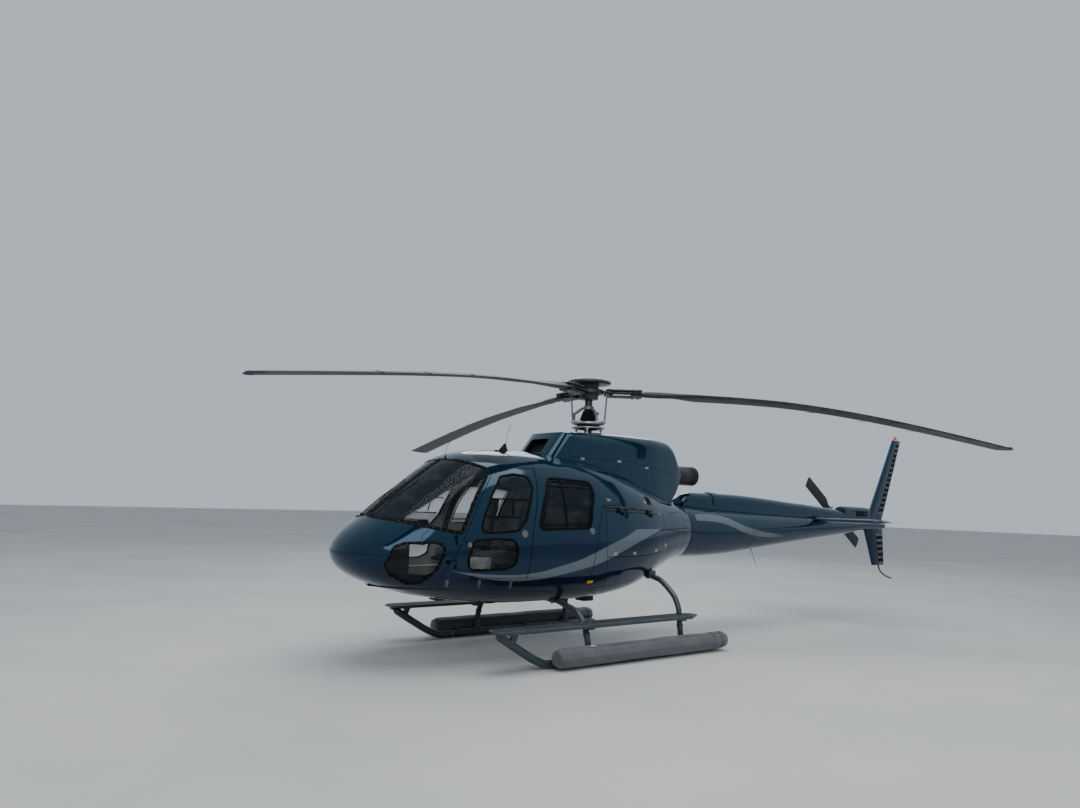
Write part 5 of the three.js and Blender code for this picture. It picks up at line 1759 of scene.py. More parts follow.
def build_intake():
    """The screen in the cowling's leaning front, black with painted shade between its wires."""
    half, low, high = INTAKE["half"] + 0.006, INTAKE["low"] - 0.006, INTAKE["high"] + 0.006
    screen = block("intake_screen", (0.700, -half, low), (0.706, half, high))
    edit(screen, lambda: bpy.ops.mesh.subdivide(number_cuts=3))
    place = points_of(screen)
    place[:, 0] += COWL_LEAN * (LEAN_HEIGHT - place[:, 2]) - 0.045
    lay_points(screen, place)
    finished(screen, "airframe", FINISHES["screen"])
    points = dense(intake_outline(0.004), 0.02)
    front = 0.752 - 0.20 * points[:, 0] ** 2 + COWL_LEAN * (LEAN_HEIGHT - points[:, 1]) - 0.0035
    path = np.column_stack([front, points])
    lean = np.array([1.0, 0.0, COWL_LEAN]) / math.hypot(1, COWL_LEAN)
    lip = sweep("intake_lip", path, strip(0.012, 0.002, 0.004), closed=True, up=lean)
    finished(lip, "airframe", FINISHES["seal"])


def cowl_line(points, side):
    """A line on the side of the cowling and the way it faces."""
    line = dense(points, 0.04, closed=False)
    half = through(COWL, line[:, 0])[:, 1]
    path = np.column_stack([line[:, 0], half + 0.0002, line[:, 1]])
    up = np.tile((0.0, 1.0, 0.0), (len(path), 1))
    return path * (1, side, 1), up * (1, side, 1)


COWL_LINES = (((0.610, 2.215), (-0.390, 2.215)), ((-0.410, 2.200), (-1.180, 2.090)))
COWL_SCREW_LINES = (((0.600, 2.200), (-0.380, 2.200)), ((-0.420, 2.186), (-1.160, 2.078)))
COWL_SCREWS_AT = ((0.640, 2.29 + 0.04), (0.600, 2.29), (-0.380, 2.29), (-0.420, 2.29))
COWL_LATCHES = ((0.45, 2.205), (-0.15, 2.205), (-0.65, 2.150))


def cowl_matrix(x, z, side, lift=0.0):
    half = float(through(COWL, x)[0][1])
    return facing((x, side * (half + lift), z), (0, side, 0))


def build_cowl_details():
    for name, side in SIDES:
        parts = []
        for line in COWL_LINES:
            path, up = cowl_line(line, side)
            parts.append(sweep("line", path, strip(0.0045, 0.0006, 0.002), up=up))
        finished(fused(f"cowl_seams_{name}", *parts), "airframe", FINISHES["seal"])
        heads = []
        for line in COWL_SCREW_LINES:
            path, up = cowl_line(line, side)
            heads.append(studs("row", path, up, 0.11, 0.004, closed=False))
        for x, low in COWL_SCREWS_AT:
            heads += [copied_screw(cowl_matrix(x, z, side, 0.0005), 0.004) for z in (low, 2.37)]
        finished(fused(f"cowl_screws_{name}", *heads), "airframe", FINISHES["dull_steel"])
        latches = [
            plate_on(cowl_matrix(x, z, side), (0.03, 0.014), -0.002, 0.003, 0.002) for x, z in COWL_LATCHES
        ]
        finished(fused(f"cowl_latches_{name}", *latches), "airframe", FINISHES["steel"])
    cap = turned(
        "cowl_top_cap", ((0.0, 0.0), (0.004, 0.050), (0.016, 0.046), (0.020, 0.030), (0.021, 0.0)),
        (-0.62, 0.17, 2.533),
    )
    finished(cap, "airframe", FINISHES["cowl_paint"])
    collar = turned(
        "mast_collar", ((0.0, 0.236), (0.008, 0.244), (0.012, 0.236), (0.008, 0.220), (-0.010, 0.222)),
        (0, 0, 2.537), poles=False,
    )
    finished(collar, "airframe", FINISHES["seal"])


def copied_screw(matrix, radius):
    return laid(matrix, screw(radius))[0]


def turned(name, profile, centre=(0, 0, 0), axis=2, sides=48, poles=True):
    """A body turned on a lathe: the profile is (distance along the axis, radius)."""
    turn = 2 * np.pi * np.arange(sides) / sides
    rings = []
    for along, radius in profile:
        columns = [radius * np.cos(turn), radius * np.sin(turn)]
        columns.insert(axis, np.full(sides, float(along)))
        rings.append(np.column_stack(columns) + np.array(centre, float))
    if poles:
        return solid_of(name, np.array(rings))
    return outward(sheet_of(name, np.array(rings), closed_length=True))


def build_exhaust():
    z, r = EXHAUST["z"], EXHAUST["radius"]
    front, rear = EXHAUST["front"], EXHAUST["rear"]
    profile = (
        (front, 0.118), (front - 0.01, 0.130), (-1.560, 0.1300), (-1.564, 0.1318), (-1.580, 0.1318),
        (-1.584, 0.1300), (rear + 0.050, 0.1300), (rear + 0.030, 0.1306), (rear + 0.010, r),
        (rear + 0.001, 0.1295), (rear, 0.1265), (rear + 0.010, 0.1225), (rear + 0.050, 0.1215),
        (front - 0.05, 0.1190),
    )
    pipe = turned("exhaust_pipe_steel", profile, (0, 0, z), axis=0, sides=72)
    finished(pipe, "airframe", FINISHES["exhaust"], replaces="exhaust_pipe", angle=50)
    # The cone deep in the pipe is black: soot, and painted shade of the pipe's inside
    cone = turned(
        "exhaust_cone", ((-1.30, 0.118), (-1.34, 0.075), (-1.46, 0.055), (-1.60, 0.020), (-1.62, 0.004)),
        (0, 0, z), axis=0, sides=36,
    )
    finished(cone, "airframe", FINISHES["void"])
    clamp = turned(
        "exhaust_clamp",
        ((-1.50, 0.1302), (-1.505, 0.1330), (-1.522, 0.1330), (-1.527, 0.1302), (-1.513, 0.1285)),
        (0, 0, z), axis=0, sides=60, poles=False,
    )
    finished(clamp, "airframe", FINISHES["steel"], angle=50)
    # A black board along the undercut is painted shade: it stands for the dark engine bay behind the
    # opening
    board = (
        (-1.500, 2.075), (-1.425, 2.075), (-1.380, 1.990), (-1.285, 1.855), (-1.205, 1.795),
        (-1.215, 1.760), (-1.310, 1.820), (-1.405, 1.960),
    )
    shade_board = prism(board, -0.235, 0.235)
    shade_board.name = "engine_bay_end"
    finished(shade_board, "airframe", FINISHES["void"])


# Tail

BOOM = (
    (-6.900, 1.385, 1.505, 0.072), (-6.300, 1.370, 1.530, 0.098), (-5.770, 1.319, 1.550, 0.126),
    (-4.480, 1.204, 1.592, 0.196), (-3.240, 1.090, 1.632, 0.262), (-2.440, 1.018, 1.662, 0.310),
    (-1.900, 1.000, 1.690, 0.338), (-1.552, 1.003, 1.716, 0.357),
)
SPINE = (
    (-6.380, 1.748, 0.092), (-6.200, 1.757, 0.100), (-5.640, 1.764, 0.104), (-5.592, 1.754, 0.104),
    (-5.588, 1.696, 0.104), (-5.300, 1.715, 0.106), (-4.480, 1.773, 0.112),
    (-2.440, 1.878, 0.120), (-1.900, 1.876, 0.122), (-1.720, 1.850, 0.124), (-1.640, 1.790, 0.120),
)
UPPER_FIN = ((1.470, -6.340, -6.850, 0.092), (2.230, -6.830, -7.225, 0.066), (2.978, -7.296, -7.584, 0.046))
LOWER_FIN = ((0.771, -6.543, -6.927, 0.046), (1.100, -6.425, -6.915, 0.066), (1.430, -6.290, -6.905, 0.080))
STABILISER = {"lead": -4.630, "trail": -5.070, "z": 1.535, "thick": 0.068, "half": 1.265}
TAIL_ROTOR = {"x": -6.280, "y": -0.565, "z": 1.640, "radius": 0.930, "chord": 0.205, "angle": 35.0}


def boom_ring(x, sides=96):
    low, high, half = through(BOOM, x)[0]
    turn = 2 * np.pi * np.arange(sides) / sides
    middle = (low + high) / 2
    return np.column_stack([
        np.full(sides, float(x)), half * np.cos(turn), middle + (middle - low) * np.sin(turn)
    ])


def boom_over(x, y):
    low, high, half = through(BOOM, x)[0]
    return (low + high) / 2 + (high - low) / 2 * math.sqrt(max(1 - (y / half) ** 2, 0.0))


def wing_section(chord, thick, steps=14):
    """A wing section, as (along, up): back along its top and forward along its foot."""
    share = (1 - np.cos(np.linspace(0, np.pi, steps))) / 2
    height = 5 * thick * (
        0.2969 * np.sqrt(share) - 0.1260 * share - 0.3516 * share**2 + 0.2843 * share**3
        - 0.1015 * share**4
    )
    height = np.maximum(height, 0.0008)
    top = np.column_stack([share * chord, height])
    foot = np.column_stack([share * chord, -height])[::-1]
    return np.concatenate([top, foot[:-1]])


def build_tail():
    places = np.concatenate([[-6.900, -6.896, -6.885], np.linspace(-6.86, -1.5515, 84)])
    rings = np.array([boom_ring(x) for x in places])
    for i, share in enumerate((0.55, 0.85, 0.97)):
        middle = rings[i].mean(axis=0)
        rings[i] = middle + (rings[i] - middle) * share
    boom = solid_of("tail_boom_skin", rings)
    finished(boom, "airframe", FINISHES["paint"], replaces="tail_boom", angle=50)
    build_cover()
    build_boom_details()
    build_stabiliser()
    build_fins()
    build_tail_rotor()


def cover_ring(x, grow=0.0):
    top, half = through(SPINE, x)[0]
    turn = np.linspace(0, np.pi, 25)
    rise = half * 0.8
    arch = np.column_stack([(half + grow) * np.cos(turn), top - rise + (rise + grow) * np.sin(turn)])
    foot = boom_over(x, half) - 0.012
    right = np.column_stack([np.full(4, half + grow), np.linspace(foot, arch[0][1], 5)[:-1]])
    ring = np.concatenate([right, arch, (right * (-1, 1))[::-1]])
    return np.column_stack([np.full(len(ring), float(x)), ring])


def build_cover():
    splits = (-6.380, -5.590, -4.480, -2.310, -1.905, -1.640)
    parts = []
    for first, last in zip(splits, splits[1:]):
        places = np.linspace(first + 0.0015, last - 0.0015, max(6, int((last - first) / 0.06)))
        parts.append(solid_of("cover", np.array([cover_ring(x) for x in places])))
    cover = fused("drive_shaft_cover_skin", *parts)
    finished(
        cover, "airframe", FINISHES["cowl_paint"], replaces="drive_shaft_cover", angle=40,
    )
    straps = []
    for x, wide, proud in ((-2.310, 0.110, 0.012), (-4.480, 0.012, 0.0015)):
        ring = cover_ring(x, 0.0012)[2:-2]
        straps.append(sweep("strap", ring, strip(wide, proud, 0.004), up=strap_up(ring)))
    finished(fused("cover_straps", *straps), "airframe", FINISHES["cowl_paint"])
    slots, rims = [], []
    for _, side in SIDES:
        half = float(through(SPINE, -6.05)[0][1])
        inner, outer = sorted((side * (half - 0.010), side * (half + 0.0012)))
        # Each slot is a black block: painted shade in the cover's opening
        slots.append(block("slot", (-6.270, inner, 1.598), (-5.810, outer, 1.686), 0.001))
        inner, outer = sorted((side * (half - 0.010), side * (half + 0.0040)))
        rims.append(block("rim", (-6.285, inner, 1.686), (-5.795, outer, 1.698), 0.002))
        rims.append(block("rim", (-6.225, inner, 1.612), (-6.180, outer, 1.660), 0.002))
    finished(fused("gearbox_cover_slots", *slots), "airframe", FINISHES["void"])
    finished(fused("gearbox_cover_rims", *rims), "airframe", FINISHES["cowl_paint"])
    for name, side in SIDES:
        path, up = [], []
        for x in np.linspace(-6.30, -1.66, 90):
            half = float(through(SPINE, x)[0][1])
            path.append((x, side * (half + 0.0005), boom_over(x, half) + 0.002))
            up.append((0.0, side * 0.6, 0.8))
        line = sweep(f"cover_seal_{name}", np.array(path), strip(0.010, 0.002, 0.004), up=np.array(up))
        finished(line, "airframe", FINISHES["seal"])
        screws = studs(
            f"cover_screws_{name}", np.array(path) + (0, side * 0.0005, 0.022),
            np.tile((0.0, side, 0.1), (len(path), 1)), 0.16, 0.0042, closed=False,
        )
        finished(screws, "airframe", FINISHES["dull_steel"])


def strap_up(ring):
    middle = ring.mean(axis=0)
    away = ring - middle
    away[:, 0] = 0
    return away / np.maximum(np.linalg.norm(away, axis=1), 1e-9)[:, None]


def build_boom_details():
    """The ring joint where the boom meets the fuselage, lap joints and rivet rows."""
    joints = []
    laps = [(x, 0.004, 0.0006) for x in (-2.960, -4.420, -5.790)]
    for x, wide, proud in ((-1.557, 0.016, 0.0022), *laps):
        ring = boom_ring(x)
        joints.append(sweep("joint", ring, strip(wide, proud, 0.003), closed=True, up=strap_up(ring)))
    finished(fused("boom_joints", *joints), "airframe", FINISHES["seal"])
    rows = []
    for x in (-1.590, -2.945, -2.975, -4.405, -4.435, -5.775, -5.805):
        ring = boom_ring(x)
        rows.append(studs("row", ring, strap_up(ring), 0.05, 0.003))
    finished(fused("boom_rivets", *rows), "airframe", FINISHES["paint"])


def level_row(section, lead, y, z):
    """A wing section stood up across the machine."""
    return np.column_stack([lead - section[:, 0], np.full(len(section), y), z + section[:, 1]])


def build_stabiliser():
    lead, z, half, thick = (STABILISER[key] for key in ("lead", "z", "half", "thick"))
    chord = lead - STABILISER["trail"]
    rows = []
    for share in np.linspace(-1, 1, 61):
        y = half * share
        over = max(0.0, abs(y) - (half - 0.10)) / 0.10
        trim = math.sqrt(max(1 - over**2, 0.02))
        section = wing_section(chord * (0.55 + 0.45 * trim), thick / chord * trim)
        ahead = lead - chord * 0.20 * (1 - trim)
        rows.append(level_row(section * (1, chord), ahead, y, z))
    wing = solid_of("stabiliser_skin", np.array(rows))
    finished(
        wing, "airframe", FINISHES["cowl_paint"], replaces="horizontal_stabiliser", angle=50,
    )
    cuffs, bits = [], []
    section = wing_section(chord * 1.04, 1.25 * thick / chord) * (1, chord)
    for _, side in SIDES:
        rows = [
            level_row(section * (1, k), lead + 0.009, side * y, z)
            for y, k in ((0.165, 1.25), (0.215, 1.0), (0.300, 0.85))
        ]
        cuffs.append(solid_of("cuff", np.array(rows)))
        line = ((-5.06, side * 1.20, 1.535), (-5.10, side * 1.225, 1.530), (-5.19, side * 1.258, 1.525))
        bits.append(tube("wick", line, 0.0022, 6))
        y = side * 0.62
        bits.append(block("tab", (-5.075, y - 0.10, 1.5335), (-5.045, y + 0.10, 1.5365), 0.0006))
    finished(fused("stabiliser_cuffs", *cuffs), "airframe", FINISHES["cowl_paint"], angle=50)
    finished(fused("stabiliser_wicks", *bits), "airframe", FINISHES["pale"])


def fin_at(table, z):
    """Leading edge, trailing edge and thickness of a fin at a height."""
    heights, *columns = zip(*table)
    return [float(np.interp(z, heights, column)) for column in columns]


def fin_rows(table, first, last, count):
    rows = []
    for z in np.linspace(first, last, count):
        lead, trail, thick = fin_at(table, z)
        chord = lead - trail
        section = wing_section(chord, thick / chord) * (1, chord)
        rows.append(np.column_stack([lead - section[:, 0], section[:, 1], np.full(len(section), z)]))
    return rows


def fin_face(table, z, share):
    """The place along a fin's chord at a height, and its half thickness there."""
    lead, trail, thick = fin_at(table, z)
    chord = lead - trail
    section = wing_section(chord, thick / chord, 40)[:40]
    return lead - share * chord, float(np.interp(share, section[:, 0] / chord, section[:, 1])) * chord


def build_fins():
    for name, table in (("upper_fin", UPPER_FIN), ("lower_fin", LOWER_FIN)):
        first, last = table[0][0], table[-1][0]
        rows = fin_rows(table, first, last, 40)
        end = -1 if name == "upper_fin" else 0
        middle = rows[end].mean(axis=0)
        rows[end] = middle + (rows[end] - middle) * (0.96, 0.6, 1.0)
        body = solid_of(f"{name}_skin", np.array(rows))
        finished(body, "airframe", FINISHES["cowl_paint"], replaces=name, angle=50)
        build_fin_ribs(name, table)
    line = ((-6.740, 0, 0.790), (-6.790, 0, 0.690), (-6.930, 0, 0.600), (-7.160, 0, 0.531))
    guard = tube("tail_guard", line, 0.014, 12, 0.015)
    finished(guard, "airframe", FINISHES["gear"])
    ball = turned(
        "beacon_lens", ((0.0, 0.030), (0.030, 0.030), (0.052, 0.024), (0.064, 0.012), (0.067, 0.0)),
        (-7.400, 0, 2.985), sides=28,
    )
    foot = turned(
        "beacon_foot", ((-0.006, 0.037), (0.006, 0.037), (0.008, 0.031), (0.0, 0.030)),
        (-7.400, 0, 2.979), sides=28,
    )
    finished(ball, "airframe", FINISHES["lens"])
    finished(foot, "airframe", FINISHES["pale"])


def build_fin_ribs(name, table):
    """The stiffened trailing half of a fin: grey ribs across a dark face."""
    count = 15 if name == "upper_fin" else 6
    ends = (1.66, 2.93) if name == "upper_fin" else (0.80, 1.30)
    faces, ribs = [], []
    for _, side in SIDES:
        rows = []
        for z in np.linspace(*ends, 24):
            row = []
            for share in np.linspace(0.52, 0.985, 8):
                x, y = fin_face(table, z, share)
                row.append((x, side * (y + 0.0008), z))
            for share in np.linspace(0.985, 0.52, 8):
                x, y = fin_face(table, z, share)
                row.append((x, side * (y - 0.0010), z))
            rows.append(row)
        faces.append(solid_of("face", np.array(rows)))
        for z in np.linspace(ends[0] + 0.01, ends[1] - 0.01, count):
            path = []
            for share in np.linspace(0.50, 0.99, 9):
                x, y = fin_face(table, z, share)
                path.append((x, side * (y + 0.0008), z))
            wide = 0.46 * (ends[1] - ends[0]) / count
            ribs.append(sweep("rib", path, strip(wide, 0.0035, 0.001), up=(0.0, side, 0.0)))
    finished(fused(f"{name}_dark_face", *faces), "airframe", FINISHES["seal"])
    finished(fused(f"{name}_ribs", *ribs), "airframe", FINISHES["grey"])


def build_tail_rotor():
    data = TAIL_ROTOR
    x, y, z = data["x"], data["y"], data["z"]
    case = turned(
        "tail_gearbox_case",
        ((-0.060, 0.056), (-0.090, 0.062), (-0.140, 0.062), (-0.150, 0.0575), (-0.215, 0.0545),
         (-0.222, 0.062), (-0.246, 0.062), (-0.252, 0.050), (-0.300, 0.046), (-0.329, 0.040)),
        (x, 0, z), axis=1, sides=40,
    )
    finished(case, "airframe", FINISHES["gearbox"], replaces="tail_gearbox", angle=40)
    bolts = []
    for k in range(8):
        turn = math.radians(45 * k)
        spot = (x + 0.056 * math.cos(turn), -0.2465, z + 0.056 * math.sin(turn))
        bolts.append(copied_screw(facing(spot, (0, -1, 0)), 0.0045))
    finished(fused("tail_gearbox_bolts", *bolts), "airframe", FINISHES["steel"])

    spin = Matrix.Translation((x, y, z)) @ Matrix.Rotation(math.radians(-data["angle"]), 4, "Y")
    radii = np.concatenate([np.linspace(0.16, 0.32, 7), np.linspace(0.36, 0.90, 14), [0.92, 0.93]])
    blades = []
    for side in (1, -1):
        rows = []
        for r in radii:
            grow = min(1.0, max(0.0, (r - 0.18) / 0.15))
            chord = 0.075 + (data["chord"] - 0.075) * grow * grow * (3 - 2 * grow)
            chord *= 0.86 if r > 0.925 else 1.0
            thick = 0.036 - 0.020 * min(1.0, (r - 0.16) / 0.5)
            section = wing_section(chord, thick / chord)
            section[:, 1] *= chord
            rows.append(np.column_stack([
                np.full(len(section), side * r), side * section[:, 1], side * (chord * 0.5 - section[:, 0])
            ]))
        blades += laid(spin, solid_of("blade", np.array(rows)))
    finished(
        fused("tail_rotor_blades", *blades), "tail_rotor", FINISHES["tail_blade"],
        replaces="tail_rotor", angle=50,
    )
    hub = laid(
        spin,
        block("hub", (-0.17, -0.022, -0.045), (0.17, 0.022, 0.045), 0.010, 3),
        block("hub", (-0.060, -0.034, -0.052), (0.060, 0.030, 0.052), 0.010, 3),
        rod("cap", (0, -0.032, 0), (0, -0.044, 0), 0.030, 24, round_by=0.003),
        rod("horn", (0.10, 0.0, 0.0), (0.10, 0.040, 0.072), 0.008, 10),
        rod("horn", (-0.10, 0.0, 0.0), (-0.10, 0.040, -0.072), 0.008, 10),
        rod("spider", (0.0, 0.050, 0), (0.0, 0.078, 0), 0.062, 24, round_by=0.004),
    )
    shaft = rod("shaft", (x, -0.331, z), (x, y - 0.02, z), 0.0258, 24)
    finished(fused("tail_rotor_hub", *hub, shaft), "tail_rotor", FINISHES["dull_steel"])
    bolts = []
    for r in (-0.145, -0.105, 0.105, 0.145):
        bolts += laid(spin, copied_screw(facing((r, -0.022, 0.0), (0, -1, 0)), 0.008))
    finished(fused("tail_rotor_bolts", *bolts), "tail_rotor", FINISHES["steel"])


# Main rotor

AZIMUTHS = (22.9, 142.9, 262.9)
STAR_TOP = 3.110
STAR_LOW = STAR_TOP - 0.050
# Radius, height, chord and thickness along a blade
BLADE = (
    (0.640, 3.075, 0.150, 0.034), (1.000, 3.048, 0.170, 0.034), (1.420, 3.012, 0.350, 0.038),
    (2.450, 2.922, 0.350, 0.038), (3.400, 2.805, 0.350, 0.036), (4.400, 2.662, 0.350, 0.034),
    (5.345, 2.520, 0.345, 0.030),
)
BLADE_ROOT, BLADE_TIP = BLADE[0][0], BLADE[-1][0]
BLADE_BOWS = (0.0, 0.095, 0.0)
BLADE_PITCH = 7.0
CUFF_REACH, CUFF_SWELL = (0.665, 0.700, 0.900, 1.380), (1.2, 2.1, 2.3, 1.0)
TRIM_TABS = (2.95, 3.62, 4.25)
SLEEVE = (
    (0.222, -0.062), (0.30, -0.084), (0.54, -0.086), (0.672, -0.082), (0.672, 0.082),
    (0.54, 0.086), (0.30, 0.084), (0.222, 0.062),
)
FLEX_ARM = ((0.10, -0.085), (0.34, -0.055), (0.56, -0.060), (0.56, 0.060), (0.34, 0.055), (0.10, 0.085))
PITCH_HORN = ((0.190, -0.165), (0.245, -0.165), (0.262, -0.060), (0.180, -0.060))
STAR_BOLTS = ((0.560, 0.055), (0.635, 0.050))
SWASH = {"radius": 0.206, "bore": 0.075, "low": 2.600, "high": 2.650, "turning": 2.656, "top": 2.712}
SERVO_AZIMUTHS, SERVO_REACH = (45, 165, 285), 0.18
SCISSOR_AZIMUTHS = (82.9, 322.9)
LINK = {"turn": -32.3, "low": 0.230, "top": 0.255}


def turn_about(degrees):
    return Matrix.Rotation(math.radians(degrees), 4, "Z")


def blade_place(r, bow):
    """Height, chord and thickness of a blade at a radius."""
    height, chord, thick = through(BLADE, r)[0]
    return height + bow * math.sin(math.pi * (r - BLADE_ROOT) / (BLADE_TIP - BLADE_ROOT)), chord, thick


def blade_row(r, section, chord, z):
    return np.column_stack([np.full(len(section), r), section[:, 0] - chord * 0.3, z + section[:, 1]])


def blade_skin(name, bow):
    """A blade from its swollen cuff to its rounded tip."""
    radii = np.concatenate([
        np.linspace(0.6415, 1.5, 24), np.linspace(1.56, 5.30, 62), [5.325, 5.338, 5.345],
    ])
    rows = []
    for r in radii:
        z, chord, thick = blade_place(r, bow)
        edge = 1.0 - 0.25 * max(0.0, (r - 5.30) / 0.045) ** 2
        section = wing_section(chord * edge, thick / chord)
        section[:, 1] *= chord * float(np.interp(r, CUFF_REACH, CUFF_SWELL))
        rows.append(blade_row(r, section, chord, z))
    return solid_of(name, np.array(rows))


def blade_edge(bow, wrap=7, proud=0.0009):
    """The metal strip that wraps the outer leading edge."""
    rows = []
    for r in np.linspace(1.75, 5.33, 50):
        z, chord, thick = blade_place(r, bow)
        section = wing_section(chord, thick / chord, 22)
        section[:, 1] *= chord
        band = np.concatenate([section[:wrap][::-1], section[-wrap:]])
        grow = [(-0.0008 if ahead < 0.01 else 0.0, math.copysign(proud, up)) for ahead, up in band]
        rows.append(blade_row(r, band + np.array(grow), chord, z))
    return solid_of("edge", np.array(rows))


def pitch_up(blade, bow):
    """Turns a blade's leading edge up about its own length, most at the root."""
    place = points_of(blade)
    r = place[:, 0]
    rise = bow * np.sin(math.pi * (r - BLADE_ROOT) / (BLADE_TIP - BLADE_ROOT))
    middle = through(BLADE, r)[:, 0] + rise
    angle = math.radians(BLADE_PITCH) * np.clip((BLADE_TIP - r) / (BLADE_TIP - 1.4), 0, 1)
    up, across = place[:, 2] - middle, place[:, 1].copy()
    place[:, 1] = across * np.cos(angle) + up * np.sin(angle)
    place[:, 2] = middle + up * np.cos(angle) - across * np.sin(angle)
    lay_points(blade, place)


def build_rotor():
    for number, (azimuth, bow) in enumerate(zip(AZIMUTHS, BLADE_BOWS), 1):
        blade = blade_skin(f"blade_{number}_skin", bow)
        pitch_up(blade, bow)
        laid(turn_about(azimuth), blade)
        finished(
            blade, "main_rotor", FINISHES["blade"], replaces=f"main_blade_{number}",
            angle=50,
        )
        extras = [blade_edge(bow)]
        for r in TRIM_TABS:
            z, chord, _ = blade_place(r, bow)
            rear = chord * 0.7
            extras.append(block(
                "tab", (r - 0.11, rear - 0.004, z - 0.0012), (r + 0.11, rear + 0.012, z + 0.0012), 0.0004
            ))
        z, chord, _ = blade_place(5.30, bow)
        extras.append(block(
            "tip", (5.285, -chord * 0.28, z - 0.014), (5.330, -chord * 0.10, z + 0.0150), 0.004
        ))
        edge = fused(f"blade_{number}_edge", *extras)
        pitch_up(edge, bow)
        laid(turn_about(azimuth), edge)
        finished(edge, "main_rotor", FINISHES["blade_edge"], angle=50)
    build_hub()
    build_mast()


def star_arm(azimuth):
    """One arm of the star: flexible arm, two sleeve plates and the pitch horn."""
    flex = prism(rounded(FLEX_ARM, 0.02), STAR_LOW + 0.012, STAR_TOP - 0.012, axis=2)
    edge_round(flex, 0.006)
    parts = [flex]
    for first, last in ((STAR_TOP - 0.006, STAR_TOP + 0.013), (STAR_LOW - 0.034, STAR_LOW - 0.014)):
        parts.append(edge_round(prism(rounded(SLEEVE, 0.02), first, last, axis=2), 0.004))
    parts.append(prism(rounded(PITCH_HORN, 0.012), STAR_LOW - 0.033, STAR_LOW - 0.013, axis=2))
    return laid(turn_about(azimuth), *parts)


def star_soft(azimuth):
    """The elastomer bearing and damper blocks of one arm."""
    parts = []
    for layer in range(5):
        z = STAR_LOW - 0.010 + layer * 0.0145
        parts.append(block("layer", (0.212, -0.058, z), (0.300, 0.058, z + 0.011), 0.003))
    parts.append(block(
        "damper", (0.540, -0.080, STAR_LOW - 0.016), (0.655, 0.080, STAR_TOP - 0.004), 0.010, 3
    ))
    return laid(turn_about(azimuth), *parts)


def star_bolts(azimuth, radius=0.013, tall=0.013):
    """Bolt heads on their washers, above and below one arm."""
    spots = [(0.255, 0.040, STAR_TOP + 0.012), (0.255, -0.040, STAR_TOP + 0.012)]
    for z in (STAR_TOP + 0.012, STAR_LOW - 0.045):
        spots += [(r, y * turn, z) for r, y in STAR_BOLTS for turn in (1, -1)]
    parts = []
    for x, y, z in spots:
        parts.append(rod("bolt", (x, y, z), (x, y, z + tall), radius, 6, round_by=0.0015))
        parts.append(rod("washer", (x, y, z - 0.001), (x, y, z + 0.003), radius * 1.5, 20, round_by=0.0008))
    return laid(turn_about(azimuth), *parts)


def build_hub():
    """The star with its arms, elastomers and bolts, and the dish above it."""
    parts, soft, bolts = [], [], []
    for azimuth in AZIMUTHS:
        parts += star_arm(azimuth)
        soft += star_soft(azimuth)
        bolts += star_bolts(azimuth)
    star = turned("star", (
        (STAR_LOW, 0.150), (STAR_LOW, 0.186), (STAR_LOW + 0.006, 0.190), (STAR_TOP - 0.006, 0.190),
        (STAR_TOP, 0.186), (STAR_TOP, 0.120),
    ), sides=64)
    whole = fused("rotor_star", star, *parts)
    finished(whole, "main_rotor", FINISHES["hub"], replaces="rotor_hub")
    finished(fused("rotor_elastomers", *soft), "main_rotor", FINISHES["rubber"])
    finished(fused("rotor_bolts", *bolts), "main_rotor", FINISHES["steel"])
    drum = turned("cap_drum", (
        (STAR_TOP + 0.001, 0.100), (STAR_TOP + 0.001, 0.116), (STAR_TOP + 0.030, 0.124), (3.165, 0.130),
        (3.182, 0.128),
    ))
    finished(drum, "main_rotor", FINISHES["hub"])
    dish = turned("hub_cap_dish", (
        (3.176, 0.110), (3.180, 0.200), (3.184, 0.268), (3.192, 0.280), (3.204, 0.282), (3.214, 0.278),
        (3.224, 0.262), (3.238, 0.225), (3.249, 0.180), (3.256, 0.120), (3.260, 0.062), (3.262, 0.030),
    ), sides=72)
    finished(dish, "main_rotor", FINISHES["cap"], replaces="hub_cap", angle=50)
    heads = []
    for turn in np.radians(30 * np.arange(12)):
        way = np.array([math.cos(turn), math.sin(turn), 0.0])
        matrix = facing(way * 0.245 + (0, 0, 3.2315), way * 0.35 + (0, 0, 1))
        heads.append(copied_screw(matrix, 0.006))
    finished(fused("hub_cap_screws", *heads), "main_rotor", FINISHES["steel"])


def build_mast():
    mast = turned(
        "mast_tube", ((2.4905, 0.047), (2.60, 0.0478), (2.86, 0.0478), (2.866, 0.0478), (3.058, 0.0478)),
        sides=40,
    )
    finished(mast, "main_rotor", FINISHES["hub"], replaces="rotor_mast")
    flange = turned("mast_flange", (
        (2.985, 0.050), (2.988, 0.112), (2.996, 0.118), (3.030, 0.120), (3.0585, 0.140), (3.0590, 0.052),
    ))
    finished(flange, "main_rotor", FINISHES["hub"])
    boot_low, pleat, pleats = 2.722, 0.018, 7
    folds = [(boot_low, 0.060)]
    for k in range(pleats):
        share = k / pleats
        folds.append((boot_low + pleat * k + 0.006, 0.118 - 0.050 * share))
        folds.append((boot_low + pleat * k + 0.016, 0.100 - 0.046 * share))
    folds.append((2.858, 0.050))
    finished(turned("mast_boot", folds), "main_rotor", FINISHES["rubber"])
    build_swash()
    build_scissors()


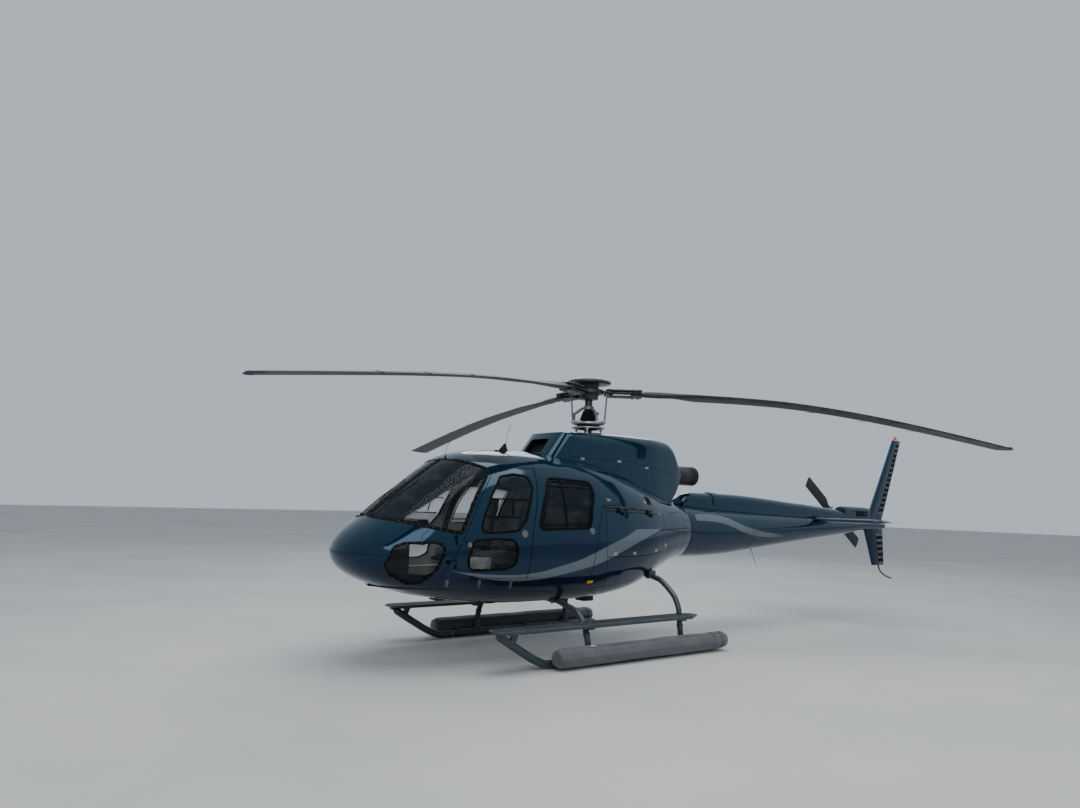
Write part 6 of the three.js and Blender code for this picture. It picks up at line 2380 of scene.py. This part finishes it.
def build_swash():
    """The fixed ring on its control rods, and the turning ring with its lugs and pitch links."""
    low, high, bore, radius = SWASH["low"], SWASH["high"], SWASH["bore"], SWASH["radius"]
    fixed = turned("control_ring_steel", (
        (low, bore), (low, 0.120), (low + 0.012, 0.150), (low + 0.016, radius - 0.004),
        (low + 0.020, radius), (low + 0.030, radius), (low + 0.034, radius - 0.006), (high - 0.008, 0.160),
        (high, 0.130), (high, bore),
    ), sides=64, poles=False)
    rods = []
    for azimuth in SERVO_AZIMUTHS:
        turn = math.radians(azimuth)
        x, y = SERVO_REACH * math.cos(turn), SERVO_REACH * math.sin(turn)
        rods.append(rod("servo", (x, y, 2.4905), (x, y, 2.560), 0.0195, 20, round_by=0.002))
        rods.append(rod("servo", (x, y, 2.555), (x, y, 2.612), 0.010, 16))
        rods.append(rod("eye", (x, y, 2.592), (x, y, 2.609), 0.019, 16, round_by=0.002))
    piece = fused("swash_lower", fixed, *rods)
    finished(piece, "airframe", FINISHES["steel"], replaces="control_ring")

    first, top = SWASH["turning"], SWASH["top"]
    upper = turned("turning", (
        (first, 0.054), (first, 0.150), (first + 0.012, radius - 0.012), (first + 0.020, radius),
        (top - 0.022, radius), (top - 0.016, radius - 0.006), (top - 0.004, 0.140), (top, 0.100),
        (top, 0.054),
    ), sides=64, poles=False)
    foot, head = LINK["low"], LINK["top"]
    links, lugs = [], [upper]
    for azimuth in AZIMUTHS:
        lug = block("lug", (0.150, -0.022, top - 0.038), (foot + 0.014, 0.022, top - 0.004), 0.005, 3)
        made = (
            rod("link", (foot, 0, 2.700), (head, 0, 3.020), 0.0105, 18),
            rod("barrel", (foot + 0.003, 0, 2.735), (foot + 0.007, 0, 2.790), 0.0118, 6),
            rod("barrel", (head - 0.007, 0, 2.930), (head - 0.003, 0, 2.985), 0.0118, 6),
        )
        laid(turn_about(azimuth + LINK["turn"]), lug, *made)
        lugs.append(lug)
        links += made
    piece = fused("swash_upper", *lugs)
    finished(piece, "main_rotor", FINISHES["steel"], replaces="turning_ring")
    finished(fused("pitch_links", *links), "main_rotor", FINISHES["dull_steel"])


def build_scissors():
    """The two folding arms that drive the turning ring from the mast."""
    arms = []
    for azimuth in SCISSOR_AZIMUTHS:
        arms += laid(
            turn_about(azimuth),
            rod("scissor", (0.185, 0, 2.716), (0.175, 0, 2.800), 0.017, 12),
            rod("scissor", (0.175, 0, 2.800), (0.070, 0, 2.880), 0.017, 12),
            rod("knee", (0.175, -0.030, 2.800), (0.175, 0.030, 2.800), 0.021, 16, round_by=0.002),
        )
    profile = ((2.862, 0.0485), (2.862, 0.068), (2.900, 0.068), (2.900, 0.0485))
    collar = turned("collar", profile, poles=False)
    finished(fused("scissors", *arms, collar), "main_rotor", FINISHES["dull_steel"])


# Landing gear

SKID = {"y": 1.059, "radius": 0.042, "rear": -1.120, "bend": 1.420, "tip": (2.030, 0.372)}
CROSS_RADIUS = 0.033
# Place, top height, bearing distance from the middle, and the bends as (y, z)
CROSS_TUBES = {
    "front": (
        0.860, 0.606, 0.480,
        ((1.030, 0.310), (0.960, 0.430), (0.850, 0.520), (0.680, 0.562), (0.480, 0.602)),
    ),
    "rear": (
        -0.575, 0.868, 0.560,
        ((1.044, 0.337), (1.035, 0.451), (0.978, 0.594), (0.856, 0.710), (0.702, 0.800)),
    ),
}
STEP = {"y": 1.090, "half": 0.125, "low": 0.403, "high": 0.429, "front": 2.100, "rear": -0.770}
STEP_GUSSET = (
    (1.800, 0.408), (2.078, 0.408), (2.072, 0.376), (2.000, 0.350), (1.900, 0.292), (1.850, 0.264),
    (1.838, 0.330),
)
STEP_GUSSET_HOLE = ((1.885, 0.392), (1.985, 0.392), (1.965, 0.362), (1.898, 0.326))
FLOAT = {"y": 1.208, "z": 0.122, "radius": 0.104, "front": 1.410, "rear": -1.160}
FLOAT_COVER = 0.985  # the cover's radius as a share of the solid's
FLOAT_STRAPS = (-1.04, -0.91)
FLOAT_MOUNTS = (-0.900, 0.120, 1.150)
FLAP_TURN, PATCH_TURN = math.radians(62), math.radians(76)
LACED_AT = (1.235, 1.215, 1.195, 1.175, 0.72, 0.70, 0.68, 0.64, 0.62, 0.60)


def cross_line(x, top, bends):
    leg = [(1.059, 0.080), (1.059, 0.190)]
    half = [(x, y, z) for y, z in (*leg, *bends)]
    far = [(x, -y, z) for _, y, z in half[::-1]]
    return [*half, (x, 0.240, top), (x, 0.0, top), (x, -0.240, top), *far]


def build_gear():
    for name, (x, top, bearing_y, bends) in CROSS_TUBES.items():
        path = smooth_line(cross_line(x, top, bends), 0.02)
        bar = sweep(f"{name}_cross_bar", path, circle(CROSS_RADIUS, 24))
        finished(bar, "airframe", FINISHES["gear"], replaces=f"{name}_cross_tube", angle=50)
        build_cross_clamps(name, x, bearing_y, path)
    for name, side in SIDES:
        build_skid(name, side)
        build_step(name, side)
        build_float(name, side)


def ring_on(path, at, radius, wide, thick=0.006):
    """A band round a tube at one of its path's points."""
    way = Vector(path[at + 1] - path[at - 1]).normalized()
    middle = Vector(path[at])
    return rod("band", middle - way * wide / 2, middle + way * wide / 2, radius + thick, 28, round_by=0.003)


def build_cross_clamps(name, x, bearing_y, path):
    """Saddles at the skids, bearing blocks under the belly and bands on the bends."""
    last = len(path)
    bands = [ring_on(path, at, CROSS_RADIUS, 0.050) for at in (3, last - 4)]
    bands += [ring_on(path, at, CROSS_RADIUS, 0.028) for at in (11, last - 12)]
    half = path[:last // 2]
    out, heights = np.sort(np.abs(half[:, 1])), np.sort(half[:, 2])[::-1]
    bolts = []
    for side in (1, -1):
        y = side * SKID["y"]
        bands.append(rod(
            "saddle", (x - 0.085, y, 0.044), (x + 0.085, y, 0.044), 0.0475, 28, round_by=0.004
        ))
        bands.append(rod(
            "socket", (x, y, 0.070), (x, y, 0.150), 0.0415, 28, end_radius=0.038, round_by=0.004
        ))
        for dx in (-0.062, 0.062):
            for dy in (0.030, -0.030):
                foot = (x + dx, y + dy, 0.070)
                bolts.append(rod("nut", foot, (foot[0], foot[1], 0.096), 0.009, 6, round_by=0.001))
        y = side * bearing_y
        tube_z, skin_z = float(np.interp(bearing_y, out, heights)), float(under_at(x, y)[0])
        low, high = min(tube_z, skin_z), max(tube_z, skin_z)
        bands.append(block(
            "bearing", (x - 0.055, y - 0.045, low - 0.030), (x + 0.055, y + 0.045, high + 0.012), 0.010, 3
        ))
        for dx in (-0.040, 0.040):
            foot = (x + dx, y, low - 0.042)
            bolts.append(rod("nut", foot, (x + dx, y, low - 0.028), 0.011, 6, round_by=0.001))
    finished(kept_up(fused(f"{name}_cross_clamps", *bands)), "airframe", FINISHES["gear"])
    finished(fused(f"{name}_cross_bolts", *bolts), "airframe", FINISHES["dull_steel"])


def skid_path(side):
    y, r, bend = side * SKID["y"], SKID["radius"], SKID["bend"]
    tip_x, tip_z = SKID["tip"]
    points = [
        (SKID["rear"], y, r), (-0.5, y, r), (0.3, y, r), (bend - 0.30, y, r), (bend - 0.14, y, r),
        (bend, y, r + 0.006), (bend + 0.13, y, r + 0.052), (1.790, y, 0.2265), (tip_x, y, tip_z),
    ]
    return smooth_line(points, 0.02)


def kept_up(obj, low=0.0005):
    """Flattens what would dip below the ground."""
    place = points_of(obj)
    place[:, 2] = np.maximum(place[:, 2], low)
    lay_points(obj, place)
    return obj


def build_skid(name, side):
    path = skid_path(side)
    y, r = side * SKID["y"], SKID["radius"]
    radii = np.full(len(path), r)
    for i, share in enumerate((0.72, 0.95)):
        radii[[i, -1 - i]] = r * share
    body = sweep(f"skid_tube_{name}", path, np.array([circle(radius, 28) for radius in radii]))
    finished(body, "airframe", FINISHES["gear"], replaces=f"skid_{name}", angle=50)
    plates = [
        block("wear", (first, y - 0.030, 0.0008), (last, y + 0.030, 0.010), 0.003)
        for first, last in ((-1.05, -0.72), (0.72, 1.05))
    ]
    bands = [
        rod("band", (x - 0.012, y, r), (x + 0.012, y, r), r + 0.0035, 28, round_by=0.0015)
        for x in (-1.06, -0.30, 0.42, 1.24)
    ]
    piece = kept_up(fused(f"skid_wear_{name}", *plates, *bands))
    finished(piece, "airframe", FINISHES["dull_steel"])


def build_step(name, side):
    """A step board on its saddles, with its front gusset, its tread and its bolts."""
    y, half, low, high = side * STEP["y"], STEP["half"], STEP["low"], STEP["high"]
    front, rear = STEP["front"], STEP["rear"]
    edge = [(rear, half * 0.45), (rear + 0.14, half), (front - 0.06, half), (front, half * 0.8)]
    outline = rounded([(x, y - w) for x, w in edge] + [(x, y + w) for x, w in edge[::-1]], 0.03)
    parts = [edge_round(prism(outline, low, high, axis=2), 0.006, 3)]
    for middle in (y - half + 0.010, y + half - 0.010):
        parts.append(block(
            "rail", (rear + 0.15, middle - 0.008, low - 0.012),
            (front - 0.08, middle + 0.008, low + 0.004), 0.003,
        ))
    places = [x for x, *_ in CROSS_TUBES.values()]
    for x in places:
        parts.append(block(
            "saddle", (x - 0.050, y - 0.055, low - 0.048), (x + 0.050, y + 0.030, low + 0.002), 0.012, 3
        ))
        parts.append(block(
            "lip", (x - 0.075, y - 0.060, low - 0.010), (x + 0.075, y + 0.060, low + 0.002), 0.004
        ))
    gusset = prism(rounded(STEP_GUSSET, 0.012), y - 0.019, y + 0.019)
    carve(gusset, prism(rounded(STEP_GUSSET_HOLE, 0.010), y - 0.05, y + 0.05))
    parts.append(edge_round(gusset, 0.002, 1))
    board = fused(f"step_board_{name}", *parts)
    finished(board, "airframe", FINISHES["gear"], replaces=f"step_{name}")
    tread = prism(grown(outline, -0.016), high + 0.0004, high + 0.0013, axis=2)
    tread.name = f"step_tread_{name}"
    finished(tread, "airframe", FINISHES["tread"])
    heads = [
        copied_screw(facing((x + dx, y + dy, high + 0.0012), (0, 0, 1)), 0.008)
        for x in places for dx in (-0.07, 0.07) for dy in (-0.07, 0.07)
    ]
    finished(fused(f"step_bolts_{name}", *heads), "airframe", FINISHES["steel"])


def float_ring(x, y, z, radius):
    """Eight soft corners with slightly crowned cloth between them."""
    crown, points = 0.35, 64
    turn = 2 * np.pi * np.arange(points) / points
    facet = np.cos(np.pi / 8) / np.cos(turn % (np.pi / 4) - np.pi / 8)
    r = radius * FLOAT_COVER * (facet * (1 - crown) + crown * 0.985)
    return np.column_stack([np.full(points, x), y + r * np.cos(turn), z + r * np.sin(turn)])


def float_row(x, y, z, radius, front, rear):
    """One ring of a float's cloth: drawn in at its ends and straps, with slow folds and a soft top."""
    end = min(x - rear, front - x)
    share = 0.72 if end < 0.003 else 0.80 + 0.20 * min(1.0, end / 0.06) ** 0.7
    pinch = sum(math.exp(-(((x - at) / 0.018) ** 2)) for at in FLOAT_STRAPS)
    ring = float_ring(x, y, z, radius * (share - 0.022 * pinch))
    turn = np.arctan2(ring[:, 2] - z, ring[:, 1] - y)
    fold = 0.0020 * np.sin(x * 5.3 + 2 * turn) + 0.0012 * np.sin(x * 13 - 3 * turn + 1.3)
    near_ends = math.exp(-(((abs(x - 0.12) - 1.2) / 0.25) ** 2))
    fold = fold + 0.0006 * np.sin(x * 61 + 4 * turn) * near_ends
    sag = 1.0 - 0.012 * np.clip(np.sin(turn), 0, 1) * (0.5 + 0.5 * math.sin(x * 9))
    away = (ring - (x, y, z)) * sag[:, None]
    length = np.maximum(np.linalg.norm(away, axis=1), 1e-6)[:, None]
    return np.array((x, y, z)) + away + away / length * fold[:, None]


def on_float(x, side, reach, turn):
    """A place on a float's side and the way that it faces."""
    normal = np.array([0.0, side * math.cos(turn), math.sin(turn)])
    return np.array([x, side * FLOAT["y"], FLOAT["z"]]) + normal * reach, normal


def build_float(name, side):
    y, z, radius = side * FLOAT["y"], FLOAT["z"], FLOAT["radius"]
    front, rear = FLOAT["front"], FLOAT["rear"]
    stations = np.concatenate([
        [rear, rear + 0.006, rear + 0.020], np.linspace(rear + 0.05, front - 0.05, 120),
        [front - 0.020, front - 0.006, front],
    ])
    rows = [float_row(x, y, z, radius, front, rear) for x in stations]
    cover = solid_of(f"float_cover_{name}", np.array(rows))
    finished(cover, "airframe", FINISHES["float"], replaces=f"float_bag_{name}", angle=60)
    straps, buckles, laces = [], [], []
    for at in FLOAT_STRAPS:
        ring = float_ring(at, y, z, radius * 0.984)
        straps.append(sweep("strap", ring, strip(0.030, 0.0022, 0.006), closed=True, up=strap_up(ring)))
        face = y + side * 0.094
        buckles.append(block(
            "buckle", (at - 0.020, face - 0.003, z + 0.010), (at + 0.020, face + 0.005, z + 0.040), 0.003
        ))
    finished(fused(f"float_straps_{name}", *straps), "airframe", FINISHES["strap"])
    for x in LACED_AT:
        matrix = facing(*on_float(x, side, 0.0965, FLAP_TURN))
        laces.append(plate_on(matrix, (0.003, 0.013), -0.001, 0.0026, 0.001))
    seam_at = np.linspace(rear + 0.06, front - 0.06, 90)
    seam_path = np.array([on_float(x, side, 0.0975, FLAP_TURN)[0] for x in seam_at])
    up = on_float(0.0, side, 0.0, FLAP_TURN)[1]
    flap = sweep("flap", seam_path, strip(0.006, 0.0014, 0.004), up=up)
    finished(fused(f"float_laces_{name}", flap, *laces), "airframe", FINISHES["strap"])
    finished(fused(f"float_buckles_{name}", *buckles), "airframe", FINISHES["dull_steel"])
    build_float_mounts(name, side)


def build_float_mounts(name, side):
    """Brackets from the skid to the float, the tether at its front and a blank patch."""
    parts = []
    y = side * SKID["y"]
    inner, outer = sorted((y - side * 0.014, y + side * 0.074))
    for x in FLOAT_MOUNTS:
        parts.append(block("bracket", (x - 0.029, inner, 0.0855), (x + 0.029, outer, 0.098), 0.003))
        parts.append(rod("band", (x - 0.018, y, 0.042), (x + 0.018, y, 0.042), 0.0465, 28, round_by=0.002))
    finished(kept_up(fused(f"float_brackets_{name}", *parts)), "airframe", FINISHES["gear"])
    y = side * FLOAT["y"]
    loop = ((1.395, 0.055, 0.150), (1.412, 0.080, 0.128), (1.420, 0.110, 0.100), (1.418, 0.140, 0.088))
    loop = smooth_line([(x, y - side * out, z) for x, out, z in loop], 0.006)
    tether = sweep(f"float_tether_{name}", loop, strip(0.012, 0.0015, 0.0015))
    finished(tether, "airframe", FINISHES["tether"])
    matrix = facing(*on_float(0.935, side, 0.0990, PATCH_TURN))
    patch = fused(f"float_patch_{name}", plate_on(matrix, (0.035, 0.020), -0.001, 0.0014, 0.001))
    finished(patch, "airframe", FINISHES["pale"])


# Fittings

SILL_TABS = (
    ((2.427, 0.892), (2.391, 0.816)), ((2.104, 0.890), (2.073, 0.803)), ((1.749, 0.882), (1.721, 0.795)),
)
LIGHT_X, WHIP_X = 1.250, -3.243
VENT_AT, FUEL_CAP_AT = (-0.442, 1.738), (-0.627, 1.571)
SIDE_LATCHES = ((-0.350, 1.715), (0.386, 1.730), (-0.762, 1.202))
RELEASE_AT, GRIP_AT = (0.659, 0.824), (0.449, 0.693)
AERIAL = (
    (1.535, 2.215), (1.362, 2.215), (1.384, 2.275), (1.402, 2.328), (1.412, 2.334), (1.424, 2.333),
    (1.470, 2.285),
)
ROOF_WHIPS = ((1.400, 0.195, 2.560), (2.130, 0.090, 2.330))


def build_fittings():
    build_belly()
    build_nose_fittings()
    build_side_fittings()
    build_roof_fittings()


def build_belly():
    """The load hook's plate, belly plates, landing light, the boom's whip and the sill tabs."""
    hook = block("load_hook_plate", (-0.080, -0.080, 0.5002), (0.080, 0.080, 0.585), 0.006)
    finished(hook, "airframe", FINISHES["satin"], replaces="sling_hook")
    places = (-0.062, 0.062)
    nuts = [rod("nut", (x, y, 0.5862), (x, y, 0.5923), 0.009, 6) for x in places for y in places]
    finished(fused("load_hook_bolts", *nuts), "airframe", FINISHES["steel"])
    plates = []
    for first, last, y in ((1.98, 2.16, 0.0), (1.55, 1.66, 0.22), (1.55, 1.66, -0.22)):
        low = min(float(under_at(x, y)[0]) for x in (first, last))
        plates.append(block(
            "plate", (first, y - 0.075, low - 0.004), (last, y + 0.075, low + 0.030), 0.008
        ))
    finished(fused("belly_plates", *plates), "airframe", FINISHES["satin"])
    foot = float(under_at(LIGHT_X, 0.0)[0])
    light = turned(
        "landing_light",
        ((foot + 0.010, 0.085), (foot - 0.010, 0.088), (foot - 0.020, 0.080), (foot - 0.024, 0.030)),
        (LIGHT_X, 0.0, 0.0), sides=40,
    )
    finished(light, "airframe", FINISHES["clear_lens"])
    whip = tube("whip", ((WHIP_X, 0.0, 1.088), (-3.290, 0.0, 1.000), (-3.372, 0.0, 0.848)), 0.0035, 8)
    base = turned("base", ((1.080, 0.020), (1.092, 0.026), (1.110, 0.026)), (WHIP_X, 0.0, 0.0), sides=20)
    finished(fused("boom_whip", whip, base), "airframe", FINISHES["satin"])
    tabs = []
    for _, side in SIDES:
        for ends in SILL_TABS:
            (x0, z0), (x1, z1) = ends
            x, heights = np.linspace(x0, x1, 6), np.linspace(z0, z1, 6)
            path = np.column_stack([x, side_at(x, heights), heights])
            up = normals_of(path) * (1, side, 1)
            tabs.append(sweep("tab", path * (1, side, 1), strip(0.030, 0.007, 0.003), up=up))
    finished(fused("sill_tabs", *tabs), "airframe", FINISHES["grey"])


def build_nose_fittings():
    wipers = []
    for _, side in SIDES:
        foot = np.array((2.985, side * 0.110, float(over_at(2.985, 0.110)[0]) + 0.012))
        top = np.array((2.640, side * 0.120, float(over_at(2.640, 0.120)[0]) + 0.016))
        middle = foot * 0.5 + top * 0.5 + (0, 0, 0.012)
        wipers.append(rod("pivot", foot - (0, 0, 0.022), foot + (0, 0, 0.008), 0.016, 20, round_by=0.003))
        wipers.append(tube("arm", (foot, middle, top), 0.0055, 8))
        ends = ((2.80, 0.095), (2.64, 0.120), (2.48, 0.150))
        blade = [(x, side * y, float(over_at(x, y)[0]) + 0.009) for x, y in ends]
        wipers.append(tube("blade", blade, 0.006, 8))
    finished(fused("wipers", *wipers), "airframe", FINISHES["satin"])


def side_vent(side):
    """A square vent's frame, its dark back and its slats."""
    half = 0.05
    outline = rounded(((-half, -half), (half, -half), (half, half), (-half, half)), 0.012)
    path = [(a, b, 0.001) for a, b in dense(outline, 0.02)]
    frame_ring = sweep("vent_frame", path, strip(0.010, 0.004, 0.003), closed=True, up=(0.0, 0.0, 1.0))
    parts = [frame_ring, block("back", (-0.048, -0.048, -0.006), (0.048, 0.048, 0.0012))]
    for k in range(5):
        slat = block("slat", (-0.045, -0.005, -0.001), (0.045, 0.005, 0.001), 0.0004)
        tilt = Matrix.Translation((0, -0.034 + 0.017 * k, 0.004)) @ Matrix.Rotation(0.6, 4, "X")
        parts += laid(tilt, slat)
    return laid(side_matrix(*VENT_AT, side), *parts)


def build_side_fittings():
    for name, side in SIDES:
        vent = fused(f"side_vent_{name}", *side_vent(side))
        finished(vent, "airframe", FINISHES["satin"])
        radius, tall = 0.036, 0.006
        cap = turned(
            f"fuel_cap_{name}",
            ((-0.004, radius), (tall * 0.5, radius), (tall, radius * 0.86), (tall * 1.05, radius * 0.3)),
            sides=32,
        )
        laid(side_matrix(*FUEL_CAP_AT, side), cap)
        finished(cap, "airframe", FINISHES["dull_steel"])
        latches = [
            plate_on(side_matrix(x, z, side), (0.030, 0.016), -0.004, 0.0035, 0.0025)
            for x, z in SIDE_LATCHES
        ]
        finished(fused(f"side_latches_{name}", *latches), "airframe", FINISHES["steel"])
        pull = plate_on(side_matrix(*RELEASE_AT, side), (0.040, 0.016), -0.002, 0.010, 0.005, 3)
        finished(fused(f"release_handle_{name}", pull), "airframe", FINISHES["yellow"])
        bends = ((-0.045, -0.002), (-0.038, 0.022), (0.0, 0.028), (0.038, 0.022), (0.045, -0.002))
        grip = tube(f"ground_handle_{name}", [(x, 0, z) for x, z in bends], 0.0055, 10, 0.008)
        laid(side_matrix(*GRIP_AT, side), grip)
        finished(grip, "airframe", FINISHES["pale"])


def build_roof_fittings():
    x, y = 1.45, 0.195
    fin = edge_round(prism(rounded(AERIAL, 0.01), y - 0.0025, y + 0.0025), 0.0018)
    skin_z = float(over_at(x, y)[0])
    foot = block("foot", (1.352, 0.180, skin_z - 0.012), (1.548, 0.210, skin_z + 0.005), 0.004)
    aerial = fused("roof_aerial", fin, foot)
    finished(aerial, "airframe", FINISHES["satin"], replaces="roof_antenna")
    parts = []
    for x, y, top in ROOF_WHIPS:
        z = float(over_at(x, y)[0])
        foot, knee = (x, y, z - 0.004), (x, y, z + 0.028)
        parts.append(rod("base", foot, knee, 0.014, 16, end_radius=0.008, round_by=0.002))
        line = ((x, y, z + 0.02), (x - 0.010, y, (z + top) / 2), (x - 0.060, y, top))
        parts.append(tube("whip", line, 0.0024, 6))
    finished(fused("roof_whips", *parts), "airframe", FINISHES["satin"])

# Stage

CAMERA_AT = (6.790, 7.758, 1.690)
YAW, PITCH, ROLL = math.radians(-127.77), math.radians(6.79), math.radians(1.71)
PICTURE_WIDTH, FOCAL_PIXELS, SENSOR = 1080, 818.6, 36.0
LIGHTS = (
    ("overhead", (1.0, 2.0, 13.0), (0.0, 0.0, 1.0), 14.0, 1500.0),
    ("port_front", (10.0, 12.0, 8.0), (1.0, 0.0, 1.0), 9.0, 700.0),
    ("starboard_rear", (-10.0, -12.0, 9.0), (-2.0, 0.0, 1.0), 9.0, 500.0),
)


def build_camera():
    ahead = Vector((math.cos(YAW) * math.cos(PITCH), math.sin(YAW) * math.cos(PITCH), math.sin(PITCH)))
    level = ahead.cross(Vector((0, 0, 1))).normalized()
    over = level.cross(ahead)
    right = level * math.cos(ROLL) + over * math.sin(ROLL)
    up = over * math.cos(ROLL) - level * math.sin(ROLL)
    matrix = Matrix((right, up, -ahead)).transposed().to_4x4()
    matrix.translation = Vector(CAMERA_AT) - Vector((0, 0, DROP))
    bpy.ops.object.camera_add()
    camera = bpy.context.object
    camera.name = "photo_camera"
    camera.data.sensor_width = SENSOR
    camera.data.lens = FOCAL_PIXELS / PICTURE_WIDTH * SENSOR
    camera.data.clip_end = 300.0
    camera.matrix_world = matrix
    bpy.context.scene.camera = camera


def build_stage():
    deselect()
    bpy.ops.mesh.primitive_plane_add(size=160.0, location=(0, 0, -DROP))
    ground = named("studio_floor")
    bpy.ops.object.transform_apply(location=True, rotation=True, scale=True)
    ground.data.materials.append(FINISHES["floor"])
    world = bpy.data.worlds.new("studio")
    bpy.context.scene.world = world
    world.use_nodes = True
    back = world.node_tree.nodes["Background"]
    back.inputs["Color"].default_value = (0.80, 0.90, 1.0, 1.0)
    back.inputs["Strength"].default_value = 0.65
    for name, place, target, size, power in LIGHTS:
        aim = Vector(target) - Vector(place)
        bpy.ops.object.light_add(
            type="AREA", location=place, rotation=aim.to_track_quat("-Z", "Y").to_euler()
        )
        light = bpy.context.object
        light.name = f"light_{name}"
        light.data.shape = "DISK"
        light.data.size = size
        light.data.energy = power
    build_camera()


# The add-on


def colour_prop(name, description, key):
    return bpy.props.FloatVectorProperty(
        name=name, description=description, subtype="COLOR", size=4, min=0.0, max=1.0, default=COLOURS[key]
    )


class HelicopterColours(bpy.types.PropertyGroup):
    """The colours that a user would change."""

    paint: colour_prop("Paint", "Gloss paint of the fuselage, tail and cowls", "paint")
    # The paint's darker tone is painted shade low on the body
    paint_shaded_low: colour_prop("Paint shade", "Darker tone the paint drifts to", "paint_shaded_low")
    stripe: colour_prop("Stripe", "Grey sweep along the doors and the boom", "stripe")
    trim: colour_prop("Lining", "Cabin lining", "trim")
    seat: colour_prop("Seats", "Seat covers", "seat")
    float: colour_prop("Floats", "Cloth covers of the stowed floats", "float")
    gear: colour_prop("Gear", "Skids, steps and cross tubes", "gear")
    blade: colour_prop("Blades", "Main rotor blades", "blade")
    floor: colour_prop("Floor", "Studio floor", "floor")


class HelicopterSizes(bpy.types.PropertyGroup):
    """The small sizes that a user would change."""

    seal_proud: bpy.props.FloatProperty(
        name="Seal height", description="How far window rubbers stand above the skin",
        default=0.003, min=0.001, max=0.008, unit="LENGTH", subtype="DISTANCE",
    )
    screw_radius: bpy.props.FloatProperty(
        name="Screw radius", description="Radius of the screw heads round the windshields",
        default=0.0048, min=0.002, max=0.01, unit="LENGTH", subtype="DISTANCE",
    )
    cushion_swell: bpy.props.FloatProperty(
        name="Cushion swell", description="The most that a seat cushion may swell",
        default=0.024, min=0.0, max=0.03, unit="LENGTH", subtype="DISTANCE",
    )


class BuildHelicopterStage(bpy.types.Operator):
    """Finishes, floor, light and the camera at the photograph's angle"""

    bl_idname = "helicopter.stage"
    bl_label = "Helicopter Stage"

    def execute(self, context):
        start_finishes(context)
        build_stage()
        return {"FINISHED"}


class BuildHelicopterCabin(bpy.types.Operator):
    """Nose, roof, belly, rear fuselage and the cabin's lining"""

    bl_idname = "helicopter.cabin"
    bl_label = "Cabin and Rear Fuselage"

    def execute(self, context):
        build_cabin()
        return {"FINISHED"}


class BuildHelicopterDoors(bpy.types.Operator):
    """Front, rear and baggage doors with their hinges, seals and handles"""

    bl_idname = "helicopter.doors"
    bl_label = "Doors"

    def execute(self, context):
        build_doors()
        return {"FINISHED"}


class BuildHelicopterGlazing(bpy.types.Operator):
    """Windshields, chin, door and roof panes"""

    bl_idname = "helicopter.glazing"
    bl_label = "Glazing"

    def execute(self, context):
        build_glazing()
        return {"FINISHED"}


class BuildHelicopterSeats(bpy.types.Operator):
    """Padded seats, belts and the instrument panel"""

    bl_idname = "helicopter.seats"
    bl_label = "Seats and Panel"

    def execute(self, context):
        build_seats()
        return {"FINISHED"}


class BuildHelicopterCowling(bpy.types.Operator):
    """Intake, gearbox and engine cowls and the exhaust"""

    bl_idname = "helicopter.cowling"
    bl_label = "Cowling"

    def execute(self, context):
        build_cowling()
        return {"FINISHED"}


class BuildHelicopterTail(bpy.types.Operator):
    """Boom, drive shaft cover, fins, stabiliser and tail rotor"""

    bl_idname = "helicopter.tail"
    bl_label = "Tail"

    def execute(self, context):
        build_tail()
        return {"FINISHED"}


class BuildHelicopterRotor(bpy.types.Operator):
    """Mast, hub, control rings, links and blades"""

    bl_idname = "helicopter.rotor"
    bl_label = "Main Rotor"

    def execute(self, context):
        build_rotor()
        return {"FINISHED"}


class BuildHelicopterGear(bpy.types.Operator):
    """Cross tubes, skids, steps and stowed floats"""

    bl_idname = "helicopter.gear"
    bl_label = "Landing Gear"

    def execute(self, context):
        build_gear()
        return {"FINISHED"}


class BuildHelicopterFittings(bpy.types.Operator):
    """Aerials, lights, hook, caps, vents and wipers"""

    bl_idname = "helicopter.fittings"
    bl_label = "Fittings"

    def execute(self, context):
        build_fittings()
        return {"FINISHED"}


OPERATORS = (
    BuildHelicopterStage,
    BuildHelicopterCabin,
    BuildHelicopterDoors,
    BuildHelicopterGlazing,
    BuildHelicopterSeats,
    BuildHelicopterCowling,
    BuildHelicopterTail,
    BuildHelicopterRotor,
    BuildHelicopterGear,
    BuildHelicopterFittings,
)


class HelicopterPanel(bpy.types.Panel):
    """Lists the steps that build the helicopter."""

    bl_idname = "VIEW3D_PT_helicopter"
    bl_label = "Helicopter"
    bl_space_type = "VIEW_3D"
    bl_region_type = "UI"
    bl_category = "Helicopter"

    def draw(self, context):
        for group in (context.scene.helicopter_colours, context.scene.helicopter_sizes):
            box = self.layout.box()
            for key in group.__annotations__:
                box.prop(group, key)
        for step in OPERATORS:
            self.layout.operator(step.bl_idname)


CLASSES = (HelicopterColours, HelicopterSizes, *OPERATORS, HelicopterPanel)


def start_finishes(context):
    """Makes the finishes, with the user's own colours in place of the standard ones."""
    own = context.scene.helicopter_colours
    chosen = {key: tuple(getattr(own, key)) for key in own.__annotations__}
    make_finishes({**COLOURS, **chosen})


def register():
    for made in CLASSES:
        bpy.utils.register_class(made)
    bpy.types.Scene.helicopter_colours = bpy.props.PointerProperty(type=HelicopterColours)
    bpy.types.Scene.helicopter_sizes = bpy.props.PointerProperty(type=HelicopterSizes)


def unregister():
    del bpy.types.Scene.helicopter_sizes
    del bpy.types.Scene.helicopter_colours
    for made in reversed(CLASSES):
        bpy.utils.unregister_class(made)


def main():
    register()
    for step in OPERATORS:
        group, name = step.bl_idname.split(".")
        getattr(getattr(bpy.ops, group), name)()
    deselect()


if __name__ == "__main__":
    main()
